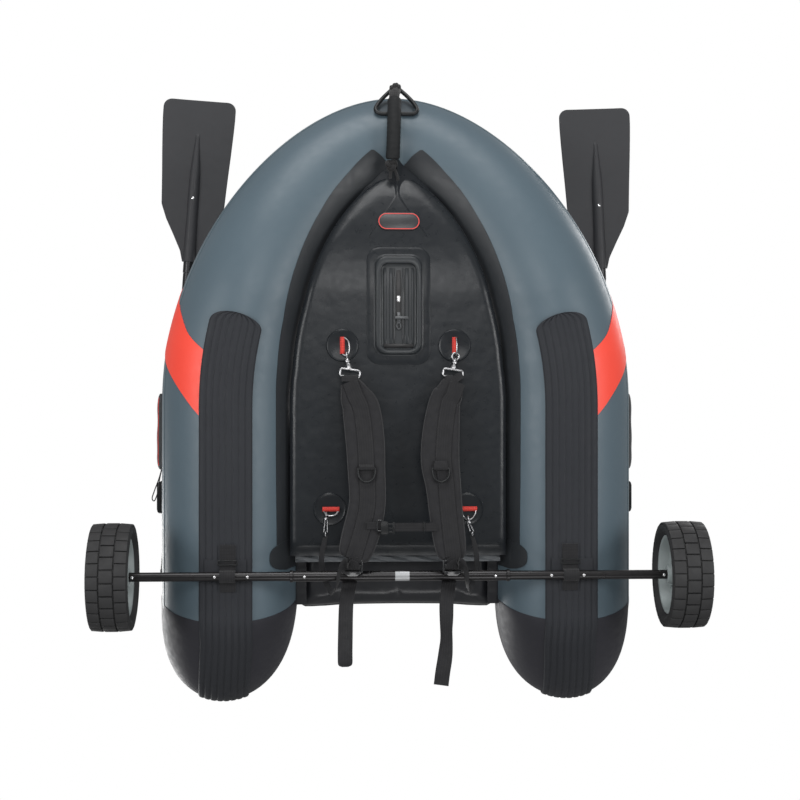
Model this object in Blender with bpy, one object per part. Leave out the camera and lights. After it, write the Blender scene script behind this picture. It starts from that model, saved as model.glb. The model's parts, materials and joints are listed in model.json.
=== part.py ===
"""Float tube (belly boat), parked on its two transport wheels and its bow.

Every size is written in the hull's own frame: metres, +X to starboard, +Y to the bow,
+Z to the deck, with the stern pontoons' axes at z = 0. The root empty then pitches the
whole boat bow-down until the wheels and the hull's underside touch the ground.
"""

import math

import bmesh
import bpy
from mathutils import Matrix, Vector

# Sides of the boat: +1 is starboard, -1 is port.
SIDES = {"starboard": 1, "port": -1}
GAP = 0.0003

# Air chambers
TUBE_RADIUS = 0.168
BOW_RADIUS = 0.135
HALF_SPACING = 0.417
STERN_JOINT_Y = -0.500
CURVE_START_Y = -0.023
BOW_CENTRE_Y = 0.638
SIDE_HANDLE = 0.381
BOW_HANDLE = 0.167
TAPER_START_Y = 0.100
BOW_RISE = 0.115
RISE_START_Y = 0.260
RISE_POWER = 1.6
TUBE_SIDES = 20
BOW_STEPS = 14

# Stern cones
CONE_SWEEP = math.radians(33)
CONE_LENGTH = 0.282
CONE_BLUNTNESS = 2.5
CONE_STATIONS = (0.060, 0.117, 0.165, 0.206, 0.238, 0.261, 0.275)
CONE_SPLAY = 0.022

# Keel strips
STRIP_GAP = 0.0015
STRIP_THICKNESS = 0.006
STRIP_HALF_WIDTH = 0.0635
STRIP_FRONT_Y = 0.205
STRIP_ROUNDING = 0.030
STRIP_SEGMENTS = 6
STRIP_END_SHARE = 0.93

# Floor panel and seat deck
FLOOR_Z = -0.092
FLOOR_HALF_THICKNESS = 0.018
FLOOR_ROWS = (-0.385, -0.380, -0.250, -0.100, 0.050, 0.180, 0.280, 0.360, 0.430, 0.490, 0.530, 0.556)
DECK_Z = -0.045
DECK_THICKNESS = 0.005
DECK_STERN_Y = -0.402
DECK_BOW_Y = -0.090

# Seat and backrest
SEAT_HALF_WIDTH = 0.246
SEAT_STERN_Y = -0.522
SEAT_BOW_Y = -0.130
SEAT_BOTTOM_Z = -0.030
SEAT_HEIGHT = 0.105
SEAT_CHANNELS = (-0.080, 0.080)
BACKREST_HALF_WIDTH = 0.205
BACKREST_HEIGHT = 0.450
BACKREST_THICKNESS = 0.070
BACKREST_BELOW_HINGE = 0.108
BACKREST_Y = -0.096
BACKREST_Z = 0.083
BACKREST_LEAN = math.radians(14)

# Cargo bags, draped over the pontoons like saddle bags
BAG_STERN_Y = -0.178
BAG_BOW_Y = 0.012
BAG_INNER_RADIUS = 0.1705
BAG_LOW_ANGLE = math.radians(2)
BAG_HIGH_ANGLE = math.radians(124)
BAG_FLAP_THICKNESS = 0.016
BAG_POCKET_THICKNESS = 0.046

# Axle and wheels
AXLE_Y = -0.424
AXLE_Z = -0.189
CENTRE_TUBE_RADIUS = 0.0125
CENTRE_TUBE_HALF = 0.263
SECTION_RADIUS = 0.0110
SECTION_BORE = 0.0092
SECTION_INNER_X = 0.120
SECTION_OUTER_X = 0.722
BUTTON_X = 0.228
HUB_PIN_X = 0.6345
BUTTON_RADIUS = 0.004
WHEEL_X = 0.681
WHEEL_RADIUS = 0.128
TYRE_HALF_WIDTH = 0.049
HUB_HALF_WIDTH = 0.038
RIM_RADIUS = 0.095
WHEEL_STEPS = 24
AXLE_STEPS = 16
BRACKET_X = 0.411
BRACKET_WIDTH = 0.038

# Bow tow ring and carrying handle
RING_BAR_RADIUS = 0.004
RING_WIDTH = 0.105
RING_LENGTH = 0.094
GRIP_X = 0.012
GRIP_RADIUS = 0.017
GRIP_BORE = 0.0050
CORD_RADIUS = 0.0040
GRIP_ARC_RADIUS = 0.164
GRIP_START_ANGLE = math.radians(-105)
GRIP_END_ANGLE = math.radians(-48)

# Accessory base under the floor
BASE_Y = (0.083, 0.090, 0.116, 0.122, 0.170, 0.220, 0.270, 0.312, 0.322, 0.327, 0.362, 0.370)
BASE_HALF_WIDTH = 0.078
BASE_RIM_HALF_WIDTH = 0.056
RECESS_HALF_WIDTH = 0.043
RECESS_STERN_Y = 0.119
RECESS_BOW_Y = 0.325
PLATE_THICKNESS = 0.004
RIM_HEIGHT = 0.016
SLIDER_Y = 0.196

# Carrying harness
RING_FORE = (0.137, 0.129)
RING_AFT = (0.168, -0.270)
PATCH_RADIUS = 0.040
PATCH_THICKNESS = 0.0015
TAB_HALF = (0.0065, 0.0205)
TAB_HEIGHT = 0.0125
PAD_THICKNESS = 0.014
PAD_ROUTES = {
    "starboard": (
        (0.119, 0.040, -0.136, 0.044), (0.106, 0.006, -0.141, 0.072), (0.092, -0.028, -0.147, 0.088),
        (0.083, -0.100, -0.162, 0.091), (0.080, -0.172, -0.178, 0.087), (0.078, -0.244, -0.192, 0.084),
        (0.086, -0.292, -0.200, 0.084), (0.100, -0.338, -0.208, 0.078), (0.112, -0.372, -0.214, 0.060),
        (0.113, -0.381, -0.2155, 0.044),
    ),
    "port": (
        (0.131, 0.042, -0.136, 0.044), (0.121, 0.012, -0.141, 0.066), (0.110, -0.012, -0.145, 0.074),
        (0.101, -0.076, -0.157, 0.086), (0.097, -0.148, -0.173, 0.090), (0.104, -0.210, -0.186, 0.082),
        (0.109, -0.268, -0.196, 0.078), (0.117, -0.338, -0.208, 0.074), (0.122, -0.372, -0.214, 0.062),
        (0.123, -0.381, -0.2155, 0.044),
    ),
}
EYE_Y = 0.0610
EYE_Z = -0.1345
LOCK_Z = -0.218
LOCK_FORE_Y = -0.3835
LOCK_AFT_Y = -0.4200
LOCK_SLOT = (-0.4100, -0.4015)
LOCK_HALF_WIDTH = 0.024
WEBBING_THICKNESS = 0.0016
# Each webbing point is x, y, z, then the ribbon's width and its roll about the route in degrees.
WEBBING_ROUTES = {
    "starboard": (
        (0.178, -0.334, -0.138, 0.018, 90), (0.185, -0.364, -0.158, 0.018, 90),
        (0.188, -0.392, -0.166, 0.018, 90), (0.184, -0.420, -0.160, 0.018, 90),
        (0.176, -0.444, -0.164, 0.018, 90), (0.165, -0.460, -0.186, 0.018, 88),
        (0.155, -0.456, -0.210, 0.018, 84), (0.149, -0.436, -0.228, 0.020, 78),
        (0.145, -0.410, -0.2330, 0.022, 66), (0.131, -0.391, -0.2330, 0.028, 30),
        (0.1160, -0.3920, -0.2310, 0.028, 2), (0.114, -0.3990, -0.2255, 0.034, 0),
        (0.114, -0.4048, -0.2195, 0.034, 0), (0.114, -0.4058, -0.2080, 0.034, 0),
        (0.114, -0.4060, -0.1900, 0.034, 0), (0.115, -0.4120, -0.1735, 0.034, 0),
        (0.117, -0.4260, -0.1690, 0.034, 0), (0.120, -0.4400, -0.1790, 0.034, 0),
        (0.124, -0.4560, -0.1990, 0.034, 2), (0.129, -0.4850, -0.2300, 0.034, 4),
        (0.131, -0.5150, -0.2680, 0.034, 4), (0.132, -0.5450, -0.3050, 0.034, 0),
        (0.133, -0.5770, -0.3390, 0.034, -6), (0.133, -0.6000, -0.3520, 0.034, -4),
        (0.133, -0.6120, -0.3520, 0.034, -4),
    ),
    "port": (
        (0.178, -0.334, -0.138, 0.018, 90), (0.184, -0.364, -0.158, 0.018, 90),
        (0.186, -0.392, -0.166, 0.018, 90), (0.183, -0.420, -0.160, 0.018, 90),
        (0.177, -0.444, -0.164, 0.018, 90), (0.168, -0.460, -0.186, 0.018, 88),
        (0.161, -0.456, -0.210, 0.018, 84), (0.157, -0.436, -0.228, 0.020, 78),
        (0.154, -0.410, -0.2330, 0.022, 66), (0.141, -0.391, -0.2330, 0.028, 30),
        (0.1260, -0.3920, -0.2310, 0.028, 2), (0.124, -0.3990, -0.2255, 0.034, 0),
        (0.124, -0.4048, -0.2195, 0.034, 0), (0.124, -0.4058, -0.2080, 0.034, 0),
        (0.124, -0.4060, -0.1900, 0.034, 0), (0.123, -0.4120, -0.1735, 0.034, 0),
        (0.121, -0.4260, -0.1690, 0.034, 0), (0.118, -0.4400, -0.1790, 0.034, 0),
        (0.114, -0.4560, -0.1990, 0.034, -4), (0.108, -0.4850, -0.2300, 0.034, -12),
        (0.105, -0.5150, -0.2680, 0.034, -24), (0.102, -0.5430, -0.3040, 0.034, -38),
        (0.099, -0.5660, -0.3310, 0.034, -30), (0.095, -0.5940, -0.3500, 0.034, -12),
        (0.089, -0.6250, -0.3610, 0.034, -2), (0.085, -0.6530, -0.3665, 0.034, 0),
    ),
}
STERNUM_Y = -0.306
STERNUM_Z = -0.214
PAD_RING_X = {"starboard": 0.080, "port": 0.098}
PAD_RING_Y = -0.168
PAD_RING_Z = -0.1885
PAD_RING_WIDTH = 0.046
PAD_RING_LENGTH = 0.034
PAD_RING_BAR = 0.0024
PAD_RING_DROP = 0.0090
SNAP_LOOP_RADIUS = 0.0068
SNAP_EYE = (0.024, 0.009)
D_RING_HALF = (0.013, 0.010)
D_RING_BAR = 0.0018
D_RING_DROP = 0.0100
D_RING_BACK = 0.014
D_RING_INBOARD = 0.010

# Oars and their locks
OAR_Y = -0.250
OAR_X = 0.583
OAR_Z = 0.235
OAR_LEAN = {"starboard": math.radians(4.0), "port": math.radians(2.3)}
SHAFT_RADIUS = 0.0135
SHAFT_AFT = -0.215
SHAFT_FORE = {"starboard": 0.613, "port": 0.599}
GRIP_LENGTH = 0.120
BLADE_ROWS = (
    (0.0000, 0.0185, 0.0165), (0.0290, 0.026, 0.0165), (0.0710, 0.047, 0.0160), (0.1110, 0.068, 0.0150),
    (0.1500, 0.083, 0.0150), (0.1900, 0.085, 0.0150), (0.2350, 0.0875, 0.0140), (0.2900, 0.091, 0.0090),
    (0.3450, 0.094, 0.0034), (0.3820, 0.0955, 0.0030), (0.4020, 0.091, 0.0029), (0.4170, 0.080, 0.0028),
    (0.4290, 0.060, 0.0027),
)

# Oarlocks and the bases moulded to the pontoons' shoulders
LOCK_BASE_LOW = (0.512, -0.290, 0.030)
LOCK_BASE_HIGH = (0.602, -0.210, 0.182)
LOCK_BORE_RADIUS = 0.0066
LOCK_BORE_BOTTOM = 0.140
FORK_BOTTOM = 0.184
FORK_TOP = 0.251
FORK_HALF_WIDTH = 0.0275
CHEEK_THICKNESS = 0.0045
PIVOT_PIN_RADIUS = 0.005

# Valves on top of each chamber
VALVE_STATION = 3
VALVE_RADIUS = 0.030
CAP_RADIUS = 0.021

# Finishes: colour, roughness and metallic value
FINISHES = {
    "chamber_grey": ((0.34, 0.40, 0.44), 0.45, 0.0),
    "charcoal": ((0.055, 0.057, 0.065), 0.55, 0.0),
    "strip_black": ((0.045, 0.047, 0.052), 0.60, 0.0),
    "floor_black": ((0.020, 0.023, 0.026), 0.30, 0.0),
    "seat_black": ((0.030, 0.031, 0.034), 0.50, 0.0),
    "deck_grey": ((0.30, 0.32, 0.33), 0.80, 0.0),
    "webbing_black": ((0.035, 0.035, 0.037), 0.85, 0.0),
    "pad_black": ((0.030, 0.030, 0.032), 0.75, 0.0),
    "moulded_black": ((0.030, 0.031, 0.034), 0.40, 0.0),
    "axle_black": ((0.020, 0.020, 0.022), 0.35, 1.0),
    "steel": ((0.62, 0.63, 0.64), 0.28, 1.0),
    "tyre_black": ((0.020, 0.020, 0.021), 0.80, 0.0),
    "hub_grey": ((0.45, 0.49, 0.49), 0.50, 0.0),
    "oar_grey": ((0.085, 0.087, 0.092), 0.50, 0.0),
    "oar_black": ((0.030, 0.031, 0.033), 0.40, 0.0),
    "tab_red": ((0.80, 0.05, 0.04), 0.60, 0.0),
}


def clear_scene():
    """Remove every object, so that the part starts from nothing."""
    for item in list(bpy.data.objects):
        bpy.data.objects.remove(item)


def finish(name):
    """Return the named finish as a Principled material, made on first use."""
    found = bpy.data.materials.get(name)
    if found:
        return found
    colour, roughness, metallic = FINISHES[name]
    made = bpy.data.materials.new(name)
    made.use_nodes = True
    shader = made.node_tree.nodes["Principled BSDF"]
    shader.inputs["Base Color"].default_value = (*colour, 1.0)
    shader.inputs["Roughness"].default_value = roughness
    shader.inputs["Metallic"].default_value = metallic
    made.diffuse_color = (*colour, 1.0)
    return made


def add_object(name, mesh, look, root, origin=(0, 0, 0), smooth=True):
    """Link a mesh drawn in the hull's frame as an object whose origin is at origin."""
    mesh.transform(Matrix.Translation(-Vector(origin)))
    if smooth:
        mesh.shade_smooth()
        mesh.set_sharp_from_angle(angle=math.radians(38))
    mesh.materials.append(finish(look))
    item = bpy.data.objects.new(name, mesh)
    bpy.context.scene.collection.objects.link(item)
    item.parent = root
    item.location = origin
    return item


def loft_mesh(rings, closed=False):
    """Return a closed mesh through rings of equal point counts, capped at both ends.

    A closed loft joins its last ring to its first instead. The faces end up pointing out.
    """
    bm = bmesh.new()
    rows = [[bm.verts.new(point) for point in ring] for ring in rings]
    pairs = list(zip(rows, rows[1:]))
    if closed:
        pairs.append((rows[-1], rows[0]))
    count = len(rows[0])
    for first, second in pairs:
        for i in range(count):
            j = (i + 1) % count
            bm.faces.new((first[i], first[j], second[j], second[i]))
    if not closed:
        bm.faces.new(rows[0])
        bm.faces.new(rows[-1])
    bmesh.ops.recalc_face_normals(bm, faces=bm.faces)
    mesh = bpy.data.meshes.new("loft")
    bm.to_mesh(mesh)
    bm.free()
    return mesh


def triangulated(mesh):
    """Return the mesh with its faces cut into triangles, for a shape whose faces twist."""
    bm = bmesh.new()
    bm.from_mesh(mesh)
    bmesh.ops.triangulate(bm, faces=bm.faces)
    bm.to_mesh(mesh)
    bm.free()
    return mesh


def mirrored(points, side):
    """Return points drawn for starboard, moved to the given side."""
    return [Vector((side * p[0], p[1], p[2])) for p in points]


def turned_rings(profile, centre, axis, steps):
    """Return rings of a profile of (radius, along) pairs spun about an axis through centre."""
    axis = Vector(axis).normalized()
    helper = Vector((0, 0, 1)) if abs(axis.z) < 0.9 else Vector((0, 1, 0))
    across = axis.cross(helper).normalized()
    up = across.cross(axis)
    rings = []
    for k in range(steps):
        angle = 2 * math.pi * k / steps
        spoke = across * math.cos(angle) + up * math.sin(angle)
        rings.append([Vector(centre) + spoke * r + axis * along for r, along in profile])
    return rings


def turned_mesh(profile, centre, axis, steps):
    """Return a ring-shaped turned solid, whose profile doesn't reach the axis."""
    return loft_mesh(turned_rings(profile, centre, axis, steps), closed=True)


def rod_mesh(sections, centre, axis, steps):
    """Return a solid rod of (radius, along) sections about an axis through centre."""
    spokes = turned_rings(sections, centre, axis, steps)
    return loft_mesh([[spoke[i] for spoke in spokes] for i in range(len(sections))])


def box_mesh(low, high, bevel=0.0, segments=1):
    """Return a box between two corners, its edges bevelled if asked."""
    low = Vector(low)
    high = Vector(high)
    bm = bmesh.new()
    bmesh.ops.create_cube(bm, size=1.0)
    bmesh.ops.scale(bm, vec=high - low, verts=bm.verts)
    bmesh.ops.translate(bm, vec=(low + high) / 2, verts=bm.verts)
    if bevel:
        bmesh.ops.bevel(bm, geom=bm.edges[:], offset=bevel, segments=segments, affect="EDGES", profile=0.5)
    mesh = bpy.data.meshes.new("box")
    bm.to_mesh(mesh)
    bm.free()
    return mesh


def combine(base, others, operation):
    """Return base after exact Booleans with the other meshes."""
    item = bpy.data.objects.new("base", base)
    bpy.context.scene.collection.objects.link(item)
    tools = []
    for mesh in others:
        tool = bpy.data.objects.new("tool", mesh)
        tool.hide_render = True
        tool.display_type = "WIRE"
        bpy.context.scene.collection.objects.link(tool)
        step = item.modifiers.new("combine", "BOOLEAN")
        step.operation = operation
        step.solver = "EXACT"
        step.object = tool
        tools.append(tool)
    depsgraph = bpy.context.evaluated_depsgraph_get()
    result = bpy.data.meshes.new_from_object(item.evaluated_get(depsgraph))
    for thing in (item, *tools):
        bpy.data.objects.remove(thing)
    return result


def rise(y):
    """Return how far the bow's upturn lifts the tubes and the floor at y."""
    share = max(0.0, (y - RISE_START_Y) / (BOW_CENTRE_Y - RISE_START_Y))
    return BOW_RISE * share**RISE_POWER


def tube_radius(y):
    """Return the chamber's radius at y, which tapers towards the bow."""
    share = min(1.0, max(0.0, (y - TAPER_START_Y) / (BOW_CENTRE_Y - TAPER_START_Y)))
    return TUBE_RADIUS + (BOW_RADIUS - TUBE_RADIUS) * share


def bow_point(t):
    """Return the centreline's place and outward direction at t along the bow curve."""
    corners = (
        Vector((HALF_SPACING, CURVE_START_Y)),
        Vector((HALF_SPACING, CURVE_START_Y + SIDE_HANDLE)),
        Vector((BOW_HANDLE, BOW_CENTRE_Y)),
        Vector((0.0, BOW_CENTRE_Y)),
    )
    s = 1 - t
    place = s**3 * corners[0] + 3 * s**2 * t * corners[1] + 3 * s * t**2 * corners[2] + t**3 * corners[3]
    slope = (
        3 * s**2 * (corners[1] - corners[0])
        + 6 * s * t * (corners[2] - corners[1])
        + 3 * t**2 * (corners[3] - corners[2])
    ).normalized()
    return place, Vector((slope.y, -slope.x))


def station(x, y, outward, up=(0, 0, 1), radius=None, z=None):
    """Return one cross-section of the starboard pontoon: centre, two directions and radius."""
    return {
        "centre": Vector((x, y, rise(y) if z is None else z)),
        "side": Vector((outward[0], outward[1], 0)),
        "up": Vector(up),
        "radius": tube_radius(y) if radius is None else radius,
    }


def bow_station(t):
    """Return the cross-section at t along the bow curve."""
    place, outward = bow_point(t)
    return station(place.x, place.y, outward)


def mitre_station(y):
    """Return the slanted cross-section where the chamber meets its stern cone."""
    return station(HALF_SPACING, y, (1, 0), up=(0, math.tan(CONE_SWEEP / 2), 1))


def chamber_stations():
    """Return the chamber's cross-sections from the stern joint to the bow seam."""
    stations = [mitre_station(STERN_JOINT_Y), station(HALF_SPACING, -0.300, (1, 0))]
    stations += [bow_station(k / BOW_STEPS) for k in range(BOW_STEPS)]
    last = bow_station(1.0)
    last["centre"].x = GAP / 2
    stations.append(last)
    return stations


def cone_radius(along):
    """Return the stern cone's radius at a distance along its upswept axis."""
    return TUBE_RADIUS * (1 - (along / CONE_LENGTH) ** CONE_BLUNTNESS) ** (1 / CONE_BLUNTNESS)


def cone_station(along):
    """Return the stern cone's cross-section at a distance along its axis."""
    y = STERN_JOINT_Y - along * math.cos(CONE_SWEEP)
    z = along * math.sin(CONE_SWEEP)
    up = (0, math.sin(CONE_SWEEP), math.cos(CONE_SWEEP))
    x = HALF_SPACING + CONE_SPLAY * along / CONE_LENGTH
    return station(x, y, (1, 0), up, cone_radius(along), z)


def around(cut, angle, radius):
    """Return the point at an angle round a cross-section, from outboard towards the deck."""
    return cut["centre"] + (cut["side"] * math.cos(angle) + cut["up"] * math.sin(angle)) * radius


def ring(cut, sides):
    """Return a full ring of points on a cross-section."""
    return [around(cut, 2 * math.pi * k / sides, cut["radius"]) for k in range(sides)]


def make_chamber(name, side, root):
    """Make one air chamber, from the stern joint to the seam at the bow."""
    rings = [mirrored(ring(cut, TUBE_SIDES), side) for cut in chamber_stations()]
    add_object(f"air_chamber_{name}", loft_mesh(rings), "chamber_grey", root)


def make_cone(name, side, root):
    """Make one upswept stern cone."""
    cuts = [mitre_station(STERN_JOINT_Y - GAP)] + [cone_station(s) for s in CONE_STATIONS]
    rings = [mirrored(ring(cut, TUBE_SIDES), side) for cut in cuts]
    add_object(f"stern_cone_{name}", loft_mesh(rings), "charcoal", root)


def strip_ring(cut, half_width):
    """Return the keel strip's section: an arc of plate under the pontoon."""
    inner = cut["radius"] + STRIP_GAP
    outer = inner + STRIP_THICKNESS
    half_angle = min(half_width / cut["radius"], math.radians(60))
    angles = [-math.pi / 2 + half_angle * (2 * k / STRIP_SEGMENTS - 1) for k in range(STRIP_SEGMENTS + 1)]
    return [around(cut, a, outer) for a in angles] + [around(cut, a, inner) for a in reversed(angles)]


def curve_share_at(y):
    """Return t along the bow curve where the centreline reaches y."""
    low, high = 0.0, 1.0
    for _ in range(40):
        middle = (low + high) / 2
        if bow_point(middle)[0].y < y:
            low = middle
        else:
            high = middle
    return low


def make_strip(name, side, root):
    """Make one keel strip, from its rounded front end back over the stern cone."""
    rings = []
    for back in (0.001, 0.006, 0.015, STRIP_ROUNDING):
        share = 1 - back / STRIP_ROUNDING
        cut = bow_station(curve_share_at(STRIP_FRONT_Y - back))
        rings.append(strip_ring(cut, STRIP_HALF_WIDTH * math.sqrt(1 - share**2)))
    stop = curve_share_at(STRIP_FRONT_Y - STRIP_ROUNDING)
    for k in range(BOW_STEPS, -1, -1):
        if k / BOW_STEPS < stop - 0.02:
            rings.append(strip_ring(bow_station(k / BOW_STEPS), STRIP_HALF_WIDTH))
    rings.append(strip_ring(station(HALF_SPACING, -0.300, (1, 0)), STRIP_HALF_WIDTH))
    rings.append(strip_ring(mitre_station(STERN_JOINT_Y), STRIP_HALF_WIDTH))
    for along in CONE_STATIONS:
        if along < CONE_LENGTH * STRIP_END_SHARE:
            cut = cone_station(along)
            rings.append(strip_ring(cut, min(STRIP_HALF_WIDTH, cut["radius"] * 0.85)))
    rings = [mirrored(points, side) for points in rings]
    add_object(f"keel_strip_{name}", loft_mesh(rings), "strip_black", root)


def width_between_tubes(y, z):
    """Return the half width of the space between the pontoons at y and z."""
    fine = 60
    cuts = [bow_station(k / fine) for k in range(fine + 1)]
    before = None
    for cut in cuts:
        drop = z - cut["centre"].z
        if abs(drop) >= cut["radius"]:
            continue
        reach = math.sqrt(cut["radius"] ** 2 - drop**2)
        point = cut["centre"] - cut["side"] * reach
        if before and before.y <= y <= point.y:
            share = (y - before.y) / (point.y - before.y)
            return before.x + (point.x - before.x) * share
        before = point
    return HALF_SPACING - math.sqrt(TUBE_RADIUS**2 - z**2)


def make_floor(root):
    """Make the padded floor panel: pointed at the bow, with domed edges and a raised field."""
    rings = []
    for y in FLOOR_ROWS:
        z = FLOOR_Z + rise(y)
        top = z + FLOOR_HALF_THICKNESS
        half = max(width_between_tubes(y, top) - 0.004, 0.012)
        edge = min(0.012, half * 0.4)
        ridge = min(0.040, half * 0.7)
        low = z - FLOOR_HALF_THICKNESS
        if y == FLOOR_ROWS[0]:
            low = z - FLOOR_HALF_THICKNESS * 0.6
            top = z + FLOOR_HALF_THICKNESS * 0.6
        right = [
            (half - edge, top),
            (half, z + FLOOR_HALF_THICKNESS * 0.4),
            (half, z - FLOOR_HALF_THICKNESS * 0.4),
            (half - edge * 0.5, low + 0.002),
            (half - ridge, low),
        ]
        left = [(-x, height) for x, height in reversed(right)]
        rings.append([Vector((x, y, height)) for x, height in right + left])
    add_object("floor_panel", loft_mesh(rings), "floor_black", root)


def make_deck(root):
    """Make the fabric deck slung between the pontoons under the seat."""
    half = width_between_tubes(DECK_STERN_Y, DECK_Z + DECK_THICKNESS) - 0.003
    low = (-half, DECK_STERN_Y, DECK_Z)
    high = (half, DECK_BOW_Y, DECK_Z + DECK_THICKNESS)
    add_object("seat_deck", box_mesh(low, high, 0.001), "deck_grey", root)


def cushion_mesh(half_width, rows, thickness, channels):
    """Return a stuffed pad lying in XY: rows are (y, fullness), with sewn channels across x."""
    across = [-1.0, -0.96, -0.86, -0.60]
    for channel in channels:
        spot = channel / half_width
        across += [spot - 0.16, spot, spot + 0.16]
    across += [0.60, 0.86, 0.96, 1.0]
    across = sorted(across)
    rings = []
    for y, fullness in rows:
        upper = []
        lower = []
        for share in across:
            crown = math.sqrt(max(0.0, 1 - abs(share) ** 6))
            seam = min((abs(share - c / half_width) for c in channels), default=1.0)
            pinch = 0.72 if seam < 0.01 else 1.0
            height = thickness / 2 * max(0.28, crown * pinch) * fullness
            x = half_width * share * (1 - 0.015 * (1 - fullness))
            upper.append(Vector((x, y, thickness / 2 + height)))
            lower.append(Vector((x, y, thickness / 2 - height)))
        rings.append(upper + lower[::-1])
    return loft_mesh(rings)


def make_seat(root):
    """Make the inflated seat cushion between the pontoons."""
    length = SEAT_BOW_Y - SEAT_STERN_Y
    shares = (
        (0.0, 0.40), (0.03, 0.72), (0.10, 0.95), (0.30, 1.0),
        (0.55, 0.96), (0.80, 1.0), (0.96, 0.80), (1.0, 0.45),
    )
    rows = [(SEAT_STERN_Y + length * share, fullness) for share, fullness in shares]
    mesh = cushion_mesh(SEAT_HALF_WIDTH, rows, SEAT_HEIGHT, SEAT_CHANNELS)
    mesh.transform(Matrix.Translation((0, 0, SEAT_BOTTOM_Z)))
    add_object("seat_cushion", mesh, "seat_black", root)


def make_backrest(root):
    """Make the backrest, whose origin is on the hinge seam across its front face."""
    shares = (
        (0.0, 0.45), (0.03, 0.75), (0.12, 0.97), (0.35, 1.0), (0.50, 0.90),
        (0.65, 1.0), (0.88, 0.95), (0.97, 0.70), (1.0, 0.42),
    )
    rows = [(BACKREST_HEIGHT * share - BACKREST_BELOW_HINGE, fullness) for share, fullness in shares]
    mesh = cushion_mesh(BACKREST_HALF_WIDTH, rows, BACKREST_THICKNESS, (0.0,))
    lean = Matrix.Rotation(math.pi / 2 - BACKREST_LEAN, 4, "X")
    axis = Vector((0, BACKREST_Y, BACKREST_Z))
    mesh.transform(Matrix.Translation(axis) @ lean @ Matrix.Translation((0, 0, -BACKREST_THICKNESS)))
    add_object("backrest", mesh, "seat_black", root, origin=axis)


def make_bag(name, side, root):
    """Make one saddle bag: a thin outboard flap that thickens to a pocket on top."""
    steps = 9
    length = BAG_BOW_Y - BAG_STERN_Y
    rings = []
    shares = ((0.0, 0.55), (0.04, 0.85), (0.15, 1.0), (0.50, 1.06), (0.85, 1.0), (0.96, 0.85), (1.0, 0.55))
    for share, fullness in shares:
        cut = station(HALF_SPACING, BAG_STERN_Y + length * share, (1, 0), radius=TUBE_RADIUS, z=0.0)
        inner = []
        outer = []
        for k in range(steps + 1):
            angle = BAG_LOW_ANGLE + (BAG_HIGH_ANGLE - BAG_LOW_ANGLE) * k / steps
            blend = min(1.0, max(0.0, (angle - math.radians(58)) / math.radians(22)))
            depth = BAG_FLAP_THICKNESS + (BAG_POCKET_THICKNESS - BAG_FLAP_THICKNESS) * blend
            if k in (0, steps):
                depth *= 0.55
            inner.append(around(cut, angle, BAG_INNER_RADIUS))
            outer.append(around(cut, angle, BAG_INNER_RADIUS + depth * fullness))
        rings.append(mirrored(outer + inner[::-1], side))
    add_object(f"cargo_bag_{name}", loft_mesh(rings), "webbing_black", root)


def make_axle(root):
    """Make the axle's centre tube with end collars and a hole for each spring button."""
    half = CENTRE_TUBE_HALF
    inner = SECTION_RADIUS + GAP
    collar = CENTRE_TUBE_RADIUS + 0.002
    profile = [
        (inner, -half), (collar, -half), (collar, -half + 0.008), (CENTRE_TUBE_RADIUS, -half + 0.008),
        (CENTRE_TUBE_RADIUS, half - 0.008), (collar, half - 0.008), (collar, half), (inner, half),
    ]
    centre = Vector((0, AXLE_Y, AXLE_Z))
    tube = turned_mesh(profile, centre, (1, 0, 0), AXLE_STEPS)
    holes = [hole_cutter(side * BUTTON_X, CENTRE_TUBE_RADIUS) for side in SIDES.values()]
    add_object("axle_centre_tube", combine(tube, holes, "DIFFERENCE"), "axle_black", root)


def hole_cutter(x, radius):
    """Return a cutter for a button hole in the underside of the axle at x."""
    sections = [(BUTTON_RADIUS + 0.0005, 0.0), (BUTTON_RADIUS + 0.0005, radius + 0.004)]
    return rod_mesh(sections, (x, AXLE_Y, AXLE_Z), (0, 0, -1), 12)


def make_section(name, side, root):
    """Make one outer axle section, which carries a wheel and has a flange outside it."""
    flange = SECTION_RADIUS + 0.007
    end = SECTION_OUTER_X
    profile = [
        (SECTION_BORE, SECTION_INNER_X), (SECTION_RADIUS, SECTION_INNER_X), (SECTION_RADIUS, end),
        (flange, end), (flange, end + 0.005), (SECTION_RADIUS, end + 0.008), (SECTION_BORE, end + 0.008),
    ]
    tube = turned_mesh(profile, (0, AXLE_Y, AXLE_Z), (side, 0, 0), AXLE_STEPS)
    holes = [hole_cutter(side * x, SECTION_RADIUS) for x in (BUTTON_X, HUB_PIN_X)]
    add_object(f"axle_section_{name}", combine(tube, holes, "DIFFERENCE"), "axle_black", root)


def make_button(label, x, face, root):
    """Make one spring button that stands out of the axle's underside by 3 mm."""
    length = face + 0.003
    sections = [
        (BUTTON_RADIUS, 0.0055), (BUTTON_RADIUS, length - 0.0012), (BUTTON_RADIUS * 0.72, length - 0.0003),
        (BUTTON_RADIUS * 0.35, length),
    ]
    origin = (x, AXLE_Y, AXLE_Z)
    add_object(label, rod_mesh(sections, origin, (0, 0, -1), 12), "steel", root, origin=origin)


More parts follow.
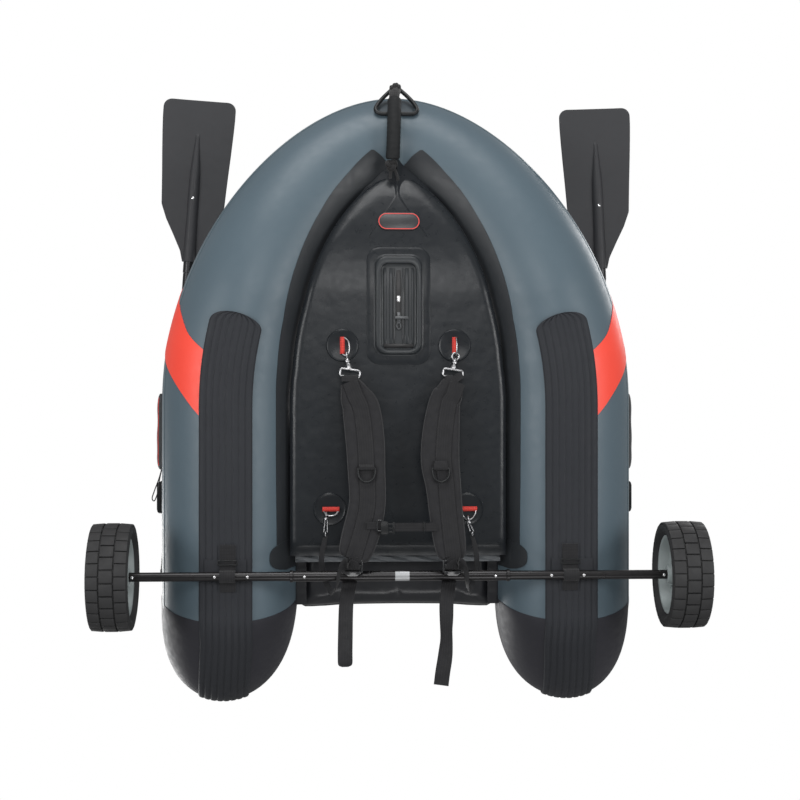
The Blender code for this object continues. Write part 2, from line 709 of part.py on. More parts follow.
def make_bracket(name, side, root):
    """Make one webbing loop that holds the axle under the keel strip."""
    level = -(TUBE_RADIUS + STRIP_GAP + STRIP_THICKNESS) - 0.0019
    half = 0.0013
    loop = SECTION_RADIUS + 0.001 + half
    path = [(-0.372, level), (-0.402, level)]
    for degrees in (35, 0, -30, -60, -90, -120, -150, -180, -215):
        angle = math.radians(degrees)
        path.append((AXLE_Y + loop * math.cos(angle), AXLE_Z + loop * math.sin(angle)))
    path += [(-0.446, level), (-0.462, level)]
    rings = []
    for k, (y, z) in enumerate(path):
        before = path[max(k - 1, 0)]
        after = path[min(k + 1, len(path) - 1)]
        along = Vector((0, after[0] - before[0], after[1] - before[1])).normalized()
        normal = Vector((0, -along.z, along.y))
        middle = Vector((0, y, z))
        inner_x = BRACKET_X - BRACKET_WIDTH / 2
        outer_x = BRACKET_X + BRACKET_WIDTH / 2
        corners = [
            middle + normal * half + Vector((inner_x, 0, 0)),
            middle + normal * half + Vector((outer_x, 0, 0)),
            middle - normal * half + Vector((outer_x, 0, 0)),
            middle - normal * half + Vector((inner_x, 0, 0)),
        ]
        rings.append(mirrored(corners, side))
    add_object(f"axle_strap_{name}", loft_mesh(rings), "webbing_black", root, smooth=False)


def make_wheel(name, side, root):
    """Make one wheel: a hub that turns on the axle section, and its tyre."""
    centre = (side * WHEEL_X, AXLE_Y, AXLE_Z)
    half = TYRE_HALF_WIDTH
    tyre = [
        (RIM_RADIUS, -half * 0.72), (RIM_RADIUS + 0.014, -half), (WHEEL_RADIUS - 0.006, -half * 0.95),
        (WHEEL_RADIUS, -half * 0.62), (WHEEL_RADIUS, half * 0.62), (WHEEL_RADIUS - 0.006, half * 0.95),
        (RIM_RADIUS + 0.014, half), (RIM_RADIUS, half * 0.72),
    ]
    axis = (side, 0, 0)
    add_object(f"tyre_{name}", turned_mesh(tyre, centre, axis, WHEEL_STEPS), "tyre_black", root, origin=centre)
    bore = SECTION_RADIUS + 0.0005
    rim = RIM_RADIUS - GAP
    wide = HUB_HALF_WIDTH
    hub = [
        (bore, -wide), (0.024, -wide), (0.030, -0.013), (0.079, -0.009), (0.088, -wide), (rim, -wide),
        (rim, wide), (0.088, wide), (0.079, 0.009), (0.030, 0.013), (0.024, wide), (bore, wide),
    ]
    add_object(f"hub_{name}", turned_mesh(hub, centre, axis, WHEEL_STEPS), "hub_grey", root, origin=centre)


def bar_loop_mesh(outline, radius, sides=6):
    """Return a closed bar of round section that follows a loop of points."""
    count = len(outline)
    flat = (outline[1] - outline[0]).cross(outline[count // 2] - outline[0]).normalized()
    rings = []
    for k, point in enumerate(outline):
        along = (outline[(k + 1) % count] - outline[k - 1]).normalized()
        across = along.cross(flat)
        rings.append([
            point + (across * math.cos(a) + flat * math.sin(a)) * radius
            for a in (2 * math.pi * n / sides for n in range(sides))
        ])
    return loft_mesh(rings, closed=True)


def rounded_loop(corners, radius, steps=3):
    """Return points round a polygon in a plane, with its corners rounded."""
    points = []
    count = len(corners)
    for k, corner in enumerate(corners):
        before = (corners[k - 1] - corner).normalized()
        after = (corners[(k + 1) % count] - corner).normalized()
        first = corner + before * radius
        last = corner + after * radius
        for n in range(steps + 1):
            t = n / steps
            points.append(first * (1 - t) ** 2 + corner * 2 * t * (1 - t) + last * t**2)
    return points


def nose_point(angle, radius):
    """Return a point round the bow tube at its nose, in the boat's middle plane."""
    return Vector((0, BOW_CENTRE_Y + radius * math.cos(angle), BOW_RISE + radius * math.sin(angle)))


def make_bow_ring(root):
    """Make the triangular tow ring, laid against the nose with its point past it."""
    foot_angle = math.radians(-57)
    foot = nose_point(foot_angle, BOW_RADIUS + RING_BAR_RADIUS + 0.002)
    along = Vector((0, -math.sin(foot_angle), math.cos(foot_angle)))
    corners = [
        foot + Vector((-RING_WIDTH / 2, 0, 0)),
        foot + Vector((RING_WIDTH / 2, 0, 0)),
        foot + along * RING_LENGTH,
    ]
    outline = rounded_loop(corners, 0.016)
    add_object("bow_ring", bar_loop_mesh(outline, RING_BAR_RADIUS, 8), "moulded_black", root)
    return foot + along * RING_LENGTH


def make_handle(apex, root):
    """Make the carrying handle: a tubular grip threaded on a cord under the bow."""
    count = 7
    sides = 10
    spread = GRIP_END_ANGLE - GRIP_START_ANGLE
    angles = [GRIP_START_ANGLE + spread * k / (count - 1) for k in range(count)]
    outer = []
    inner = []
    for angle in angles:
        centre = nose_point(angle, GRIP_ARC_RADIUS) + Vector((GRIP_X, 0, 0))
        outward = Vector((0, math.cos(angle), math.sin(angle)))
        across = Vector((1, 0, 0))
        for rows, radius in ((outer, GRIP_RADIUS), (inner, GRIP_BORE)):
            rows.append([
                centre + (across * math.cos(a) + outward * math.sin(a)) * radius
                for a in (2 * math.pi * n / sides for n in range(sides))
            ])
    add_object("handle_grip", loft_mesh(outer + inner[::-1], closed=True), "webbing_black", root)

    route = [Vector((0.002, 0.566, -0.036)), Vector((0.008, 0.582, -0.041))]
    route += [nose_point(angle, GRIP_ARC_RADIUS) + Vector((GRIP_X, 0, 0)) for angle in angles]
    below_apex = apex + Vector((0, 0.002, -RING_BAR_RADIUS - CORD_RADIUS - 0.003))
    route += [Vector((0.009, 0.7640, 0.006)), below_apex]
    make_cord("handle_cord", smooth_route(route, 24), CORD_RADIUS, "webbing_black", root)


def smooth_route(points, count):
    """Return evenly shared points on a smooth curve through the given ones."""
    result = []
    spans = len(points) - 1
    for n in range(count + 1):
        place = min(n / count * spans, spans - 1e-9)
        k = int(place)
        t = place - k
        p0 = points[max(k - 1, 0)]
        p1 = points[k]
        p2 = points[k + 1]
        p3 = points[min(k + 2, spans)]
        square = 2 * p0 - 5 * p1 + 4 * p2 - p3
        cube = 3 * p1 - p0 - 3 * p2 + p3
        result.append(0.5 * (2 * p1 + (p2 - p0) * t + square * t**2 + cube * t**3))
    return result


def make_cord(name, points, radius, look, root):
    """Make a round cord as a bevelled curve through points, with filled ends."""
    curve = bpy.data.curves.new(name, "CURVE")
    curve.dimensions = "3D"
    curve.bevel_depth = radius
    curve.bevel_resolution = 2
    curve.use_fill_caps = True
    spline = curve.splines.new("POLY")
    spline.points.add(len(points) - 1)
    for spot, point in zip(spline.points, points):
        spot.co = (*point, 1.0)
    curve.materials.append(finish(look))
    item = bpy.data.objects.new(name, curve)
    bpy.context.scene.collection.objects.link(item)
    item.parent = root
    return item


def make_accessory_base(root):
    """Make the flexible accessory base: a flat plate, a raised rim and a ribbed recess."""
    rings = []
    for y in BASE_Y:
        top = FLOOR_Z + rise(y) - FLOOR_HALF_THICKNESS - 0.0006
        plate = top - PLATE_THICKNESS
        end = y in (BASE_Y[0], BASE_Y[-1])
        rim_rows = BASE_Y[1] < y < BASE_Y[-2]
        in_recess = RECESS_STERN_Y < y < RECESS_BOW_Y
        rim = top - RIM_HEIGHT if rim_rows else plate
        floor = plate if in_recess else rim
        rib = floor - 0.004 if in_recess else rim
        half = BASE_HALF_WIDTH * (0.90 if end else 1.0)
        right = [
            (half, top), (half, plate), (BASE_RIM_HALF_WIDTH + 0.004, plate), (BASE_RIM_HALF_WIDTH, rim),
            (RECESS_HALF_WIDTH, rim), (RECESS_HALF_WIDTH - 0.002, floor), (0.022, floor), (0.020, rib),
            (0.016, rib), (0.014, floor),
        ]
        left = [(-x, z) for x, z in reversed(right)]
        rings.append([Vector((x, y, z)) for x, z in right + left])
    add_object("accessory_base", loft_mesh(rings), "moulded_black", root, smooth=False)


def make_slider(root):
    """Make the latch tab that slides along the recess of the accessory base."""
    top = FLOOR_Z - FLOOR_HALF_THICKNESS - 0.0006 - PLATE_THICKNESS - 0.0005
    stem = box_mesh((-0.004, SLIDER_Y - 0.014, top - 0.005), (0.004, SLIDER_Y + 0.014, top), 0.0006)
    head = box_mesh((-0.010, SLIDER_Y - 0.004, top - 0.009), (0.010, SLIDER_Y + 0.004, top - 0.003), 0.0006)
    mesh = combine(stem, [head], "UNION")
    add_object("accessory_slider", mesh, "steel", root, origin=(0, SLIDER_Y, top), smooth=False)


def floor_underside():
    """Return the height of the floor panel's flat underside."""
    return FLOOR_Z - FLOOR_HALF_THICKNESS


def make_ring_mount(label, place, lengthwise, ring_centre, root):
    """Make one anchor: a round patch on the floor, a sewn tab and its D-ring, in one piece."""
    top = floor_underside() - GAP
    centre = Vector((*place, top))
    patch = rod_mesh([(PATCH_RADIUS, 0.0), (PATCH_RADIUS - 0.001, PATCH_THICKNESS)], centre, (0, 0, -1), 16)
    wide, long = TAB_HALF
    span = Vector((wide, long, 0)) if lengthwise else Vector((long, wide, 0))
    depth = Vector((0, 0, TAB_HEIGHT))
    seat = Vector((0, 0, PATCH_THICKNESS - 0.0005))
    tab = box_mesh(centre - span - depth, centre + span - seat, 0.0015)
    middle = Vector((*ring_centre, top - D_RING_DROP))
    wide, far = D_RING_HALF
    corners = [
        middle + Vector((-wide, far, 0)), middle + Vector((wide, far, 0)),
        middle + Vector((wide, -far, 0)), middle + Vector((-wide, -far, 0)),
    ]
    loop = bar_loop_mesh(rounded_loop(corners, 0.006), D_RING_BAR)
    add_object(label, combine(patch, [tab, loop], "UNION"), "tab_red", root)


def make_snap_hook(name, side, root):
    """Make one snap hook: its eye for the pad, its shank, and the hook round the D-ring's bar."""
    ring_x = RING_FORE[0] - D_RING_INBOARD
    bar_y = RING_FORE[1] - D_RING_BACK - D_RING_HALF[1]
    level = floor_underside() - GAP - D_RING_DROP
    hook = []
    steps = 12
    for k in range(steps):
        angle = 2 * math.pi * k / steps
        turn = Vector((0, math.cos(angle), math.sin(angle)))
        hook.append(Vector((ring_x, bar_y, level)) + turn * SNAP_LOOP_RADIUS)
    loop = bar_loop_mesh(hook, D_RING_BAR)
    start = Vector((ring_x, bar_y - 0.006, level - 0.001))
    end = Vector((PAD_ROUTES[name][0][0], EYE_Y + 0.008, EYE_Z + 0.0010))
    shank = rod_mesh([(0.0030, 0.0), (0.0055, 0.010), (0.0055, (end - start).length)], start, end - start, 10)
    middle = Vector((PAD_ROUTES[name][0][0], EYE_Y, EYE_Z))
    wide, long = SNAP_EYE
    corners = [
        middle + Vector((-wide, long, 0)), middle + Vector((wide, long, 0)),
        middle + Vector((wide, -long, -0.001)), middle + Vector((-wide, -long, -0.001)),
    ]
    eye = bar_loop_mesh(rounded_loop(corners, 0.005), 0.0022)
    mesh = combine(shank, [loop, eye], "UNION")
    if side < 0:
        mesh.transform(Matrix.Diagonal((-1, 1, 1, 1)))
        mesh.flip_normals()
    add_object(f"snap_hook_{name}", mesh, "steel", root)


def make_pad(name, side, root):
    """Make one padded shoulder strap with piped edges and a stitched channel along it."""
    route = PAD_ROUTES[name]
    rings = []
    half_thick = PAD_THICKNESS / 2
    last = len(route) - 1
    for k, (x, y, z, width) in enumerate(route):
        centre = Vector((x, y, z))
        along = (Vector(route[min(k + 1, last)][:3]) - Vector(route[max(k - 1, 0)][:3])).normalized()
        across = along.cross(Vector((0, 0, 1))).normalized()
        normal = across.cross(along)
        full = 0.55 if k in (0, last) else 1.0
        outline = [
            (-0.50, 0.45), (-0.44, 0.80), (-0.30, 1.00), (-0.16, 0.70), (0.16, 0.70), (0.30, 1.00),
            (0.44, 0.80), (0.50, 0.45),
        ]
        upper = [centre + across * width * s + normal * half_thick * h * full for s, h in outline]
        lower = [centre + across * width * s - normal * half_thick * h * full for s, h in outline]
        rings.append(mirrored(upper + lower[::-1], side))
    add_object(f"shoulder_pad_{name}", loft_mesh(rings), "pad_black", root)


def make_lock(name, side, root):
    """Make one ladder lock: a plate with a slot that the webbing turns through."""
    x = WEBBING_ROUTES[name][11][0]
    low = (x - LOCK_HALF_WIDTH, LOCK_AFT_Y, LOCK_Z - 0.002)
    high = (x + LOCK_HALF_WIDTH, LOCK_FORE_Y, LOCK_Z + 0.002)
    plate = box_mesh(low, high, 0.0008)
    slot = box_mesh((x - 0.019, LOCK_SLOT[0], LOCK_Z - 0.010), (x + 0.019, LOCK_SLOT[1], LOCK_Z + 0.010))
    mesh = combine(plate, [slot], "DIFFERENCE")
    if side < 0:
        mesh.transform(Matrix.Diagonal((-1, 1, 1, 1)))
        mesh.flip_normals()
    add_object(f"ladder_lock_{name}", mesh, "moulded_black", root, smooth=False)


def make_webbing(name, side, root):
    """Make one adjusting strap: its slack loop, the turn through the lock and the free tail."""
    route = WEBBING_ROUTES[name]
    rings = []
    for k, (x, y, z, width, roll) in enumerate(route):
        before = Vector(route[max(k - 1, 0)][:3])
        after = Vector(route[min(k + 1, len(route) - 1)][:3])
        along = (after - before).normalized()
        level = Vector((1, 0, 0)) - along * along.x
        level.normalize()
        upward = along.cross(level).normalized()
        turn = math.radians(roll)
        across = level * math.cos(turn) + upward * math.sin(turn)
        normal = along.cross(across).normalized()
        centre = Vector((x, y, z))
        half = WEBBING_THICKNESS / 2
        corners = [
            centre + across * width / 2 + normal * half, centre - across * width / 2 + normal * half,
            centre - across * width / 2 - normal * half, centre + across * width / 2 - normal * half,
        ]
        rings.append(mirrored(corners, side))
    add_object(f"adjust_strap_{name}", triangulated(loft_mesh(rings)), "webbing_black", root, smooth=False)


def make_sternum(root):
    """Make the chest strap's webbing and its side-release buckle."""
    strap = box_mesh(
        (-0.088, STERNUM_Y - 0.010, STERNUM_Z - 0.001), (0.0132, STERNUM_Y + 0.010, STERNUM_Z + 0.001), 0.0003
    )
    add_object("sternum_strap", strap, "webbing_black", root, smooth=False)
    buckle = box_mesh(
        (0.0137, STERNUM_Y - 0.020, STERNUM_Z - 0.005), (0.053, STERNUM_Y + 0.016, STERNUM_Z + 0.005), 0.003, 2
    )
    add_object("sternum_buckle", buckle, "moulded_black", root)


def make_pad_ring(name, side, root):
    """Make one D-ring on a shoulder pad, whose origin is on its swing axis."""
    x = PAD_RING_X[name]
    pad_z = PAD_RING_Z
    origin = Vector((side * x, PAD_RING_Y, pad_z))
    half = PAD_RING_WIDTH / 2
    low = pad_z - PAD_RING_DROP
    corners = [
        Vector((side * x - half, PAD_RING_Y, pad_z)), Vector((side * x + half, PAD_RING_Y, pad_z)),
        Vector((side * x + half * 0.8, PAD_RING_Y - PAD_RING_LENGTH, low)),
        Vector((side * x - half * 0.8, PAD_RING_Y - PAD_RING_LENGTH, low)),
    ]
    mesh = bar_loop_mesh(rounded_loop(corners, 0.010), PAD_RING_BAR)
    add_object(f"pad_ring_{name}", mesh, "moulded_black", root, origin=origin)


def oar_direction(name):
    """Return the named side's oar direction from its grip to its blade."""
    return Vector((-SIDES[name] * math.sin(OAR_LEAN[name]), math.cos(OAR_LEAN[name]), 0))


def make_oar(name, side, root):
    """Make one oar about its lock: shaft with a pivot collar, grip and blade."""
    pivot = Vector((side * OAR_X, OAR_Y, OAR_Z))
    along = oar_direction(name)
    fore = SHAFT_FORE[name]
    across = along.cross(Vector((0, 0, 1)))
    sections = [
        (SHAFT_RADIUS * 0.85, SHAFT_AFT), (SHAFT_RADIUS, SHAFT_AFT + 0.002), (SHAFT_RADIUS, -0.022),
        (0.0185, -0.019), (0.0185, 0.019), (SHAFT_RADIUS, 0.022), (SHAFT_RADIUS, fore),
    ]
    shaft = rod_mesh(sections, pivot, along, 16)
    reach = FORK_HALF_WIDTH + 0.001
    pin = rod_mesh([(PIVOT_PIN_RADIUS, -reach), (PIVOT_PIN_RADIUS, reach)], pivot, across, 12)
    add_object(f"oar_shaft_{name}", combine(shaft, [pin], "UNION"), "oar_black", root, origin=pivot)

    bore = SHAFT_RADIUS + 0.0006
    grip = [
        (bore, SHAFT_AFT + 0.001), (0.0165, SHAFT_AFT + 0.001), (0.0180, SHAFT_AFT + 0.010),
        (0.0165, SHAFT_AFT + GRIP_LENGTH * 0.5), (0.0175, SHAFT_AFT + GRIP_LENGTH - 0.004),
        (0.0160, SHAFT_AFT + GRIP_LENGTH), (bore, SHAFT_AFT + GRIP_LENGTH),
    ]
    add_object(f"oar_grip_{name}", turned_mesh(grip, pivot, along, 16), "moulded_black", root, origin=pivot)

    rings = []
    start = pivot + along * (fore + GAP)
    edge = 0.0016
    for distance, half, spine in BLADE_ROWS:
        centre = start + along * distance
        spread = min(spine, half * 0.5)
        profile = [
            (-half, -edge), (-spread * 1.1, -edge * 1.3), (-spread * 0.6, -spine * 0.8), (0, -spine),
            (spread * 0.6, -spine * 0.8), (spread * 1.1, -edge * 1.3), (half, -edge), (half, edge),
            (spread * 1.1, edge * 1.3), (spread * 0.6, spine * 0.8), (0, spine), (-spread * 0.6, spine * 0.8),
            (-spread * 1.1, edge * 1.3), (-half, edge),
        ]
        rings.append([centre + across * s + Vector((0, 0, h)) for s, h in profile])
    add_object(f"oar_blade_{name}", loft_mesh(rings), "oar_grey", root, origin=pivot)


def make_lock_base(name, side, root):
    """Make one oarlock base, moulded to the pontoon's shoulder, with a bore for the pin."""
    block = box_mesh(LOCK_BASE_LOW, LOCK_BASE_HIGH, 0.008, 2)
    fit = TUBE_RADIUS + 0.0015
    tube = rod_mesh([(fit, -0.1), (fit, 0.1)], (HALF_SPACING, OAR_Y, 0), (0, 1, 0), 64)
    depth = LOCK_BASE_HIGH[2] - LOCK_BORE_BOTTOM + 0.02
    centre = (OAR_X, OAR_Y, LOCK_BORE_BOTTOM)
    bore = rod_mesh([(LOCK_BORE_RADIUS, 0.0), (LOCK_BORE_RADIUS, depth)], centre, (0, 0, 1), 16)
    mesh = combine(block, [tube, bore], "DIFFERENCE")
    if side < 0:
        mesh.transform(Matrix.Diagonal((-1, 1, 1, 1)))
        mesh.flip_normals()
    add_object(f"oarlock_base_{name}", mesh, "moulded_black", root)


def make_oarlock(name, side, root):
    """Make one oarlock: a pin in the base and a fork that carries the oar's pivot."""
    pin_foot = LOCK_BORE_BOTTOM + 0.002
    foot_top = FORK_BOTTOM + 0.018
    pin_radius = LOCK_BORE_RADIUS - 0.0006
    pin = rod_mesh([(pin_radius, 0.0), (pin_radius, foot_top - pin_foot)], (0, 0, pin_foot), (0, 0, 1), 16)
    half = FORK_HALF_WIDTH
    foot = box_mesh((-half, -0.015, FORK_BOTTOM), (half, 0.015, foot_top), 0.001)
    inner = half - CHEEK_THICKNESS
    cheeks = [
        box_mesh((low, -0.014, FORK_BOTTOM + 0.004), (high, 0.014, FORK_TOP), 0.001)
        for low, high in ((-half, -inner), (inner, half))
    ]
    body = combine(pin, [foot, *cheeks], "UNION")
    hole_radius = PIVOT_PIN_RADIUS + 0.0006
    holes = [rod_mesh([(hole_radius, -half - 0.02), (hole_radius, half + 0.02)], (0, 0, OAR_Z), (1, 0, 0), 12)]
    body = combine(body, holes, "DIFFERENCE")
    place = Vector((side * OAR_X, OAR_Y, 0))
    body.transform(Matrix.Translation(place) @ Matrix.Rotation(side * OAR_LEAN[name], 4, "Z"))
    add_object(f"oarlock_{name}", body, "moulded_black", root, origin=(place.x, place.y, OAR_Z))


def make_valve(name, side, root):
    """Make one inflation valve on top of the chamber, and its screwed cap."""
    cut = bow_station(VALVE_STATION / BOW_STEPS)
    top = cut["centre"].z + cut["radius"]
    place = Vector((side * cut["centre"].x, cut["centre"].y, top + 0.0025))
    body = [(0.006, 0.0), (VALVE_RADIUS, 0.0), (VALVE_RADIUS - 0.002, 0.003), (0.023, 0.005), (0.006, 0.005)]
    add_object(f"valve_body_{name}", turned_mesh(body, place, (0, 0, 1), 20), "moulded_black", root)
    cap = [
        (0.001, 0.0055), (CAP_RADIUS, 0.0055), (CAP_RADIUS, 0.011), (CAP_RADIUS - 0.002, 0.013), (0.001, 0.013),
    ]
    add_object(f"valve_cap_{name}", turned_mesh(cap, place, (0, 0, 1), 20), "moulded_black", root, origin=place)


def ground_slope():
    """Return the slope of the ground in the hull's frame: it touches the wheels and the hull."""
    slope = 1.0
    for _ in range(20):
        wheel_foot = AXLE_Z - WHEEL_RADIUS * math.sqrt(1 + slope**2)
        best = 1.0
        for cut in chamber_stations()[1:]:
            foot = cut["centre"].z - cut["radius"]
            best = min(best, (foot - wheel_foot) / (cut["centre"].y - AXLE_Y))
        slope = best
    return slope


def park(root):
    """Pitch the boat onto the ground and centre it over the origin."""
    root.rotation_euler = (-math.atan(ground_slope()), 0, 0)
    bpy.context.view_layer.update()
    depsgraph = bpy.context.evaluated_depsgraph_get()
    corners = []
    for item in bpy.context.scene.objects:
        if item.type == "EMPTY":
            continue
        mesh = item.evaluated_get(depsgraph).to_mesh()
        corners += [item.matrix_world @ vertex.co for vertex in mesh.vertices]
        item.evaluated_get(depsgraph).to_mesh_clear()
    low = [min(point[axis] for point in corners) for axis in range(3)]
    high = [max(point[axis] for point in corners) for axis in range(3)]
    root.location = (-(low[0] + high[0]) / 2, -(low[1] + high[1]) / 2, -low[2])
    bpy.context.view_layer.update()


def main():
    """Build the whole float tube."""
    clear_scene()
    root = bpy.data.objects.new("hull_frame", None)
    bpy.context.scene.collection.objects.link(root)
    make_floor(root)
    make_deck(root)
    make_seat(root)
    make_backrest(root)
    make_axle(root)
    apex = make_bow_ring(root)
    make_handle(apex, root)
    make_accessory_base(root)
    make_slider(root)
    make_sternum(root)
    for name, side in SIDES.items():
        make_chamber(name, side, root)
        make_cone(name, side, root)
        make_strip(name, side, root)
        make_bag(name, side, root)
        make_section(name, side, root)
        make_button(f"axle_button_{name}", side * BUTTON_X, CENTRE_TUBE_RADIUS, root)
        make_button(f"hub_pin_{name}", side * HUB_PIN_X, SECTION_RADIUS, root)
        make_bracket(name, side, root)
        make_wheel(name, side, root)
        fore = (side * RING_FORE[0], RING_FORE[1])
        fore_ring = (side * (RING_FORE[0] - D_RING_INBOARD), RING_FORE[1] - D_RING_BACK)
        make_ring_mount(f"ring_mount_fore_{name}", fore, True, fore_ring, root)
        aft = (side * RING_AFT[0], RING_AFT[1])
        make_ring_mount(f"ring_mount_aft_{name}", aft, False, (aft[0], aft[1] - D_RING_BACK), root)
        make_snap_hook(name, side, root)
        make_pad(name, side, root)
        make_lock(name, side, root)
        make_webbing(name, side, root)
        make_pad_ring(name, side, root)
        make_oar(name, side, root)
        make_lock_base(name, side, root)
        make_oarlock(name, side, root)
        make_valve(name, side, root)
    park(root)


main()
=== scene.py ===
"""Float tube, dressed: the looks of every piece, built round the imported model.

The boat is parked on its wheels and its bow. Every mesh here is drawn in the hull's own frame
(metres, +X to starboard, +Y to the bow, +Z to the deck), and the bench then lays it in the world.
"""

import json
import logging
import math
from dataclasses import dataclass
from enum import Enum
from typing import Callable, Iterable, Sequence

import bmesh
import bpy
from mathutils import Matrix, Vector, noise
from mathutils.bvhtree import BVHTree

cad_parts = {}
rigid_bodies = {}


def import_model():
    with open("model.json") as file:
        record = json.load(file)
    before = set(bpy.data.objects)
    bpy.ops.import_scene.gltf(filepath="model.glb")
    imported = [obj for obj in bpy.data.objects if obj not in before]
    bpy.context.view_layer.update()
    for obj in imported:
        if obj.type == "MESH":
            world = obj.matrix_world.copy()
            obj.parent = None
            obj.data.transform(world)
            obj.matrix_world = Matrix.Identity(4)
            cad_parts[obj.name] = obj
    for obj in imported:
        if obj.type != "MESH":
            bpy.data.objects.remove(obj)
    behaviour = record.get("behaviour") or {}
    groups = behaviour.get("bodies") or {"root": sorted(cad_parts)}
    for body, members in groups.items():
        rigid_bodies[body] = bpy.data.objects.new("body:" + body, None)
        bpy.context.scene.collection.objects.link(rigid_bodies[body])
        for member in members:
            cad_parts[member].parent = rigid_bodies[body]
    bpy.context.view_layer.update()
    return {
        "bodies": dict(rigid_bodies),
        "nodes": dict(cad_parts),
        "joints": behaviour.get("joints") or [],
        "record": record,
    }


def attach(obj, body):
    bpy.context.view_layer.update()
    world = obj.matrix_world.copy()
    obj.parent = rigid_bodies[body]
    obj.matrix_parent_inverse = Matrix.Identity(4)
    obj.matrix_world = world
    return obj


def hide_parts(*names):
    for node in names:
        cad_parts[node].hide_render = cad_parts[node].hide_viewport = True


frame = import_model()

LOG = logging.getLogger("float_tube")
SIDES: dict[str, int] = {"starboard": 1, "port": -1}
FULL_TURN = 2 * math.pi

Row = list[Vector]
Outline = list[tuple[float, float]]


class Pattern(Enum):
    """The surface detail that a finish carries."""

    COATED = "coated"
    WOVEN = "woven"
    WEBBING = "webbing"
    MOULDED = "moulded"
    METAL = "metal"
    RUBBER = "rubber"


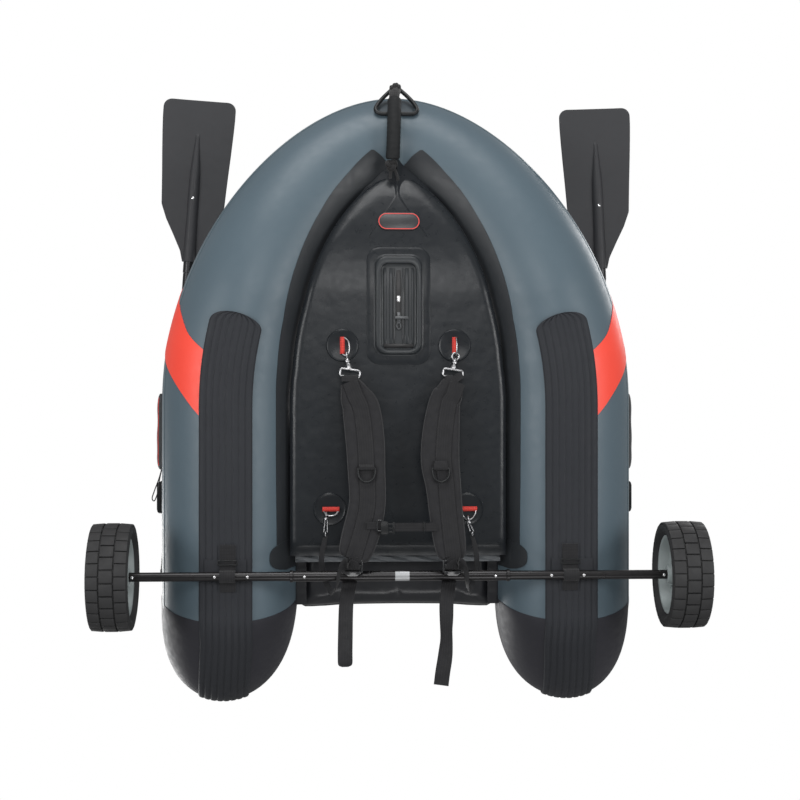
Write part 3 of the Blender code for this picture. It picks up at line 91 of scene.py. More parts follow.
@dataclass(frozen=True)
class Finish:
    """One finish: its colours, its gloss and the detail of its surface."""

    name: str
    slot: str
    colour: tuple[float, float, float]
    second: tuple[float, float, float]
    roughness: tuple[float, float]
    pattern: Pattern
    scale: float = 1.0
    depth: float = 0.0002
    metallic: float = 0.0
    coat: float = 0.0
    sheen: float = 0.0
    specular: float = 0.5

    def build(self) -> bpy.types.Material:
        """Return the finish as a node material, made on first use.

        Returns:
            The material.
        """
        found = bpy.data.materials.get(self.name)
        if found:
            return found
        made = bpy.data.materials.new(self.name)
        made.use_nodes = True
        tree = made.node_tree
        shader = tree.nodes["Principled BSDF"]
        shader.inputs["Metallic"].default_value = self.metallic
        shader.inputs["Coat Weight"].default_value = self.coat
        shader.inputs["Specular IOR Level"].default_value = self.specular
        shader.inputs["Coat Roughness"].default_value = 0.12
        shader.inputs["Sheen Weight"].default_value = self.sheen
        shader.inputs["Sheen Roughness"].default_value = 0.5
        coords = tree.nodes.new("ShaderNodeTexCoord")
        clouds = self._noise(tree, coords.outputs["Object"], 7.0, 4.0)
        mix = tree.nodes.new("ShaderNodeMix")
        mix.data_type = "RGBA"
        mix.inputs["A"].default_value = (*self.colour, 1.0)
        mix.inputs["B"].default_value = (*self.second, 1.0)
        tree.links.new(clouds, mix.inputs["Factor"])
        gloss = tree.nodes.new("ShaderNodeMapRange")
        gloss.inputs["From Min"].default_value = 0.3
        gloss.inputs["From Max"].default_value = 0.7
        gloss.inputs["To Min"].default_value, gloss.inputs["To Max"].default_value = self.roughness
        fine = self._noise(tree, coords.outputs["Object"], 60.0 * self.scale, 3.0)
        tree.links.new(fine, gloss.inputs["Value"])
        tree.links.new(gloss.outputs["Result"], shader.inputs["Roughness"])
        height, colour = self._detail(tree, coords, mix.outputs["Result"], clouds)
        tree.links.new(colour, shader.inputs["Base Color"])
        bump = tree.nodes.new("ShaderNodeBump")
        bump.inputs["Distance"].default_value = self.depth
        bump.inputs["Strength"].default_value = 1.0
        tree.links.new(height, bump.inputs["Height"])
        tree.links.new(bump.outputs["Normal"], shader.inputs["Normal"])
        return made

    def _noise(self, tree: bpy.types.NodeTree, vector: bpy.types.NodeSocket, scale: float,
               detail: float) -> bpy.types.NodeSocket:
        """Add a noise of the given scale and return its value.

        Args:
            tree: the material's nodes.
            vector: the place that it is read at.
            scale: how fine it is.
            detail: how many finer layers it has.

        Returns:
            The value's socket.
        """
        noise = tree.nodes.new("ShaderNodeTexNoise")
        noise.inputs["Scale"].default_value = scale
        noise.inputs["Detail"].default_value = detail
        tree.links.new(vector, noise.inputs["Vector"])
        return noise.outputs["Fac"]

    def _math(self, tree: bpy.types.NodeTree, kind: str, first: bpy.types.NodeSocket,
              second: bpy.types.NodeSocket | float) -> bpy.types.NodeSocket:
        """Add a sum between two values, or a value and a number, and return its result.

        Args:
            tree: the material's nodes.
            kind: the operation.
            first: the first value.
            second: the second value, or a plain number.

        Returns:
            The result's socket.
        """
        node = tree.nodes.new("ShaderNodeMath")
        node.operation = kind
        tree.links.new(first, node.inputs[0])
        if isinstance(second, (int, float)):
            node.inputs[1].default_value = second
        else:
            tree.links.new(second, node.inputs[1])
        return node.outputs[0]

    def _wave(self, tree: bpy.types.NodeTree, vector: bpy.types.NodeSocket, scale: float,
              direction: str) -> bpy.types.NodeSocket:
        """Add a band wave with the given number of bands to 20 units and return its value.

        Args:
            tree: the material's nodes.
            vector: the place that it is read at.
            scale: how close the bands are.
            direction: the axis that they follow each other along.

        Returns:
            The value's socket.
        """
        wave = tree.nodes.new("ShaderNodeTexWave")
        wave.bands_direction = direction
        wave.inputs["Scale"].default_value = scale
        tree.links.new(vector, wave.inputs["Vector"])
        return wave.outputs["Fac"]

    def _detail(self, tree: bpy.types.NodeTree, coords: bpy.types.Node, colour: bpy.types.NodeSocket,
                clouds: bpy.types.NodeSocket) -> tuple[bpy.types.NodeSocket, bpy.types.NodeSocket]:
        """Add the pattern's relief.

        Args:
            tree: the material's nodes.
            coords: its texture coordinates.
            colour: the mottled colour so far.
            clouds: the slow noise that mottles it.

        Returns:
            The relief's height and the colour with the pattern in it; woven cloth and webbing are darkened
            between their threads as painted shade.
        """
        by_object = coords.outputs["Object"]
        by_cloth = coords.outputs["UV"]
        if self.pattern in (Pattern.WOVEN, Pattern.WEBBING):
            warp = self._wave(tree, by_cloth, 160.0 * self.scale, "X")
            weft_scale = 160.0 if self.pattern is Pattern.WOVEN else 90.0
            weft = self._wave(tree, by_cloth, weft_scale * self.scale, "Y")
            threads = self._math(tree, "MULTIPLY", warp, weft)
            fibres = self._noise(tree, by_object, 900.0, 2.0)
            height = self._math(tree, "ADD", threads, self._math(tree, "MULTIPLY", fibres, 0.35))
            # painted shade: the low places between the threads are darkened, standing for the shade in the
            # weave's gaps
            shade = tree.nodes.new("ShaderNodeMix")
            shade.data_type = "RGBA"
            shade.inputs["B"].default_value = (*[c * 0.45 for c in self.colour], 1.0)
            tree.links.new(colour, shade.inputs["A"])
            dark = self._math(tree, "MULTIPLY", self._math(tree, "SUBTRACT", threads, 1.0), -0.5)
            tree.links.new(dark, shade.inputs["Factor"])
            return height, shade.outputs["Result"]
        if self.pattern is Pattern.COATED:
            print_through = self._noise(tree, by_object, 1400.0 * self.scale, 2.0)
            swell = self._noise(tree, by_object, 16.0, 2.0)
            height = self._math(tree, "ADD", self._math(tree, "MULTIPLY", print_through, 0.05),
                                self._math(tree, "MULTIPLY", swell, 3.0))
            return height, colour
        if self.pattern is Pattern.METAL:
            return self._noise(tree, by_object, 700.0 * self.scale, 2.0), colour
        if self.pattern is Pattern.RUBBER:
            grit = self._noise(tree, by_object, 420.0 * self.scale, 5.0)
            return self._math(tree, "ADD", grit, clouds), colour
        grain = self._noise(tree, by_object, 1000.0 * self.scale, 3.0)
        return grain, colour


CHAMBER = Finish("coated cloth, blue grey", "chamber_grey", (0.084, 0.120, 0.146), (0.096, 0.134, 0.160),
                 (0.36, 0.46), Pattern.COATED, depth=0.0004, specular=0.38)
TAPE_GREY = Finish("welded tape, blue grey", "chamber_grey", (0.098, 0.138, 0.162), (0.110, 0.150, 0.175),
                   (0.36, 0.46), Pattern.COATED, depth=0.0003, specular=0.38)
CHARCOAL = Finish("coated cloth, charcoal", "charcoal", (0.032, 0.032, 0.038), (0.040, 0.040, 0.047),
                  (0.44, 0.56), Pattern.COATED, depth=0.0004, specular=0.14)
TAPE_DARK = Finish("welded flange, dark grey", "charcoal", (0.022, 0.025, 0.028), (0.030, 0.033, 0.037),
                   (0.34, 0.44), Pattern.COATED, depth=0.0004, specular=0.3)
STRIP = Finish("ribbed rubber strip", "strip_black", (0.026, 0.028, 0.033), (0.034, 0.036, 0.041),
               (0.50, 0.64), Pattern.RUBBER, depth=0.00012, specular=0.16)
FLOOR = Finish("glossy coated cloth, black", "floor_black", (0.012, 0.014, 0.017), (0.018, 0.021, 0.024),
               (0.26, 0.36), Pattern.COATED, depth=0.0007, coat=0.05, specular=0.28)
ORANGE = Finish("printed panel, orange red", "chamber_grey", (0.96, 0.064, 0.036), (1.0, 0.085, 0.050),
                (0.40, 0.50), Pattern.COATED, depth=0.0003)
RED_WEBBING = Finish("red webbing", "tab_red", (0.78, 0.035, 0.022), (0.86, 0.055, 0.035), (0.55, 0.70),
                     Pattern.WEBBING, depth=0.0002, sheen=0.2)
BLACK_WEBBING = Finish("black webbing", "webbing_black", (0.015, 0.015, 0.017), (0.022, 0.022, 0.024),
                       (0.60, 0.78), Pattern.WEBBING, depth=0.00022, sheen=0.12, specular=0.25)
PAD_CLOTH = Finish("black pack cloth", "pad_black", (0.017, 0.017, 0.019), (0.024, 0.024, 0.027),
                   (0.62, 0.80), Pattern.WOVEN, scale=1.2, depth=0.00018, sheen=0.12, specular=0.25)
SEAT_CLOTH = Finish("black seat cloth", "seat_black", (0.014, 0.015, 0.018), (0.021, 0.022, 0.025),
                    (0.28, 0.38), Pattern.COATED, depth=0.0008, coat=0.08, specular=0.4)
DECK_CLOTH = Finish("grey deck cloth", "deck_grey", (0.19, 0.20, 0.21), (0.24, 0.25, 0.26), (0.60, 0.80),
                    Pattern.WOVEN, scale=0.7, depth=0.0003, sheen=0.2)
BAG_CLOTH = Finish("charcoal bag cloth", "webbing_black", (0.040, 0.042, 0.046), (0.052, 0.054, 0.058),
                   (0.60, 0.78), Pattern.WOVEN, scale=0.8, depth=0.0003, sheen=0.25)
MOULDED = Finish("moulded black plastic", "moulded_black", (0.011, 0.012, 0.013), (0.016, 0.017, 0.018),
                 (0.32, 0.42), Pattern.MOULDED, depth=0.00005, specular=0.28)
ACETAL = Finish("glossy black buckle plastic", "moulded_black", (0.018, 0.019, 0.021), (0.025, 0.026, 0.028),
                (0.16, 0.26), Pattern.MOULDED, depth=0.00005, coat=0.2)
ANODISED = Finish("black anodised tube", "axle_black", (0.016, 0.015, 0.016), (0.022, 0.021, 0.022),
                  (0.26, 0.36), Pattern.METAL, depth=0.00003, metallic=0.6, coat=0.2)
BRIGHT = Finish("bright plated steel", "steel", (0.70, 0.70, 0.71), (0.78, 0.78, 0.79), (0.14, 0.26),
                Pattern.METAL, depth=0.00003, metallic=1.0)
TYRE = Finish("tyre rubber", "tyre_black", (0.018, 0.018, 0.019), (0.027, 0.027, 0.028), (0.62, 0.78),
              Pattern.RUBBER, depth=0.0002)
HUB = Finish("moulded grey hub", "hub_grey", (0.29, 0.33, 0.33), (0.34, 0.38, 0.38), (0.40, 0.52),
             Pattern.MOULDED, depth=0.00006)
OAR_PLASTIC = Finish("moulded oar plastic", "oar_grey", (0.036, 0.037, 0.040), (0.045, 0.046, 0.050),
                     (0.46, 0.58), Pattern.MOULDED, depth=0.00010, specular=0.3)
OAR_METAL = Finish("black oar tube", "oar_black", (0.022, 0.022, 0.024), (0.028, 0.028, 0.030),
                   (0.28, 0.38), Pattern.METAL, depth=0.00003, metallic=0.5)
BADGE_BLACK = Finish("badge ground", "moulded_black", (0.030, 0.031, 0.034), (0.036, 0.037, 0.040),
                     (0.30, 0.40), Pattern.MOULDED, depth=0.00004)
BADGE_RED = Finish("badge line", "tab_red", (0.62, 0.055, 0.050), (0.70, 0.075, 0.065), (0.35, 0.45),
                   Pattern.MOULDED, depth=0.00004)
GRIP_FOAM = Finish("dense grip foam", "moulded_black", (0.011, 0.012, 0.013), (0.016, 0.017, 0.018),
                   (0.66, 0.82), Pattern.RUBBER, depth=0.0002, specular=0.28)
BRIGHT_LABEL = Finish("plain label", "steel", (0.34, 0.35, 0.36), (0.42, 0.43, 0.44), (0.30, 0.45),
                      Pattern.MOULDED, depth=0.00004, metallic=0.3)
THREAD = Finish("polyester thread", "webbing_black", (0.026, 0.026, 0.028),
                (0.034, 0.034, 0.036), (0.50, 0.65), Pattern.MOULDED, depth=0.00003, specular=0.3)
CORD = Finish("braided cord", "webbing_black", (0.010, 0.010, 0.011), (0.017, 0.017, 0.018), (0.55, 0.70),
              Pattern.WOVEN, scale=1.0, depth=0.00025, sheen=0.2, specular=0.28)
FLEXIBLE = Finish("flexible dark plastic", "moulded_black", (0.022, 0.025, 0.028), (0.032, 0.036, 0.039),
                (0.30, 0.42), Pattern.MOULDED, scale=0.3, depth=0.00012, specular=0.35)
LATCH = Finish("dark cast latch", "steel", (0.060, 0.064, 0.068), (0.080, 0.084, 0.088), (0.24, 0.36),
               Pattern.METAL, depth=0.00004, metallic=0.4)
NOSE_PATCH = Finish("nose patch, dark blue grey", "charcoal", (0.045, 0.058, 0.068), (0.055, 0.069, 0.080),
                    (0.38, 0.48), Pattern.COATED, depth=0.0003, specular=0.35)
# painted shade: near black, standing for the shadow down in the base's slot and at the recess's stern end
RECESS_SHADE = Finish("slot in shadow", "moulded_black", (0.006, 0.006, 0.007), (0.009, 0.009, 0.010),
                (0.30, 0.45), Pattern.MOULDED, depth=0.00005)
ZINC = Finish("zinc plated hook", "steel", (0.40, 0.40, 0.41), (0.50, 0.50, 0.51), (0.24, 0.38),
              Pattern.METAL, depth=0.00004, metallic=1.0)
PIPING = Finish("black piping", "webbing_black", (0.026, 0.026, 0.028), (0.034, 0.034, 0.036), (0.45, 0.60),
                Pattern.RUBBER, depth=0.00006, specular=0.35)
RED_PIPING = Finish("red piping", "tab_red", (0.62, 0.040, 0.032), (0.70, 0.055, 0.042), (0.45, 0.60),
                    Pattern.RUBBER, depth=0.00006)
HEM = Finish("grey hem, creased", "deck_grey", (0.078, 0.086, 0.094), (0.100, 0.108, 0.115), (0.40, 0.55),
             Pattern.COATED, depth=0.0006)


def skin(rows: Sequence[Row], loop: bool = True, ring: bool = False, caps: bool = True) -> bmesh.types.BMesh:
    """Lay a grid over rows of points, with its UV map in metres.

    Args:
        rows: the rows, each with the same number of points.
        loop: whether the last point of a row joins its first.
        ring: whether the last row joins the first.
        caps: whether open ends are filled.

    Returns:
        The mesh, with its faces pointing out where it is closed.
    """
    across = len(rows[0])
    wide = across if loop else across - 1
    long = len(rows) if ring else len(rows) - 1
    middle = [row[across // 2] for row in rows]
    length = sum((b - a).length for a, b in zip(middle, middle[1:]))
    widest = rows[len(rows) // 2]
    girth = sum((b - a).length for a, b in zip(widest, widest[1:]))
    bm = bmesh.new()
    uv = bm.loops.layers.uv.new("UVMap")
    bmesh.ops.create_grid(bm, x_segments=long, y_segments=wide, size=0.5, calc_uvs=True)
    for face in bm.faces:
        for corner in face.loops:
            place = corner[uv].uv
            corner[uv].uv = (place.x * length, place.y * girth)
    for vert in bm.verts:
        i = round((vert.co.x + 0.5) * long) % len(rows)
        j = round((vert.co.y + 0.5) * wide) % across
        vert.co = rows[i][j]
    bmesh.ops.remove_doubles(bm, verts=bm.verts, dist=1e-7)
    if caps:
        bmesh.ops.holes_fill(bm, edges=[edge for edge in bm.edges if edge.is_boundary])
    bmesh.ops.recalc_face_normals(bm, faces=bm.faces)
    return bm


def turned(profile: Outline, centre: Vector, axis: Vector, steps: int = 64) -> bmesh.types.BMesh:
    """Spin a profile of (radius, along) pairs about an axis through centre.

    Args:
        profile: the (radius, along) pairs.
        centre: the point where along is 0.
        axis: the direction of the axis.
        steps: the number of facets round it.

    Returns:
        The spun mesh.
    """
    axis = axis.normalized()
    helper = Vector((0, 0, 1)) if abs(axis.z) < 0.9 else Vector((0, 1, 0))
    spoke = axis.cross(helper).normalized()
    bm = bmesh.new()
    verts = [bm.verts.new(centre + spoke * r + axis * a) for r, a in profile]
    edges = [bm.edges.new(pair) for pair in zip(verts, verts[1:])]
    bmesh.ops.spin(bm, geom=verts + edges, cent=centre, axis=axis, steps=steps,
                   angle=FULL_TURN, use_merge=True)
    bmesh.ops.remove_doubles(bm, verts=bm.verts, dist=1e-6)
    bmesh.ops.recalc_face_normals(bm, faces=bm.faces)
    return bm


def block(low: Sequence[float], high: Sequence[float], bevel: float = 0.001,
          segments: int = 3) -> bmesh.types.BMesh:
    """Return a box between two corners with rounded edges.

    Args:
        low: its lowest corner.
        high: its highest corner.
        bevel: the size of its rounded edges.
        segments: the number of facets across an edge.

    Returns:
        The box.
    """
    low, high = Vector(low), Vector(high)
    bm = bmesh.new()
    bmesh.ops.create_cube(bm, size=1.0)
    bmesh.ops.scale(bm, vec=high - low, verts=bm.verts)
    bmesh.ops.translate(bm, vec=(low + high) / 2, verts=bm.verts)
    bmesh.ops.bevel(bm, geom=bm.edges[:], offset=bevel, segments=segments, profile=0.5, affect="EDGES",
                    material=-1)
    return bm


def around(count: int) -> list[float]:
    """Return the angles of evenly spaced points round a full turn."""
    return [FULL_TURN * n / count for n in range(count)]


def dome(centre: Vector, axis: Vector, radius: float, height: float, steps: int = 20) -> bmesh.types.BMesh:
    """Return a domed rivet or button head on a surface."""
    arc = [(radius * math.cos(a), height * math.sin(a)) for a in (math.pi / 2 * k / 5 for k in range(6))]
    return turned([(radius, -0.001), *arc], centre, axis, steps)


def joined(*meshes: bmesh.types.BMesh) -> bmesh.types.BMesh:
    """Return the first mesh with the others added to it.

    Args:
        *meshes: the meshes; all but the first are freed.

    Returns:
        The first mesh.
    """
    base = meshes[0]
    for other in meshes[1:]:
        spare = bpy.data.meshes.new("spare")
        other.to_mesh(spare)
        base.from_mesh(spare)
        bpy.data.meshes.remove(spare)
        other.free()
    return base


def moved(bm: bmesh.types.BMesh, matrix: Matrix) -> bmesh.types.BMesh:
    """Return the mesh after a transform, its faces turned back if it was mirrored.

    Args:
        bm: the mesh, which is changed.
        matrix: the transform.

    Returns:
        The same mesh.
    """
    bmesh.ops.transform(bm, matrix=matrix, verts=bm.verts)
    if matrix.determinant() < 0:
        bmesh.ops.reverse_faces(bm, faces=bm.faces)
    return bm


def spline(points: Sequence[Sequence[float]], share: float) -> list[float]:
    """Return the values at a share of a smooth curve through lists of values.

    Args:
        points: the lists, spaced evenly along the curve.
        share: 0 at the first list and 1 at the last.

    Returns:
        One value for each column of the lists.
    """
    spans = len(points) - 1
    place = min(max(share, 0.0) * spans, spans - 1e-9)
    k = int(place)
    t = place - k
    near = [points[max(k - 1, 0)], points[k], points[k + 1], points[min(k + 2, spans)]]
    values = []
    for a, b, c, d in zip(*near):
        square = 2 * a - 5 * b + 4 * c - d
        cube = 3 * b - a - 3 * c + d
        values.append(0.5 * (2 * b + (c - a) * t + square * t**2 + cube * t**3))
    return values


def eased(value: float, low: float, high: float) -> float:
    """Return 0 below low and 1 above high, with a smooth rise between."""
    share = min(1.0, max(0.0, (value - low) / (high - low)))
    return share * share * (3 - 2 * share)


def bar(points: Sequence[Vector], radius: float, sides: int = 12, ring: bool = False) -> bmesh.types.BMesh:
    """Return a round bar or cord that follows points.

    Args:
        points: the bar's centreline.
        radius: its radius.
        sides: the number of sides round it.
        ring: whether the last point joins the first.

    Returns:
        The bar's mesh.
    """
    count = len(points)
    rows = []
    across = None
    for k, point in enumerate(points):
        before = points[k - 1] if ring or k else point
        after = points[(k + 1) % count] if ring or k < count - 1 else point
        along = (after - before).normalized()
        if across is None:
            helper = Vector((0, 0, 1)) if abs(along.z) < 0.8 else Vector((1, 0, 0))
            across = along.cross(helper).normalized()
        across = (across - along * across.dot(along)).normalized()
        other = along.cross(across)
        rows.append([point + (across * math.cos(a) + other * math.sin(a)) * radius
                     for a in around(sides)])
    return skin(rows, ring=ring, caps=not ring)


def rounded(corners: Sequence[Vector], radius: float, steps: int = 6) -> list[Vector]:
    """Return points round a polygon whose corners are rounded.

    Args:
        corners: the polygon's corners.
        radius: how far from a corner its rounding starts.
        steps: the number of steps round a corner.

    Returns:
        The points in order.
    """
    points = []
    count = len(corners)
    for k, corner in enumerate(corners):
        first = corner + (corners[k - 1] - corner).normalized() * radius
        last = corner + (corners[(k + 1) % count] - corner).normalized() * radius
        for n in range(steps + 1):
            t = n / steps
            points.append(first * (1 - t) ** 2 + corner * 2 * t * (1 - t) + last * t**2)
    return points


def ribbon(points: Sequence[Vector], across: Sequence[Vector], widths: Sequence[float],
           thickness: float) -> bmesh.types.BMesh:
    """Return a flat strap with rounded edges.

    Args:
        points: its centreline.
        across: the direction across it at each point.
        widths: its width at each point.
        thickness: its thickness.

    Returns:
        The strap's mesh.
    """
    section = ((-0.5, 0.2), (-0.47, 0.5), (-0.25, 0.5), (0, 0.5), (0.25, 0.5), (0.47, 0.5), (0.5, 0.2),
               (0.5, -0.2), (0.47, -0.5), (0.25, -0.5), (0, -0.5), (-0.25, -0.5), (-0.47, -0.5), (-0.5, -0.2))
    rows = []
    for k, (point, side, width) in enumerate(zip(points, across, widths)):
        along = (points[min(k + 1, len(points) - 1)] - points[max(k - 1, 0)]).normalized()
        side = (side - along * side.dot(along)).normalized()
        normal = along.cross(side)
        rows.append([point + side * width * s + normal * thickness * h for s, h in section])
    return skin(rows)


def stitches(points: Sequence[Vector], normal: Vector, pitch: float = 0.0042) -> bmesh.types.BMesh:
    """Return a row of thread stitches along a line.

    Args:
        points: the line that they follow.
        normal: the direction that they stand proud in.
        pitch: the distance from one stitch to the next.

    Returns:
        The stitches as one mesh.
    """
    bm = bmesh.new()
    walked = 0.0
    for start, end in zip(points, points[1:]):
        span = (end - start).length
        along = (end - start).normalized()
        while walked < span:
            middle = start + along * walked
            side = along.cross(normal).normalized()
            turn = Matrix((along, side, side.cross(along))).transposed().to_4x4()
            size = Matrix.Diagonal((pitch * 0.62, 0.0008, 0.0006, 1))
            bmesh.ops.create_cube(bm, size=1.0, matrix=Matrix.Translation(middle) @ turn @ size)
            walked += pitch
        walked -= span
    return bm


def rounded_frame(half_x: float, half_y: float, corner: float, middle: float, along: int = 12,
                  turn: int = 7) -> Outline:
    """Return points round a rounded rectangle, with its straight sides divided.

    Args:
        half_x: half its width.
        half_y: half its length.
        corner: the radius of its corners.
        middle: the y of its centre.
        along: the number of steps on a straight side.
        turn: the number of steps round a corner.

    Returns:
        The (x, y) pairs in order.
    """
    arcs = []
    for quarter, (sx, sy) in enumerate(((1, 1), (-1, 1), (-1, -1), (1, -1))):
        turns = [math.pi / 2 * (quarter + n / turn) for n in range(turn + 1)]
        arcs.append([(sx * (half_x - corner) + corner * math.cos(a),
                      middle + sy * (half_y - corner) + corner * math.sin(a)) for a in turns])
    points = []
    for k, arc in enumerate(arcs):
        points += arc
        (x0, y0), (x1, y1) = arc[-1], arcs[(k + 1) % 4][0]
        points += [(x0 + (x1 - x0) * n / along, y0 + (y1 - y0) * n / along) for n in range(1, along)]
    return points


@dataclass(frozen=True)
class Station:
    """One cross-section of a pontoon: its centre, two directions and its radius."""

    centre: Vector
    side: Vector
    up: Vector
    radius: float

    def at(self, degrees: float, lift: float = 0.0) -> Vector:
        """Return the point at an angle round the section, from outboard towards the deck.

        Args:
            degrees: the angle, 0 outboard and 90 towards the deck.
            lift: how far the point stands off the skin.

        Returns:
            The point.
        """
        angle = math.radians(degrees)
        spoke = self.side * math.cos(angle) + self.up * math.sin(angle)
        return self.centre + spoke * (self.radius + lift)


@dataclass(frozen=True)
class HullForm:
    """The form of the starboard pontoon, in the hull's frame."""

    tube_radius: float = 0.168
    bow_radius: float = 0.135
    half_spacing: float = 0.417
    stern_joint_y: float = -0.500
    curve_start_y: float = -0.023
    bow_y: float = 0.638
    side_handle: float = 0.381
    bow_handle: float = 0.167
    taper_start_y: float = 0.100
    bow_rise: float = 0.115
    rise_start_y: float = 0.260
    rise_power: float = 1.6
    cone_sweep: float = math.radians(33)
    cone_length: float = 0.282
    cone_splay: float = 0.022
    cone_bluntness: float = 2.5

    @property
    def stern(self) -> float:
        """Return the station number of the stern joint."""
        return self.stern_joint_y - self.curve_start_y

    def rise(self, y: float) -> float:
        """Return how far the upturned bow is lifted at y."""
        share = max(0.0, (y - self.rise_start_y) / (self.bow_y - self.rise_start_y))
        return self.bow_rise * share**self.rise_power

    def radius(self, y: float) -> float:
        """Return the chamber's radius at y."""
        share = min(1.0, max(0.0, (y - self.taper_start_y) / (self.bow_y - self.taper_start_y)))
        return self.tube_radius + (self.bow_radius - self.tube_radius) * share

    def station(self, s: float) -> Station:
        """Return the chamber's cross-section.

        Args:
            s: metres from the start of the bow curve where negative, and the share of that curve
                where positive.

        Returns:
            The section.
        """
        if s <= 0:
            y = self.curve_start_y + s
            slant = math.tan(self.cone_sweep / 2) * (1 - min(1.0, (y - self.stern_joint_y) / 0.2))
            return Station(Vector((self.half_spacing, y, 0)), Vector((1, 0, 0)), Vector((0, slant, 1)),
                           self.tube_radius)
        p0 = Vector((self.half_spacing, self.curve_start_y))
        p1 = Vector((self.half_spacing, self.curve_start_y + self.side_handle))
        p2 = Vector((self.bow_handle, self.bow_y))
        p3 = Vector((0.0, self.bow_y))
        t, r = s, 1 - s
        place = r**3 * p0 + 3 * r**2 * t * p1 + 3 * r * t**2 * p2 + t**3 * p3
        slope = (3 * r**2 * (p1 - p0) + 6 * r * t * (p2 - p1) + 3 * t**2 * (p3 - p2)).normalized()
        return Station(Vector((place.x, place.y, self.rise(place.y))), Vector((slope.y, -slope.x, 0)),
                       Vector((0, 0, 1)), self.radius(place.y))

    def share_at(self, y: float) -> float:
        """Return the station number whose centre lies at y.

        Args:
            y: the place fore and aft.

        Returns:
            The number, as station takes it.
        """
        if y <= self.curve_start_y:
            return y - self.curve_start_y
        low, high = 0.0, 1.0
        for _ in range(30):
            middle = (low + high) / 2
            if self.station(middle).centre.y < y:
                low = middle
            else:
                high = middle
        return low

    def cone(self, along: float) -> Station:
        """Return the stern cone's cross-section at a distance along its axis.

        Args:
            along: metres from the joint with the chamber.

        Returns:
            The section.
        """
        share = min(along / self.cone_length, 1.0)
        centre = Vector((self.half_spacing + self.cone_splay * share,
                         self.stern_joint_y - along * math.cos(self.cone_sweep),
                         along * math.sin(self.cone_sweep)))
        up = Vector((0, math.sin(self.cone_sweep), math.cos(self.cone_sweep)))
        radius = self.tube_radius * (1 - share**self.cone_bluntness) ** (1 / self.cone_bluntness)
        return Station(centre, Vector((1, 0, 0)), up, radius)

    def stations(self, low: float, high: float, step: float = 0.02) -> list[Station]:
        """Return even stations from one station number to another."""
        count = max(2, round((high - low) / step))
        return [self.station(low + (high - low) * k / count) for k in range(count + 1)]

    def gap(self, y: float, z: float) -> float:
        """Return the half width of the space between the pontoons at y and z.

        Args:
            y: the place fore and aft.
            z: the height.

        Returns:
            Half the width.
        """
        before = None
        for cut in self.stations(self.stern, 1.0, 0.02):
            drop = z - cut.centre.z
            if abs(drop) >= cut.radius:
                continue
            point = cut.centre - cut.side * math.sqrt(cut.radius**2 - drop**2)
            if before is not None and before.y <= y <= point.y:
                share = (y - before.y) / max(point.y - before.y, 1e-9)
                return before.x + (point.x - before.x) * share
            before = point
        return self.half_spacing - math.sqrt(self.tube_radius**2 - z**2)


HULL = HullForm()


def band(cuts: Sequence[Station], span: Callable[[int], tuple[float, float]], lift: float, thickness: float,
         steps: int = 8, relief: Callable[[float], float] | None = None) -> bmesh.types.BMesh:
    """Return a band of material laid on a pontoon.

    Args:
        cuts: the pontoon's sections that it crosses.
        span: gives its two edges in degrees at a section's number.
        lift: the gap under it.
        thickness: its own thickness.
        steps: the number of facets across it.
        relief: gives the extra height of its face at a share across it.

    Returns:
        The band's mesh.
    """
    rows = []
    for k, cut in enumerate(cuts):
        first, last = span(k)
        angles = [first + (last - first) * n / steps for n in range(steps + 1)]
        extra = [relief(n / steps) if relief else 0.0 for n in range(steps + 1)]
        outer = [cut.at(a, lift + thickness + e) for a, e in zip(angles, extra)]
        rows.append(outer + [cut.at(a, lift) for a in reversed(angles)])
    return skin(rows)


class Bench:
    """Lays meshes that were drawn in the hull's frame into the world, as pieces of the scene."""

    HUB_PLACE = Vector((0.681, -0.424, -0.189))

    def __init__(self) -> None:
        """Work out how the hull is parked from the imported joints."""
        joints = {joint["name"]: joint for joint in frame["record"]["behaviour"]["joints"]}
        up = Vector(joints["axle_button_press_starboard"]["axis"])
        turn = Matrix.Rotation(-math.atan2(up.y, up.z), 4, "X")
        hub = Vector(joints["wheel_spin_starboard"]["pos_m"])
        self.pose = Matrix.Translation(hub - turn.to_3x3() @ self.HUB_PLACE) @ turn
        self.count = 0

    def lay(self, name: str, bm: bmesh.types.BMesh, finish: Finish, body: str = "hull",
            stands_for: Iterable[str] = (), side: int = 1, sharp: float = 35.0) -> bpy.types.Object:
        """Make one piece of the scene.

        Args:
            name: the piece's name.
            bm: its mesh in the hull's frame, drawn for starboard. It is freed.
            finish: its finish.
            body: the body that it rides on.
            stands_for: the CAD nodes that it replaces.
            side: 1 as drawn, or -1 to mirror it to port.
            sharp: the angle in degrees past which an edge is shaded sharp.

        Returns:
            The piece.
        """
        if side < 0:
            moved(bm, Matrix.Diagonal((-1, 1, 1, 1)))
        moved(bm, self.pose)
        mesh = bpy.data.meshes.new(name)
        bm.to_mesh(mesh)
        bm.free()
        mesh.shade_smooth()
        mesh.set_sharp_from_angle(angle=math.radians(sharp))
        mesh.materials.append(finish.build())
        piece = bpy.data.objects.new(name, mesh)
        bpy.context.scene.collection.objects.link(piece)
        self.register(piece, body, stands_for)
        return piece

    def register(self, piece: bpy.types.Object, body: str, stands_for: Iterable[str] = ()) -> None:
        """Hang a piece on its body, hide the CAD nodes that it replaces, and count and log it.

        Args:
            piece: the piece.
            body: the body that it rides on.
            stands_for: the CAD nodes that it replaces.
        """
        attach(piece, body)
        nodes = tuple(stands_for)
        if nodes:
            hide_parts(*nodes)
        self.count += 1
        LOG.info("%s on %s", piece.name, body)


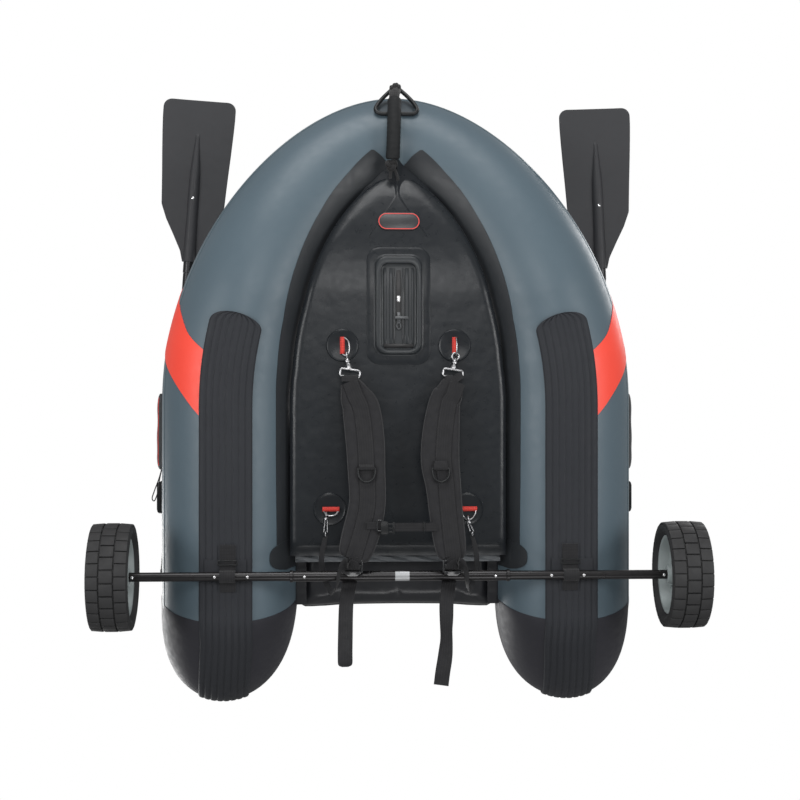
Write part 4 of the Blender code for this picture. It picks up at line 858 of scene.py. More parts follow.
@dataclass
class Studio:
    """The floor, the lamps, the pale background and the camera."""

    bench: Bench
    roll: float = math.radians(2.6)
    distance: float = 3.81
    focal: float = 68.2
    floor_radius: float = 9.0
    lamps: tuple[tuple[str, tuple[float, float, float], float, float], ...] = (
        ("under_starboard", (3.0, 0.4, -2.6), 1.6, 52), ("under_port", (-3.0, 0.4, -2.6), 1.6, 52),
        ("under_bow", (0.2, 3.7, -1.2), 2.1, 72), ("under_near", (0.0, 1.05, -2.9), 1.2, 18),
        ("under_stern", (-0.3, -3.0, -2.8), 1.6, 24), ("above_starboard", (2.6, -1.6, 3.2), 2.2, 80),
        ("above_port", (-2.8, 1.8, 3.0), 2.2, 65))

    def build(self) -> None:
        """Set up the studio."""
        self.make_floor()
        self.make_world()
        self.make_lamps()
        self.make_camera()
        bpy.context.scene.view_settings.view_transform = "Standard"

    def make_floor(self) -> None:
        """Make the pale floor, which shows from above and keeps the object's shadow."""
        bm = bmesh.new()
        bmesh.ops.create_circle(bm, cap_ends=True, segments=96, radius=self.floor_radius)
        bmesh.ops.translate(bm, vec=(0, 0, -0.0015), verts=bm.verts)
        mesh = bpy.data.meshes.new("studio_floor")
        bm.to_mesh(mesh)
        bm.free()
        floor = bpy.data.objects.new("studio_floor", mesh)
        bpy.context.scene.collection.objects.link(floor)
        pale = bpy.data.materials.new("pale studio floor")
        pale.use_nodes = True
        tree = pale.node_tree
        shader = tree.nodes["Principled BSDF"]
        shader.inputs["Base Color"].default_value = (0.86, 0.86, 0.86, 1.0)
        shader.inputs["Roughness"].default_value = 0.9
        clear = tree.nodes.new("ShaderNodeBsdfTransparent")
        path = tree.nodes.new("ShaderNodeLightPath")
        face = tree.nodes.new("ShaderNodeNewGeometry")
        front = tree.nodes.new("ShaderNodeMath")
        front.operation = "SUBTRACT"
        front.use_clamp = True
        tree.links.new(path.outputs["Is Camera Ray"], front.inputs[0])
        tree.links.new(face.outputs["Backfacing"], front.inputs[1])
        mix = tree.nodes.new("ShaderNodeMixShader")
        tree.links.new(front.outputs[0], mix.inputs["Fac"])
        tree.links.new(clear.outputs[0], mix.inputs[1])
        tree.links.new(shader.outputs[0], mix.inputs[2])
        tree.links.new(mix.outputs[0], tree.nodes["Material Output"].inputs["Surface"])
        mesh.materials.append(pale)

    def make_world(self) -> None:
        """Make the world: white where it is seen directly or through a transmissive surface, and a plain soft
        light elsewhere.
        """
        world = bpy.data.worlds.new("studio")
        bpy.context.scene.world = world
        world.use_nodes = True
        tree = world.node_tree
        light = tree.nodes["Background"]
        light.inputs["Color"].default_value = (1.0, 1.0, 1.0, 1.0)
        light.inputs["Strength"].default_value = 0.28
        seen = tree.nodes.new("ShaderNodeBackground")
        seen.inputs["Color"].default_value = (1.0, 1.0, 1.0, 1.0)
        seen.inputs["Strength"].default_value = 1.0
        path = tree.nodes.new("ShaderNodeLightPath")
        either = tree.nodes.new("ShaderNodeMath")
        either.operation = "ADD"
        either.use_clamp = True
        tree.links.new(path.outputs["Is Camera Ray"], either.inputs[0])
        tree.links.new(path.outputs["Is Transmission Ray"], either.inputs[1])
        mix = tree.nodes.new("ShaderNodeMixShader")
        tree.links.new(either.outputs[0], mix.inputs["Fac"])
        tree.links.new(light.outputs[0], mix.inputs[1])
        tree.links.new(seen.outputs[0], mix.inputs[2])
        tree.links.new(mix.outputs[0], tree.nodes["World Output"].inputs["Surface"])

    def make_lamp(self, name: str, place: tuple[float, float, float], size: float, power: float) -> None:
        """Make one square softbox, placed in the hull's frame and aimed at the boat.

        Args:
            name: the lamp's name.
            place: its place in the hull's frame.
            size: the length of its side.
            power: its power in watts.
        """
        lamp = bpy.data.lights.new(name, "AREA")
        lamp.shape = "SQUARE"
        lamp.size = size
        lamp.energy = power
        item = bpy.data.objects.new(name, lamp)
        bpy.context.scene.collection.objects.link(item)
        spot = self.bench.pose @ Vector(place)
        aim = self.bench.pose @ Vector((0, 0, 0)) - spot
        item.matrix_world = Matrix.Translation(spot) @ aim.to_track_quat("-Z", "Y").to_matrix().to_4x4()

    def make_lamps(self) -> None:
        """Make the softboxes: five under the boat and two above it."""
        for name, place, size, power in self.lamps:
            self.make_lamp(name, place, size, power)

    def make_camera(self) -> None:
        """Make the camera that looks straight up at the boat's underside, bow uppermost."""
        data = bpy.data.cameras.new("camera")
        data.lens = self.focal
        data.sensor_width = 36.0
        data.clip_end = 60.0
        camera = bpy.data.objects.new("camera", data)
        bpy.context.scene.collection.objects.link(camera)
        place = Vector((self.distance * math.sin(self.roll), -0.004, -self.distance * math.cos(self.roll)))
        look = (Vector((-0.0088, -0.004, 0)) - place).normalized()
        right = look.cross(Vector((0, 1, 0))).normalized()
        up = right.cross(look)
        axes = Matrix((right, up, -look)).transposed().to_4x4()
        camera.matrix_world = self.bench.pose @ Matrix.Translation(place) @ axes
        bpy.context.scene.camera = camera


@dataclass
class Pontoons:
    """The air chambers, their stern cones, the tapes and panels welded to them, and the keel strips."""

    bench: Bench
    sides_round: int = 96
    chevron_front: tuple[tuple[float, float], ...] = ((-69, 0.105), (-50, 0.1345), (-33, 0.172), (-12, 0.208),
                                                     (14, 0.250))
    chevron_back: tuple[tuple[float, float], ...] = ((-69, -0.045), (-50, 0.009), (-32, 0.047), (-14, 0.084),
                                                    (14, 0.130))
    strip_half_width: float = 0.0635
    strip_front_y: float = 0.205
    strip_rounding: float = 0.030
    strip_base: float = 0.0040
    strip_rib: float = 0.0022
    strip_ribs: int = 8
    tape_outboard: tuple[float, float] = (-21.5, -14.5)

    def build(self) -> None:
        """Make everything welded to the two pontoons."""
        for name, side in SIDES.items():
            self.make_chamber(name, side)
            self.make_cone(name, side)
            self.make_chevron(name, side)
            self.make_strip(name, side)
            tape = band(HULL.stations(HULL.stern, 0.999), lambda _k: self.tape_outboard, 0.0, 0.0011, 3)
            self.bench.lay(f"side_tape_{name}", tape, TAPE_GREY, side=side)
        self.make_bow_seam()

    def ring(self, cut: Station, lift: float = 0.0) -> Row:
        """Return a full ring of points round a section."""
        return [cut.at(360 * n / self.sides_round, lift) for n in range(self.sides_round)]

    def make_chamber(self, name: str, side: int) -> None:
        """Make one air chamber, from the stern joint to the seam at the bow.

        Args:
            name: starboard or port.
            side: 1 to starboard, or -1 to port.
        """
        cuts = HULL.stations(HULL.stern, 1.0, 0.01)
        rows = [self.ring(cut) for cut in cuts]
        for point in rows[-1]:
            point.x = 0.00015
        self.bench.lay(f"chamber_{name}", skin(rows), CHAMBER, stands_for=[f"air_chamber_{name}"], side=side)

    def make_cone(self, name: str, side: int) -> None:
        """Make one stern cone, whose front edge laps over the chamber.

        Args:
            name: starboard or port.
            side: 1 to starboard, or -1 to port.
        """
        lap = [HULL.station(HULL.stern + d) for d in (0.010, 0.0)]
        rows = [self.ring(lap[0], 0.0002), self.ring(lap[0], 0.0011), self.ring(lap[1], 0.0011)]
        steps = 36
        for k in range(1, steps):
            along = HULL.cone_length * math.sin(math.pi / 2 * k / steps)
            rows.append(self.ring(HULL.cone(along), 0.0008))
        tip = HULL.cone(HULL.cone_length).centre
        bm = skin(rows, caps=False)
        edge = [e for e in bm.edges if e.is_boundary and (e.verts[0].co - tip).length < 0.06]
        bmesh.ops.holes_fill(bm, edges=edge)
        self.bench.lay(f"cone_{name}", bm, CHARCOAL, stands_for=[f"stern_cone_{name}"], side=side)

    def make_chevron(self, name: str, side: int) -> None:
        """Make one orange panel that wraps the chamber's outboard side.

        Args:
            name: starboard or port.
            side: 1 to starboard, or -1 to port.
        """
        steps, rows = 28, []
        for k in range(steps + 1):
            degrees, front = spline(self.chevron_front, k / steps)
            _, back = spline(self.chevron_back, k / steps)
            cells = 24
            line = [back + (front - back) * n / cells for n in range(cells + 1)]
            outer = [HULL.station(HULL.share_at(y)).at(degrees, 0.0014) for y in line]
            inner = [HULL.station(HULL.share_at(y)).at(degrees, 0.0004) for y in reversed(line)]
            rows.append(outer + inner)
        self.bench.lay(f"side_panel_{name}", skin(rows), ORANGE, side=side)

    def strip_relief(self, share: float) -> float:
        """Return the height of the strip's ribs at a share across it.

        Args:
            share: 0 at one edge and 1 at the other.

        Returns:
            The height over the strip's face.
        """
        phase = share * self.strip_ribs % 1.0
        rib = eased(phase, 0.06, 0.24) * (1 - eased(phase, 0.76, 0.94))
        return self.strip_rib * rib

    def make_strip(self, name: str, side: int) -> None:
        """Make one keel strip with ribs along it, round-ended at the front.

        Args:
            name: starboard or port.
            side: 1 to starboard, or -1 to port.
        """
        cuts: list[Station] = []
        widths: list[float] = []
        for k in range(14):
            back = self.strip_rounding * (1 - math.cos(math.pi / 2 * k / 13))
            cuts.append(HULL.station(HULL.share_at(self.strip_front_y - back)))
            share = 1 - back / self.strip_rounding
            widths.append(max(self.strip_half_width * math.sqrt(1 - share**2), 0.004))
        first = HULL.share_at(self.strip_front_y - self.strip_rounding)
        for cut in reversed(HULL.stations(HULL.stern, first, 0.02)[:-1]):
            cuts.append(cut)
            widths.append(self.strip_half_width)
        for k in range(1, 26):
            along = HULL.cone_length * 0.93 * k / 25
            cut = HULL.cone(along)
            cuts.append(cut)
            widths.append(min(self.strip_half_width, cut.radius * 0.85))
        spans = []
        for cut, width in zip(cuts, widths):
            half = min(math.degrees(width / cut.radius), 60)
            spans.append((-90 - half, -90 + half))
        strip = band(cuts, lambda k: spans[k], 0.0013, self.strip_base, self.strip_ribs * 10,
                     self.strip_relief)
        self.bench.lay(f"strip_{name}", strip, STRIP, stands_for=[f"keel_strip_{name}"], side=side, sharp=50)

    def make_bow_seam(self) -> None:
        """Make the welded tape round the seam between the two chambers at the bow."""
        rows = []
        for n in range(72):
            cut = HULL.station(1.0)
            angle = 360 * n / 72
            rows.append([cut.at(angle, lift) + Vector((x, 0, 0))
                         for x, lift in ((-0.016, 0.0003), (-0.016, 0.0010), (0.016, 0.0010),
                                         (0.016, 0.0003))])
        self.bench.lay("bow_seam_tape", skin(rows, ring=True, caps=False), TAPE_GREY)


@dataclass
class FloorPanel:
    """The inflated floor panel, its flange on the pontoons, its corner patches and the badge."""

    bench: Bench
    height: float = -0.092
    half_thickness: float = 0.018
    stern_y: float = -0.385
    bow_y: float = 0.556
    edge_width: float = 0.024
    bow_edge_extra: float = 0.045
    stern_fade: float = 0.034
    bow_fade: float = 0.060
    flange_edge: tuple[tuple[float, float], ...] = ((-0.477, -136.0), (-0.359, -136.0),
                                                    (-0.176, -135.0), (0.020, -134.8),
                                                  (0.232, -131.0), (0.406, -122.4),
                                                  (0.558, -114.3), (0.659, -107.9), (0.748, -102.7),
                                                  (0.881, -91.7), (0.912, -101.0), (0.942, -112.0))
    apex_edge: tuple[tuple[float, float], ...] = ((0.625, -136.4), (0.826, -122.7),
                                                  (0.957, -112.5), (1.0, -104.4))

    def build(self) -> None:
        """Make the floor and everything welded to it."""
        self.make_panel()
        self.make_apex()
        for name, side in SIDES.items():
            self.make_flange(name, side)
            self.make_corner_patch(name, side)
        self.make_badge()

    def underside(self, y: float) -> float:
        """Return the height of the panel's underside away from its edges."""
        return self.height + HULL.rise(y) - self.half_thickness

    def half_width(self, y: float) -> float:
        """Return the panel's half width at y."""
        return max(HULL.gap(y, self.height + HULL.rise(y) + self.half_thickness) - 0.0004, 0.006)

    def make_panel(self) -> None:
        """Make the panel: flat in the middle, domed along its edges and thinned towards both ends."""
        steps, rows = 130, []
        for k in range(steps + 1):
            y = self.stern_y + (self.bow_y - self.stern_y) * k / steps
            into = max(0.0, 1 - (self.bow_y - y) / self.bow_fade)
            middle = self.height + HULL.rise(y)
            half = self.half_width(y)
            fade = 0.10 + 0.90 * eased(y, self.stern_y - 0.004, self.stern_y + self.stern_fade)
            thick = self.half_thickness * fade * math.sqrt(max(0.05, 1 - into**2))
            edge = min(self.edge_width + self.bow_edge_extra * eased(y, 0.34, 0.52), half * 0.85)
            lower, upper = [], []
            marks = [(half - edge) * n / 12 for n in range(12)]
            marks += [half - edge + edge * math.sin(math.pi / 2 * n / 10) for n in range(11)]
            for x in marks:
                inside = max(0.0, (x - half + edge) / edge)
                drop = thick * math.sqrt(max(0.0, 1 - inside**2.4))
                lower.append((x, -drop))
                top_edge = max(0.0, (x - half + edge * 0.4) / (edge * 0.4))
                upper.append((x, thick * math.sqrt(max(0.0, 1 - top_edge**2.4))))
            right = lower[:-1] + upper[::-1]
            left = [(-x, z) for x, z in reversed(right[1:-1])]
            rows.append([Vector((x, y, middle + z)) for x, z in right + left])
        self.bench.lay("floor", skin(rows), FLOOR, stands_for=["floor_panel"])

    def make_flange(self, name: str, side: int) -> None:
        """Make the dark flange that joins the panel to the pontoon's inner side.

        Args:
            name: starboard or port.
            side: 1 to starboard, or -1 to port.
        """
        low, high = HULL.share_at(self.stern_y), self.flange_edge[-1][0] + 0.004
        count = 130
        shares = [low + (high - low) * k / count for k in range(count + 1)]
        spans = []
        for share in shares:
            outer = self.between(self.flange_edge, share)
            spans.append((min(-168 + 34 * eased(share, 0.3, 0.88), outer - 0.4), outer))
        flange = band([HULL.station(s) for s in shares], lambda k: spans[k], 0.0002, 0.0009, 14)
        self.bench.lay(f"flange_{name}", flange, TAPE_DARK, side=side)

    @staticmethod
    def between(table: Sequence[tuple[float, float]], place: float) -> float:
        """Return the value at a place in a table of places and values.

        Args:
            table: the pairs of a place and a value, in order.
            place: the place.

        Returns:
            The value.
        """
        for (low, first), (high, last) in zip(table, table[1:]):
            if place <= high:
                return first + (last - first) * max(0.0, (place - low) / (high - low))
        return table[-1][1]

    def make_apex(self) -> None:
        """Make the pointed end of the floor's cloth, which reaches up the bow tube."""
        rows = []
        for n in range(61):
            across = n / 30 - 1
            share = self.apex_edge[0][0] + (1 - self.apex_edge[0][0]) * (1 - abs(across)) ** 0.8
            cut = HULL.station(share)
            last = self.between(self.apex_edge, share)
            outer = cut.at(last, 0.0020)
            inner = outer - cut.side * 0.085
            inner.z = self.underside(inner.y) - 0.0010
            line = [inner.lerp(outer, m / 14) for m in range(15)]
            row = line + [p + Vector((0, 0, 0.0008)) for p in reversed(line)]
            if across < 0:
                row = [Vector((-p.x, p.y, p.z)) for p in row]
            rows.append(row)
        self.bench.lay("floor_apex", skin(rows), FLOOR)

    def make_corner_patch(self, name: str, side: int) -> None:
        """Make the rounded patch on the pontoon at the panel's stern corner.

        Args:
            name: starboard or port.
            side: 1 to starboard, or -1 to port.
        """
        count = 16
        ys = [self.stern_y - 0.024 + 0.072 * n / count for n in range(count + 1)]
        cuts = [HULL.station(HULL.share_at(y)) for y in ys]

        def span(k: int) -> tuple[float, float]:
            """Return the patch's edges at a section."""
            bulge = math.sqrt(max(0.02, 1 - abs(2 * k / count - 1) ** 3))
            return -180 + 6, -180 + 6 + 46 * bulge

        patch = band(cuts, span, 0.0012, 0.0010, 10)
        self.bench.lay(f"corner_patch_{name}", patch, TAPE_DARK, side=side)

    def make_badge(self) -> None:
        """Make the bare badge: a pill-shaped plate with a thin line round it."""
        middle = Vector((-0.0025, 0.4365, self.underside(0.4365) - 0.0012))
        tilt = HULL.rise(0.4465) - HULL.rise(0.4265)

        def pill(half_length: float, half_width: float, low: float) -> Row:
            """Return points round a pill outline at a depth below the floor.

            Args:
                half_length: half its length.
                half_width: half its width.
                low: the depth under the floor.

            Returns:
                The points in order.
            """
            points = []
            for n in range(48):
                angle = FULL_TURN * n / 48
                x = half_width * math.cos(angle)
                x += math.copysign(half_length - half_width,
                                   math.cos(angle)) if abs(math.cos(angle)) > 1e-6 else 0
                y = half_width * math.sin(angle)
                points.append(middle + Vector((x, y, y * tilt / 0.02 - low)))
            return points

        plate = skin([pill(0.0515, 0.0215, 0.0), pill(0.0515, 0.0215, 0.0010), pill(0.0507, 0.0207, 0.0014)])
        self.bench.lay("badge_plate", plate, BADGE_BLACK)
        line = skin([pill(0.0507, 0.0207, 0.0012), pill(0.0504, 0.0204, 0.0021), pill(0.0484, 0.0184, 0.0021),
                     pill(0.0481, 0.0181, 0.0012)], ring=True, caps=False)
        self.bench.lay("badge_line", line, BADGE_RED)


@dataclass
class RunningGear:
    """The axle, the straps that hold it and the two wheels."""

    bench: Bench
    axle_y: float = -0.424
    axle_z: float = -0.189
    tube_radius: float = 0.0125
    section_radius: float = 0.0110
    tube_half: float = 0.263
    wheel_x: float = 0.681
    wheel_radius: float = 0.128
    tread_depth: float = 0.0065
    half_width: float = 0.049
    rim_radius: float = 0.095
    tread_blocks: int = 26
    strap_x: float = 0.411
    strap_width: float = 0.038
    rivets: tuple[float, ...] = (0.391 - 0.028, 0.411 + 0.030)

    def build(self) -> None:
        """Make the axle and both wheels."""
        self.make_centre_tube()
        for name, side in SIDES.items():
            self.make_section(name, side)
            self.make_strap(name, side)
            self.make_tyre(name, side)
            self.make_hub(name, side)

    def centre(self, x: float) -> Vector:
        """Return the point on the axle's line at x."""
        return Vector((x, self.axle_y, self.axle_z))

    def make_centre_tube(self) -> None:
        """Make the centre tube, with rolled ends, and the plain label round its middle; the buttons in its
        ends are made with the outer sections.
        """
        half, wall = self.tube_half, self.section_radius + 0.0003
        collar = self.tube_radius + 0.0018
        profile = [(wall, -half), (collar - 0.0008, -half), (collar, -half + 0.001), (collar, -half + 0.007),
                   (self.tube_radius, -half + 0.009), (self.tube_radius, half - 0.009),
                   (collar, half - 0.007), (collar, half - 0.001), (collar - 0.0008, half),
                   (wall, half), (wall, -half)]
        tube = turned(profile, self.centre(0), Vector((1, 0, 0)))
        self.bench.lay("axle_tube", tube, ANODISED, stands_for=["axle_centre_tube"])
        band_rows = []
        for n in range(24):
            angle = math.radians(-90 - 62 + 124 * n / 23)
            row = []
            for x, lift in ((-0.017, 0.0001), (-0.017, 0.0004), (0.017, 0.0004), (0.017, 0.0001)):
                r = self.tube_radius + lift
                row.append(self.centre(-0.005 + x) + Vector((0, r * math.cos(angle), r * math.sin(angle))))
            band_rows.append(row)
        self.bench.lay("axle_plain_label", skin(band_rows), BRIGHT_LABEL)

    def make_section(self, name: str, side: int) -> None:
        """Make one outer section with its end flange, its buttons and its rivets.

        Args:
            name: starboard or port.
            side: 1 to starboard, or -1 to port.
        """
        r = self.section_radius
        profile = [(0.0092, 0.12), (r, 0.12), (r, 0.7215), (r + 0.0055, 0.722), (r + 0.007, 0.7235),
                   (r + 0.007, 0.7255), (r + 0.0055, 0.727), (r, 0.7295), (r - 0.001, 0.730), (0.0092, 0.730),
                   (0.0092, 0.12)]
        tube = turned(profile, self.centre(0), Vector((1, 0, 0)))
        self.bench.lay(f"axle_tube_{name}", tube, ANODISED, stands_for=[f"axle_section_{name}"], side=side)
        down = Vector((0, 0, -1))
        heads = [dome(self.centre(x) + down * (r - 0.0003), down, 0.0036, 0.0016) for x in self.rivets]
        self.bench.lay(f"axle_rivets_{name}", joined(*heads), BRIGHT, side=side)
        for label, x, face in (("axle_button", 0.228, self.tube_radius), ("hub_pin", 0.6345, r)):
            pin = turned([(0.0, face + 0.003), (0.0022, face + 0.0027), (0.0035, face + 0.0016),
                          (0.004, face + 0.0002), (0.004, 0.0056), (0.0, 0.0056)], self.centre(x), down, 24)
            self.bench.lay(f"bright_{label}_{name}", pin, BRIGHT, f"{label}_{name}",
                           [f"{label}_{name}"], side)

    def make_strap(self, name: str, side: int) -> None:
        """Make the webbing loop under the keel strip, its patch and its bar buckle.

        Args:
            name: starboard or port.
            side: 1 to starboard, or -1 to port.
        """
        level = -(HULL.tube_radius + 0.0075) - 0.0019
        loop = self.section_radius + 0.0025
        path = [(-0.350, level), (-0.372, level), (-0.394, level), (-0.404, level - 0.0005)]
        for degrees in range(35, -216, -12):
            angle = math.radians(degrees)
            path.append((self.axle_y + loop * math.cos(angle), self.axle_z + loop * math.sin(angle)))
        path += [(-0.444, level), (-0.462, level)]
        rows = []
        for k, (y, z) in enumerate(path):
            before, after = path[max(k - 1, 0)], path[min(k + 1, len(path) - 1)]
            along = Vector((0, after[0] - before[0], after[1] - before[1])).normalized()
            normal = Vector((0, -along.z, along.y))
            row = []
            for edge, face in ((-1, 1), (-0.9, 1.1), (0, 1.12), (0.9, 1.1), (1, 1), (1, -1),
                               (0, -1), (-1, -1)):
                x = self.strap_x + edge * self.strap_width / 2
                row.append(Vector((x, y, z)) + normal * face * 0.0011)
            rows.append(row)
        self.bench.lay(f"axle_loop_{name}", skin(rows), BLACK_WEBBING,
                       stands_for=[f"axle_strap_{name}"], side=side)
        cuts = HULL.stations(HULL.share_at(-0.402), HULL.share_at(-0.368), 0.004)
        patch = band(cuts, lambda _k: (-90 - 16.5, -90 + 16.5), 0.0076, 0.0009, 16)
        self.bench.lay(f"axle_patch_{name}", patch, STRIP, side=side)
        y, z = -0.3925, level - 0.0035
        half = self.strap_width / 2 + 0.004
        corners = [Vector((self.strap_x + dx, y + dy, z)) for dx, dy in
                   ((-half, 0.005), (half, 0.005), (half, -0.005), (-half, -0.005))]
        buckle = bar(rounded(corners, 0.003), 0.0016, ring=True)
        self.bench.lay(f"axle_buckle_{name}", buckle, MOULDED, side=side)

    def make_tyre(self, name: str, side: int) -> None:
        """Make one tyre with three rows of staggered tread blocks.

        Args:
            name: starboard or port.
            side: 1 to starboard, or -1 to port.
        """
        base = self.wheel_radius - self.tread_depth
        wide, r = self.half_width, self.rim_radius
        profile = [(r + 0.0004, -wide * 0.72), (r + 0.004, -wide * 0.80), (r + 0.010, -wide * 0.97),
                   (r + 0.014, -wide), (base - 0.008, -wide), (base - 0.003, -wide * 0.97),
                   (base, -wide * 0.90), (base + 0.001, 0.0)]
        profile += [(p, -a) for p, a in reversed(profile[:-1])] + [profile[0]]
        centre = self.centre(self.wheel_x)
        tyre = turned(profile, centre, Vector((1, 0, 0)), 96)
        pitch = FULL_TURN / self.tread_blocks
        arc = self.wheel_radius * pitch
        for row, (middle, width, phase) in enumerate(((-0.0328, 0.0288, 0.0), (0.0, 0.0310, 0.5),
                                                      (0.0328, 0.0288, 0.0))):
            for n in range(self.tread_blocks):
                length = arc * (0.93 if row != 1 else 0.90)
                lug = block((middle - width / 2, -length / 2, base - 0.002),
                            (middle + width / 2, length / 2, self.wheel_radius), 0.0016, 2)
                outer = middle + math.copysign(width / 2, middle) if middle else None
                for vert in lug.verts:
                    if outer is not None and abs(vert.co.x - outer) < 0.004 and vert.co.z > base:
                        vert.co.z -= 0.0035 * (1 - abs(vert.co.x - outer) / 0.004)
                    angle = vert.co.y / self.wheel_radius
                    height = vert.co.z
                    vert.co.y, vert.co.z = height * math.sin(angle), height * math.cos(angle)
                turn = Matrix.Rotation(pitch * (n + phase), 4, "X")
                tyre = joined(tyre, moved(lug, Matrix.Translation(centre) @ turn))
        self.bench.lay(f"tyre_tread_{name}", tyre, TYRE, f"wheel_{name}", [f"tyre_{name}"], side)

    def make_hub(self, name: str, side: int) -> None:
        """Make one dished hub with a rim, a boss and thin radial ribs.

        Args:
            name: starboard or port.
            side: 1 to starboard, or -1 to port.
        """
        centre = self.centre(self.wheel_x)
        r = self.rim_radius - 0.0003
        half = [(0.0115, 0.038), (0.0195, 0.038), (0.0215, 0.0365), (0.0235, 0.018), (0.029, 0.0115),
                (0.060, 0.0085), (0.078, 0.0095), (0.0835, 0.015), (0.0865, 0.035), (0.088, 0.0380),
                (0.0925, 0.0390), (r, 0.0380)]
        profile = [(p, -a) for p, a in half] + list(reversed(half)) + [(half[0][0], -half[0][1])]
        hub = turned(profile, centre, Vector((1, 0, 0)), 96)
        for n in range(12):
            turn = Matrix.Translation(centre) @ Matrix.Rotation(FULL_TURN * n / 12, 4, "X")
            for face in (-1, 1):
                low, high = sorted((face * 0.0075, face * 0.0125))
                rib = block((low, -0.0011, 0.027), (high, 0.0011, 0.0815), 0.0006, 2)
                hub = joined(hub, moved(rib, turn))
        self.bench.lay(f"hub_shell_{name}", hub, HUB, f"wheel_{name}", [f"hub_{name}"], side)


@dataclass
class BowTackle:
    """The tow ring on the nose with its webbing, and the carrying handle on its cord."""

    bench: Bench
    foot_degrees: float = -57.0
    ring_bar: float = 0.004
    ring_half_width: float = 0.0525
    ring_length: float = 0.094
    grip_x: float = 0.0085
    grip_radius: float = 0.017
    grip_bore: float = 0.005
    grip_arc: float = 0.164
    grip_span: tuple[float, float] = (-105.0, -48.0)
    cord_radius: float = 0.0036

    def build(self) -> None:
        """Make the ring, its webbing and the handle."""
        self.make_ring()
        self.make_webbing()
        self.make_grip()
        self.make_cord()

    @property
    def foot(self) -> Vector:
        """Return the middle of the ring's foot bar."""
        return self.nose(self.foot_degrees, HULL.bow_radius + self.ring_bar + 0.002)

    @property
    def along(self) -> Vector:
        """Return the direction from the ring's foot to its point."""
        angle = math.radians(self.foot_degrees)
        return Vector((0, -math.sin(angle), math.cos(angle)))

    @property
    def facing(self) -> Vector:
        """Return the direction square to the ring's plane."""
        return Vector((0, self.along.z, -self.along.y))

    def grip_line(self, degrees: float) -> float:
        """Return how far the grip lies off the middle at an angle round the nose.

        Args:
            degrees: the angle round the nose.

        Returns:
            The x of the grip's centre.
        """
        low, high = self.grip_span
        share = min(1.0, max(0.0, (degrees - low) / (high - low)))
        return self.grip_x + 0.0029 * (1 - 2 * share)

    def nose(self, degrees: float, radius: float, x: float = 0.0) -> Vector:
        """Return a point round the bow tube at its nose."""
        angle = math.radians(degrees)
        return Vector((x, HULL.bow_y + radius * math.cos(angle), HULL.bow_rise + radius * math.sin(angle)))

    def on_nose(self, x: float, degrees: float, lift: float) -> Vector:
        """Return a point on the bow tube's skin, whose section's centre is x off the middle.

        Args:
            x: the distance off the middle, to either side.
            degrees: the angle round the section.
            lift: how far the point stands off the skin.

        Returns:
            The point.
        """
        low, high = 0.6, 1.0
        for _ in range(24):
            middle = (low + high) / 2
            if HULL.station(middle).centre.x > abs(x):
                low = middle
            else:
                high = middle
        point = HULL.station(high).at(degrees, lift)
        return Vector((math.copysign(point.x, x), point.y, point.z))

    def make_ring(self) -> None:
        """Make the rounded triangular ring."""
        half, long, corner = self.ring_half_width, self.ring_length, 0.016
        shape = [(-half + corner + 2 * (half - corner) * n / 12, 0.0) for n in range(13)]
        shape += [(half - corner * (1 - math.sin(a)), corner * (1 - math.cos(a))) for a in
                  (math.pi / 2 * n / 8 for n in range(1, 8))]
        side = [(half * (1 - t**1.38), corner + (long - corner) * t) for t in (n / 20 for n in range(20))]
        shape += side + [(0.0, long)] + [(-x, a) for x, a in side[::-1]]
        shape += [(-x, a) for x, a in shape[13:20][::-1]]
        path = [self.foot + Vector((x, 0, 0)) + self.along * a for x, a in shape]
        ring = bar(path, self.ring_bar + 0.0012, 14, ring=True)
        self.bench.lay("tow_ring", ring, MOULDED, stands_for=["bow_ring"])

    def make_webbing(self) -> None:
        """Make the welded patch and the webbing that loops round the ring's foot."""
        rows = []
        for n in range(17):
            share = n / 16
            degrees = -27 - 27 * share
            half = 0.0280 * math.sqrt(1 - 0.6 * max(0.0, 1 - share / 0.3) ** 2)
            marks = [half * (2 * m / 20 - 1) for m in range(21)]
            rows.append([self.on_nose(x, degrees, 0.0013) for x in marks]
                        + [self.on_nose(x, degrees, 0.0002) for x in reversed(marks)])
        self.bench.lay("tow_patch", skin(rows), NOSE_PATCH)
        path = [self.nose(d, HULL.bow_radius + 0.0022) for d in (-36, -40, -44, -48, -51)]
        for n in range(13):
            turn = math.radians(self.foot_degrees + 100 - 200 * n / 12)
            spoke = Vector((0, math.cos(turn), math.sin(turn)))
            path.append(self.foot + spoke * (self.ring_bar + 0.0012))
        path += [self.nose(d, HULL.bow_radius + 0.0022) for d in (-63, -67, -71)]
        path = [point + Vector((0.0070, 0, 0)) for point in path]
        loop = ribbon(path, [Vector((1, 0, 0))] * len(path), [0.026] * len(path), 0.0015)
        self.bench.lay("tow_loop", loop, BLACK_WEBBING)

    def make_grip(self) -> None:
        """Make the tubular grip, with a turned hem at each end."""
        low, high = self.grip_span
        steps = 44
        outer, inner = [], []
        for k in range(steps + 1):
            degrees = low + (high - low) * k / steps
            end = min(k, steps - k)
            radius = self.grip_radius + (0.0006 if 1 <= end <= 3 else 0.0) - (0.0016 if end == 0 else 0.0)
            radius += 0.0003 * math.sin(k * 1.9)
            centre = self.nose(degrees, self.grip_arc, self.grip_line(degrees))
            angle = math.radians(degrees)
            outward = Vector((0, math.cos(angle), math.sin(angle)))
            for rows, size in ((outer, radius), (inner, self.grip_bore)):
                rows.append([centre + (Vector((1, 0, 0)) * math.cos(a) + outward * math.sin(a)) * size
                             for a in around(32)])
        grip = skin(outer + inner[::-1], ring=True, caps=False)
        self.bench.lay("handle_sleeve", grip, GRIP_FOAM, stands_for=["handle_grip"])

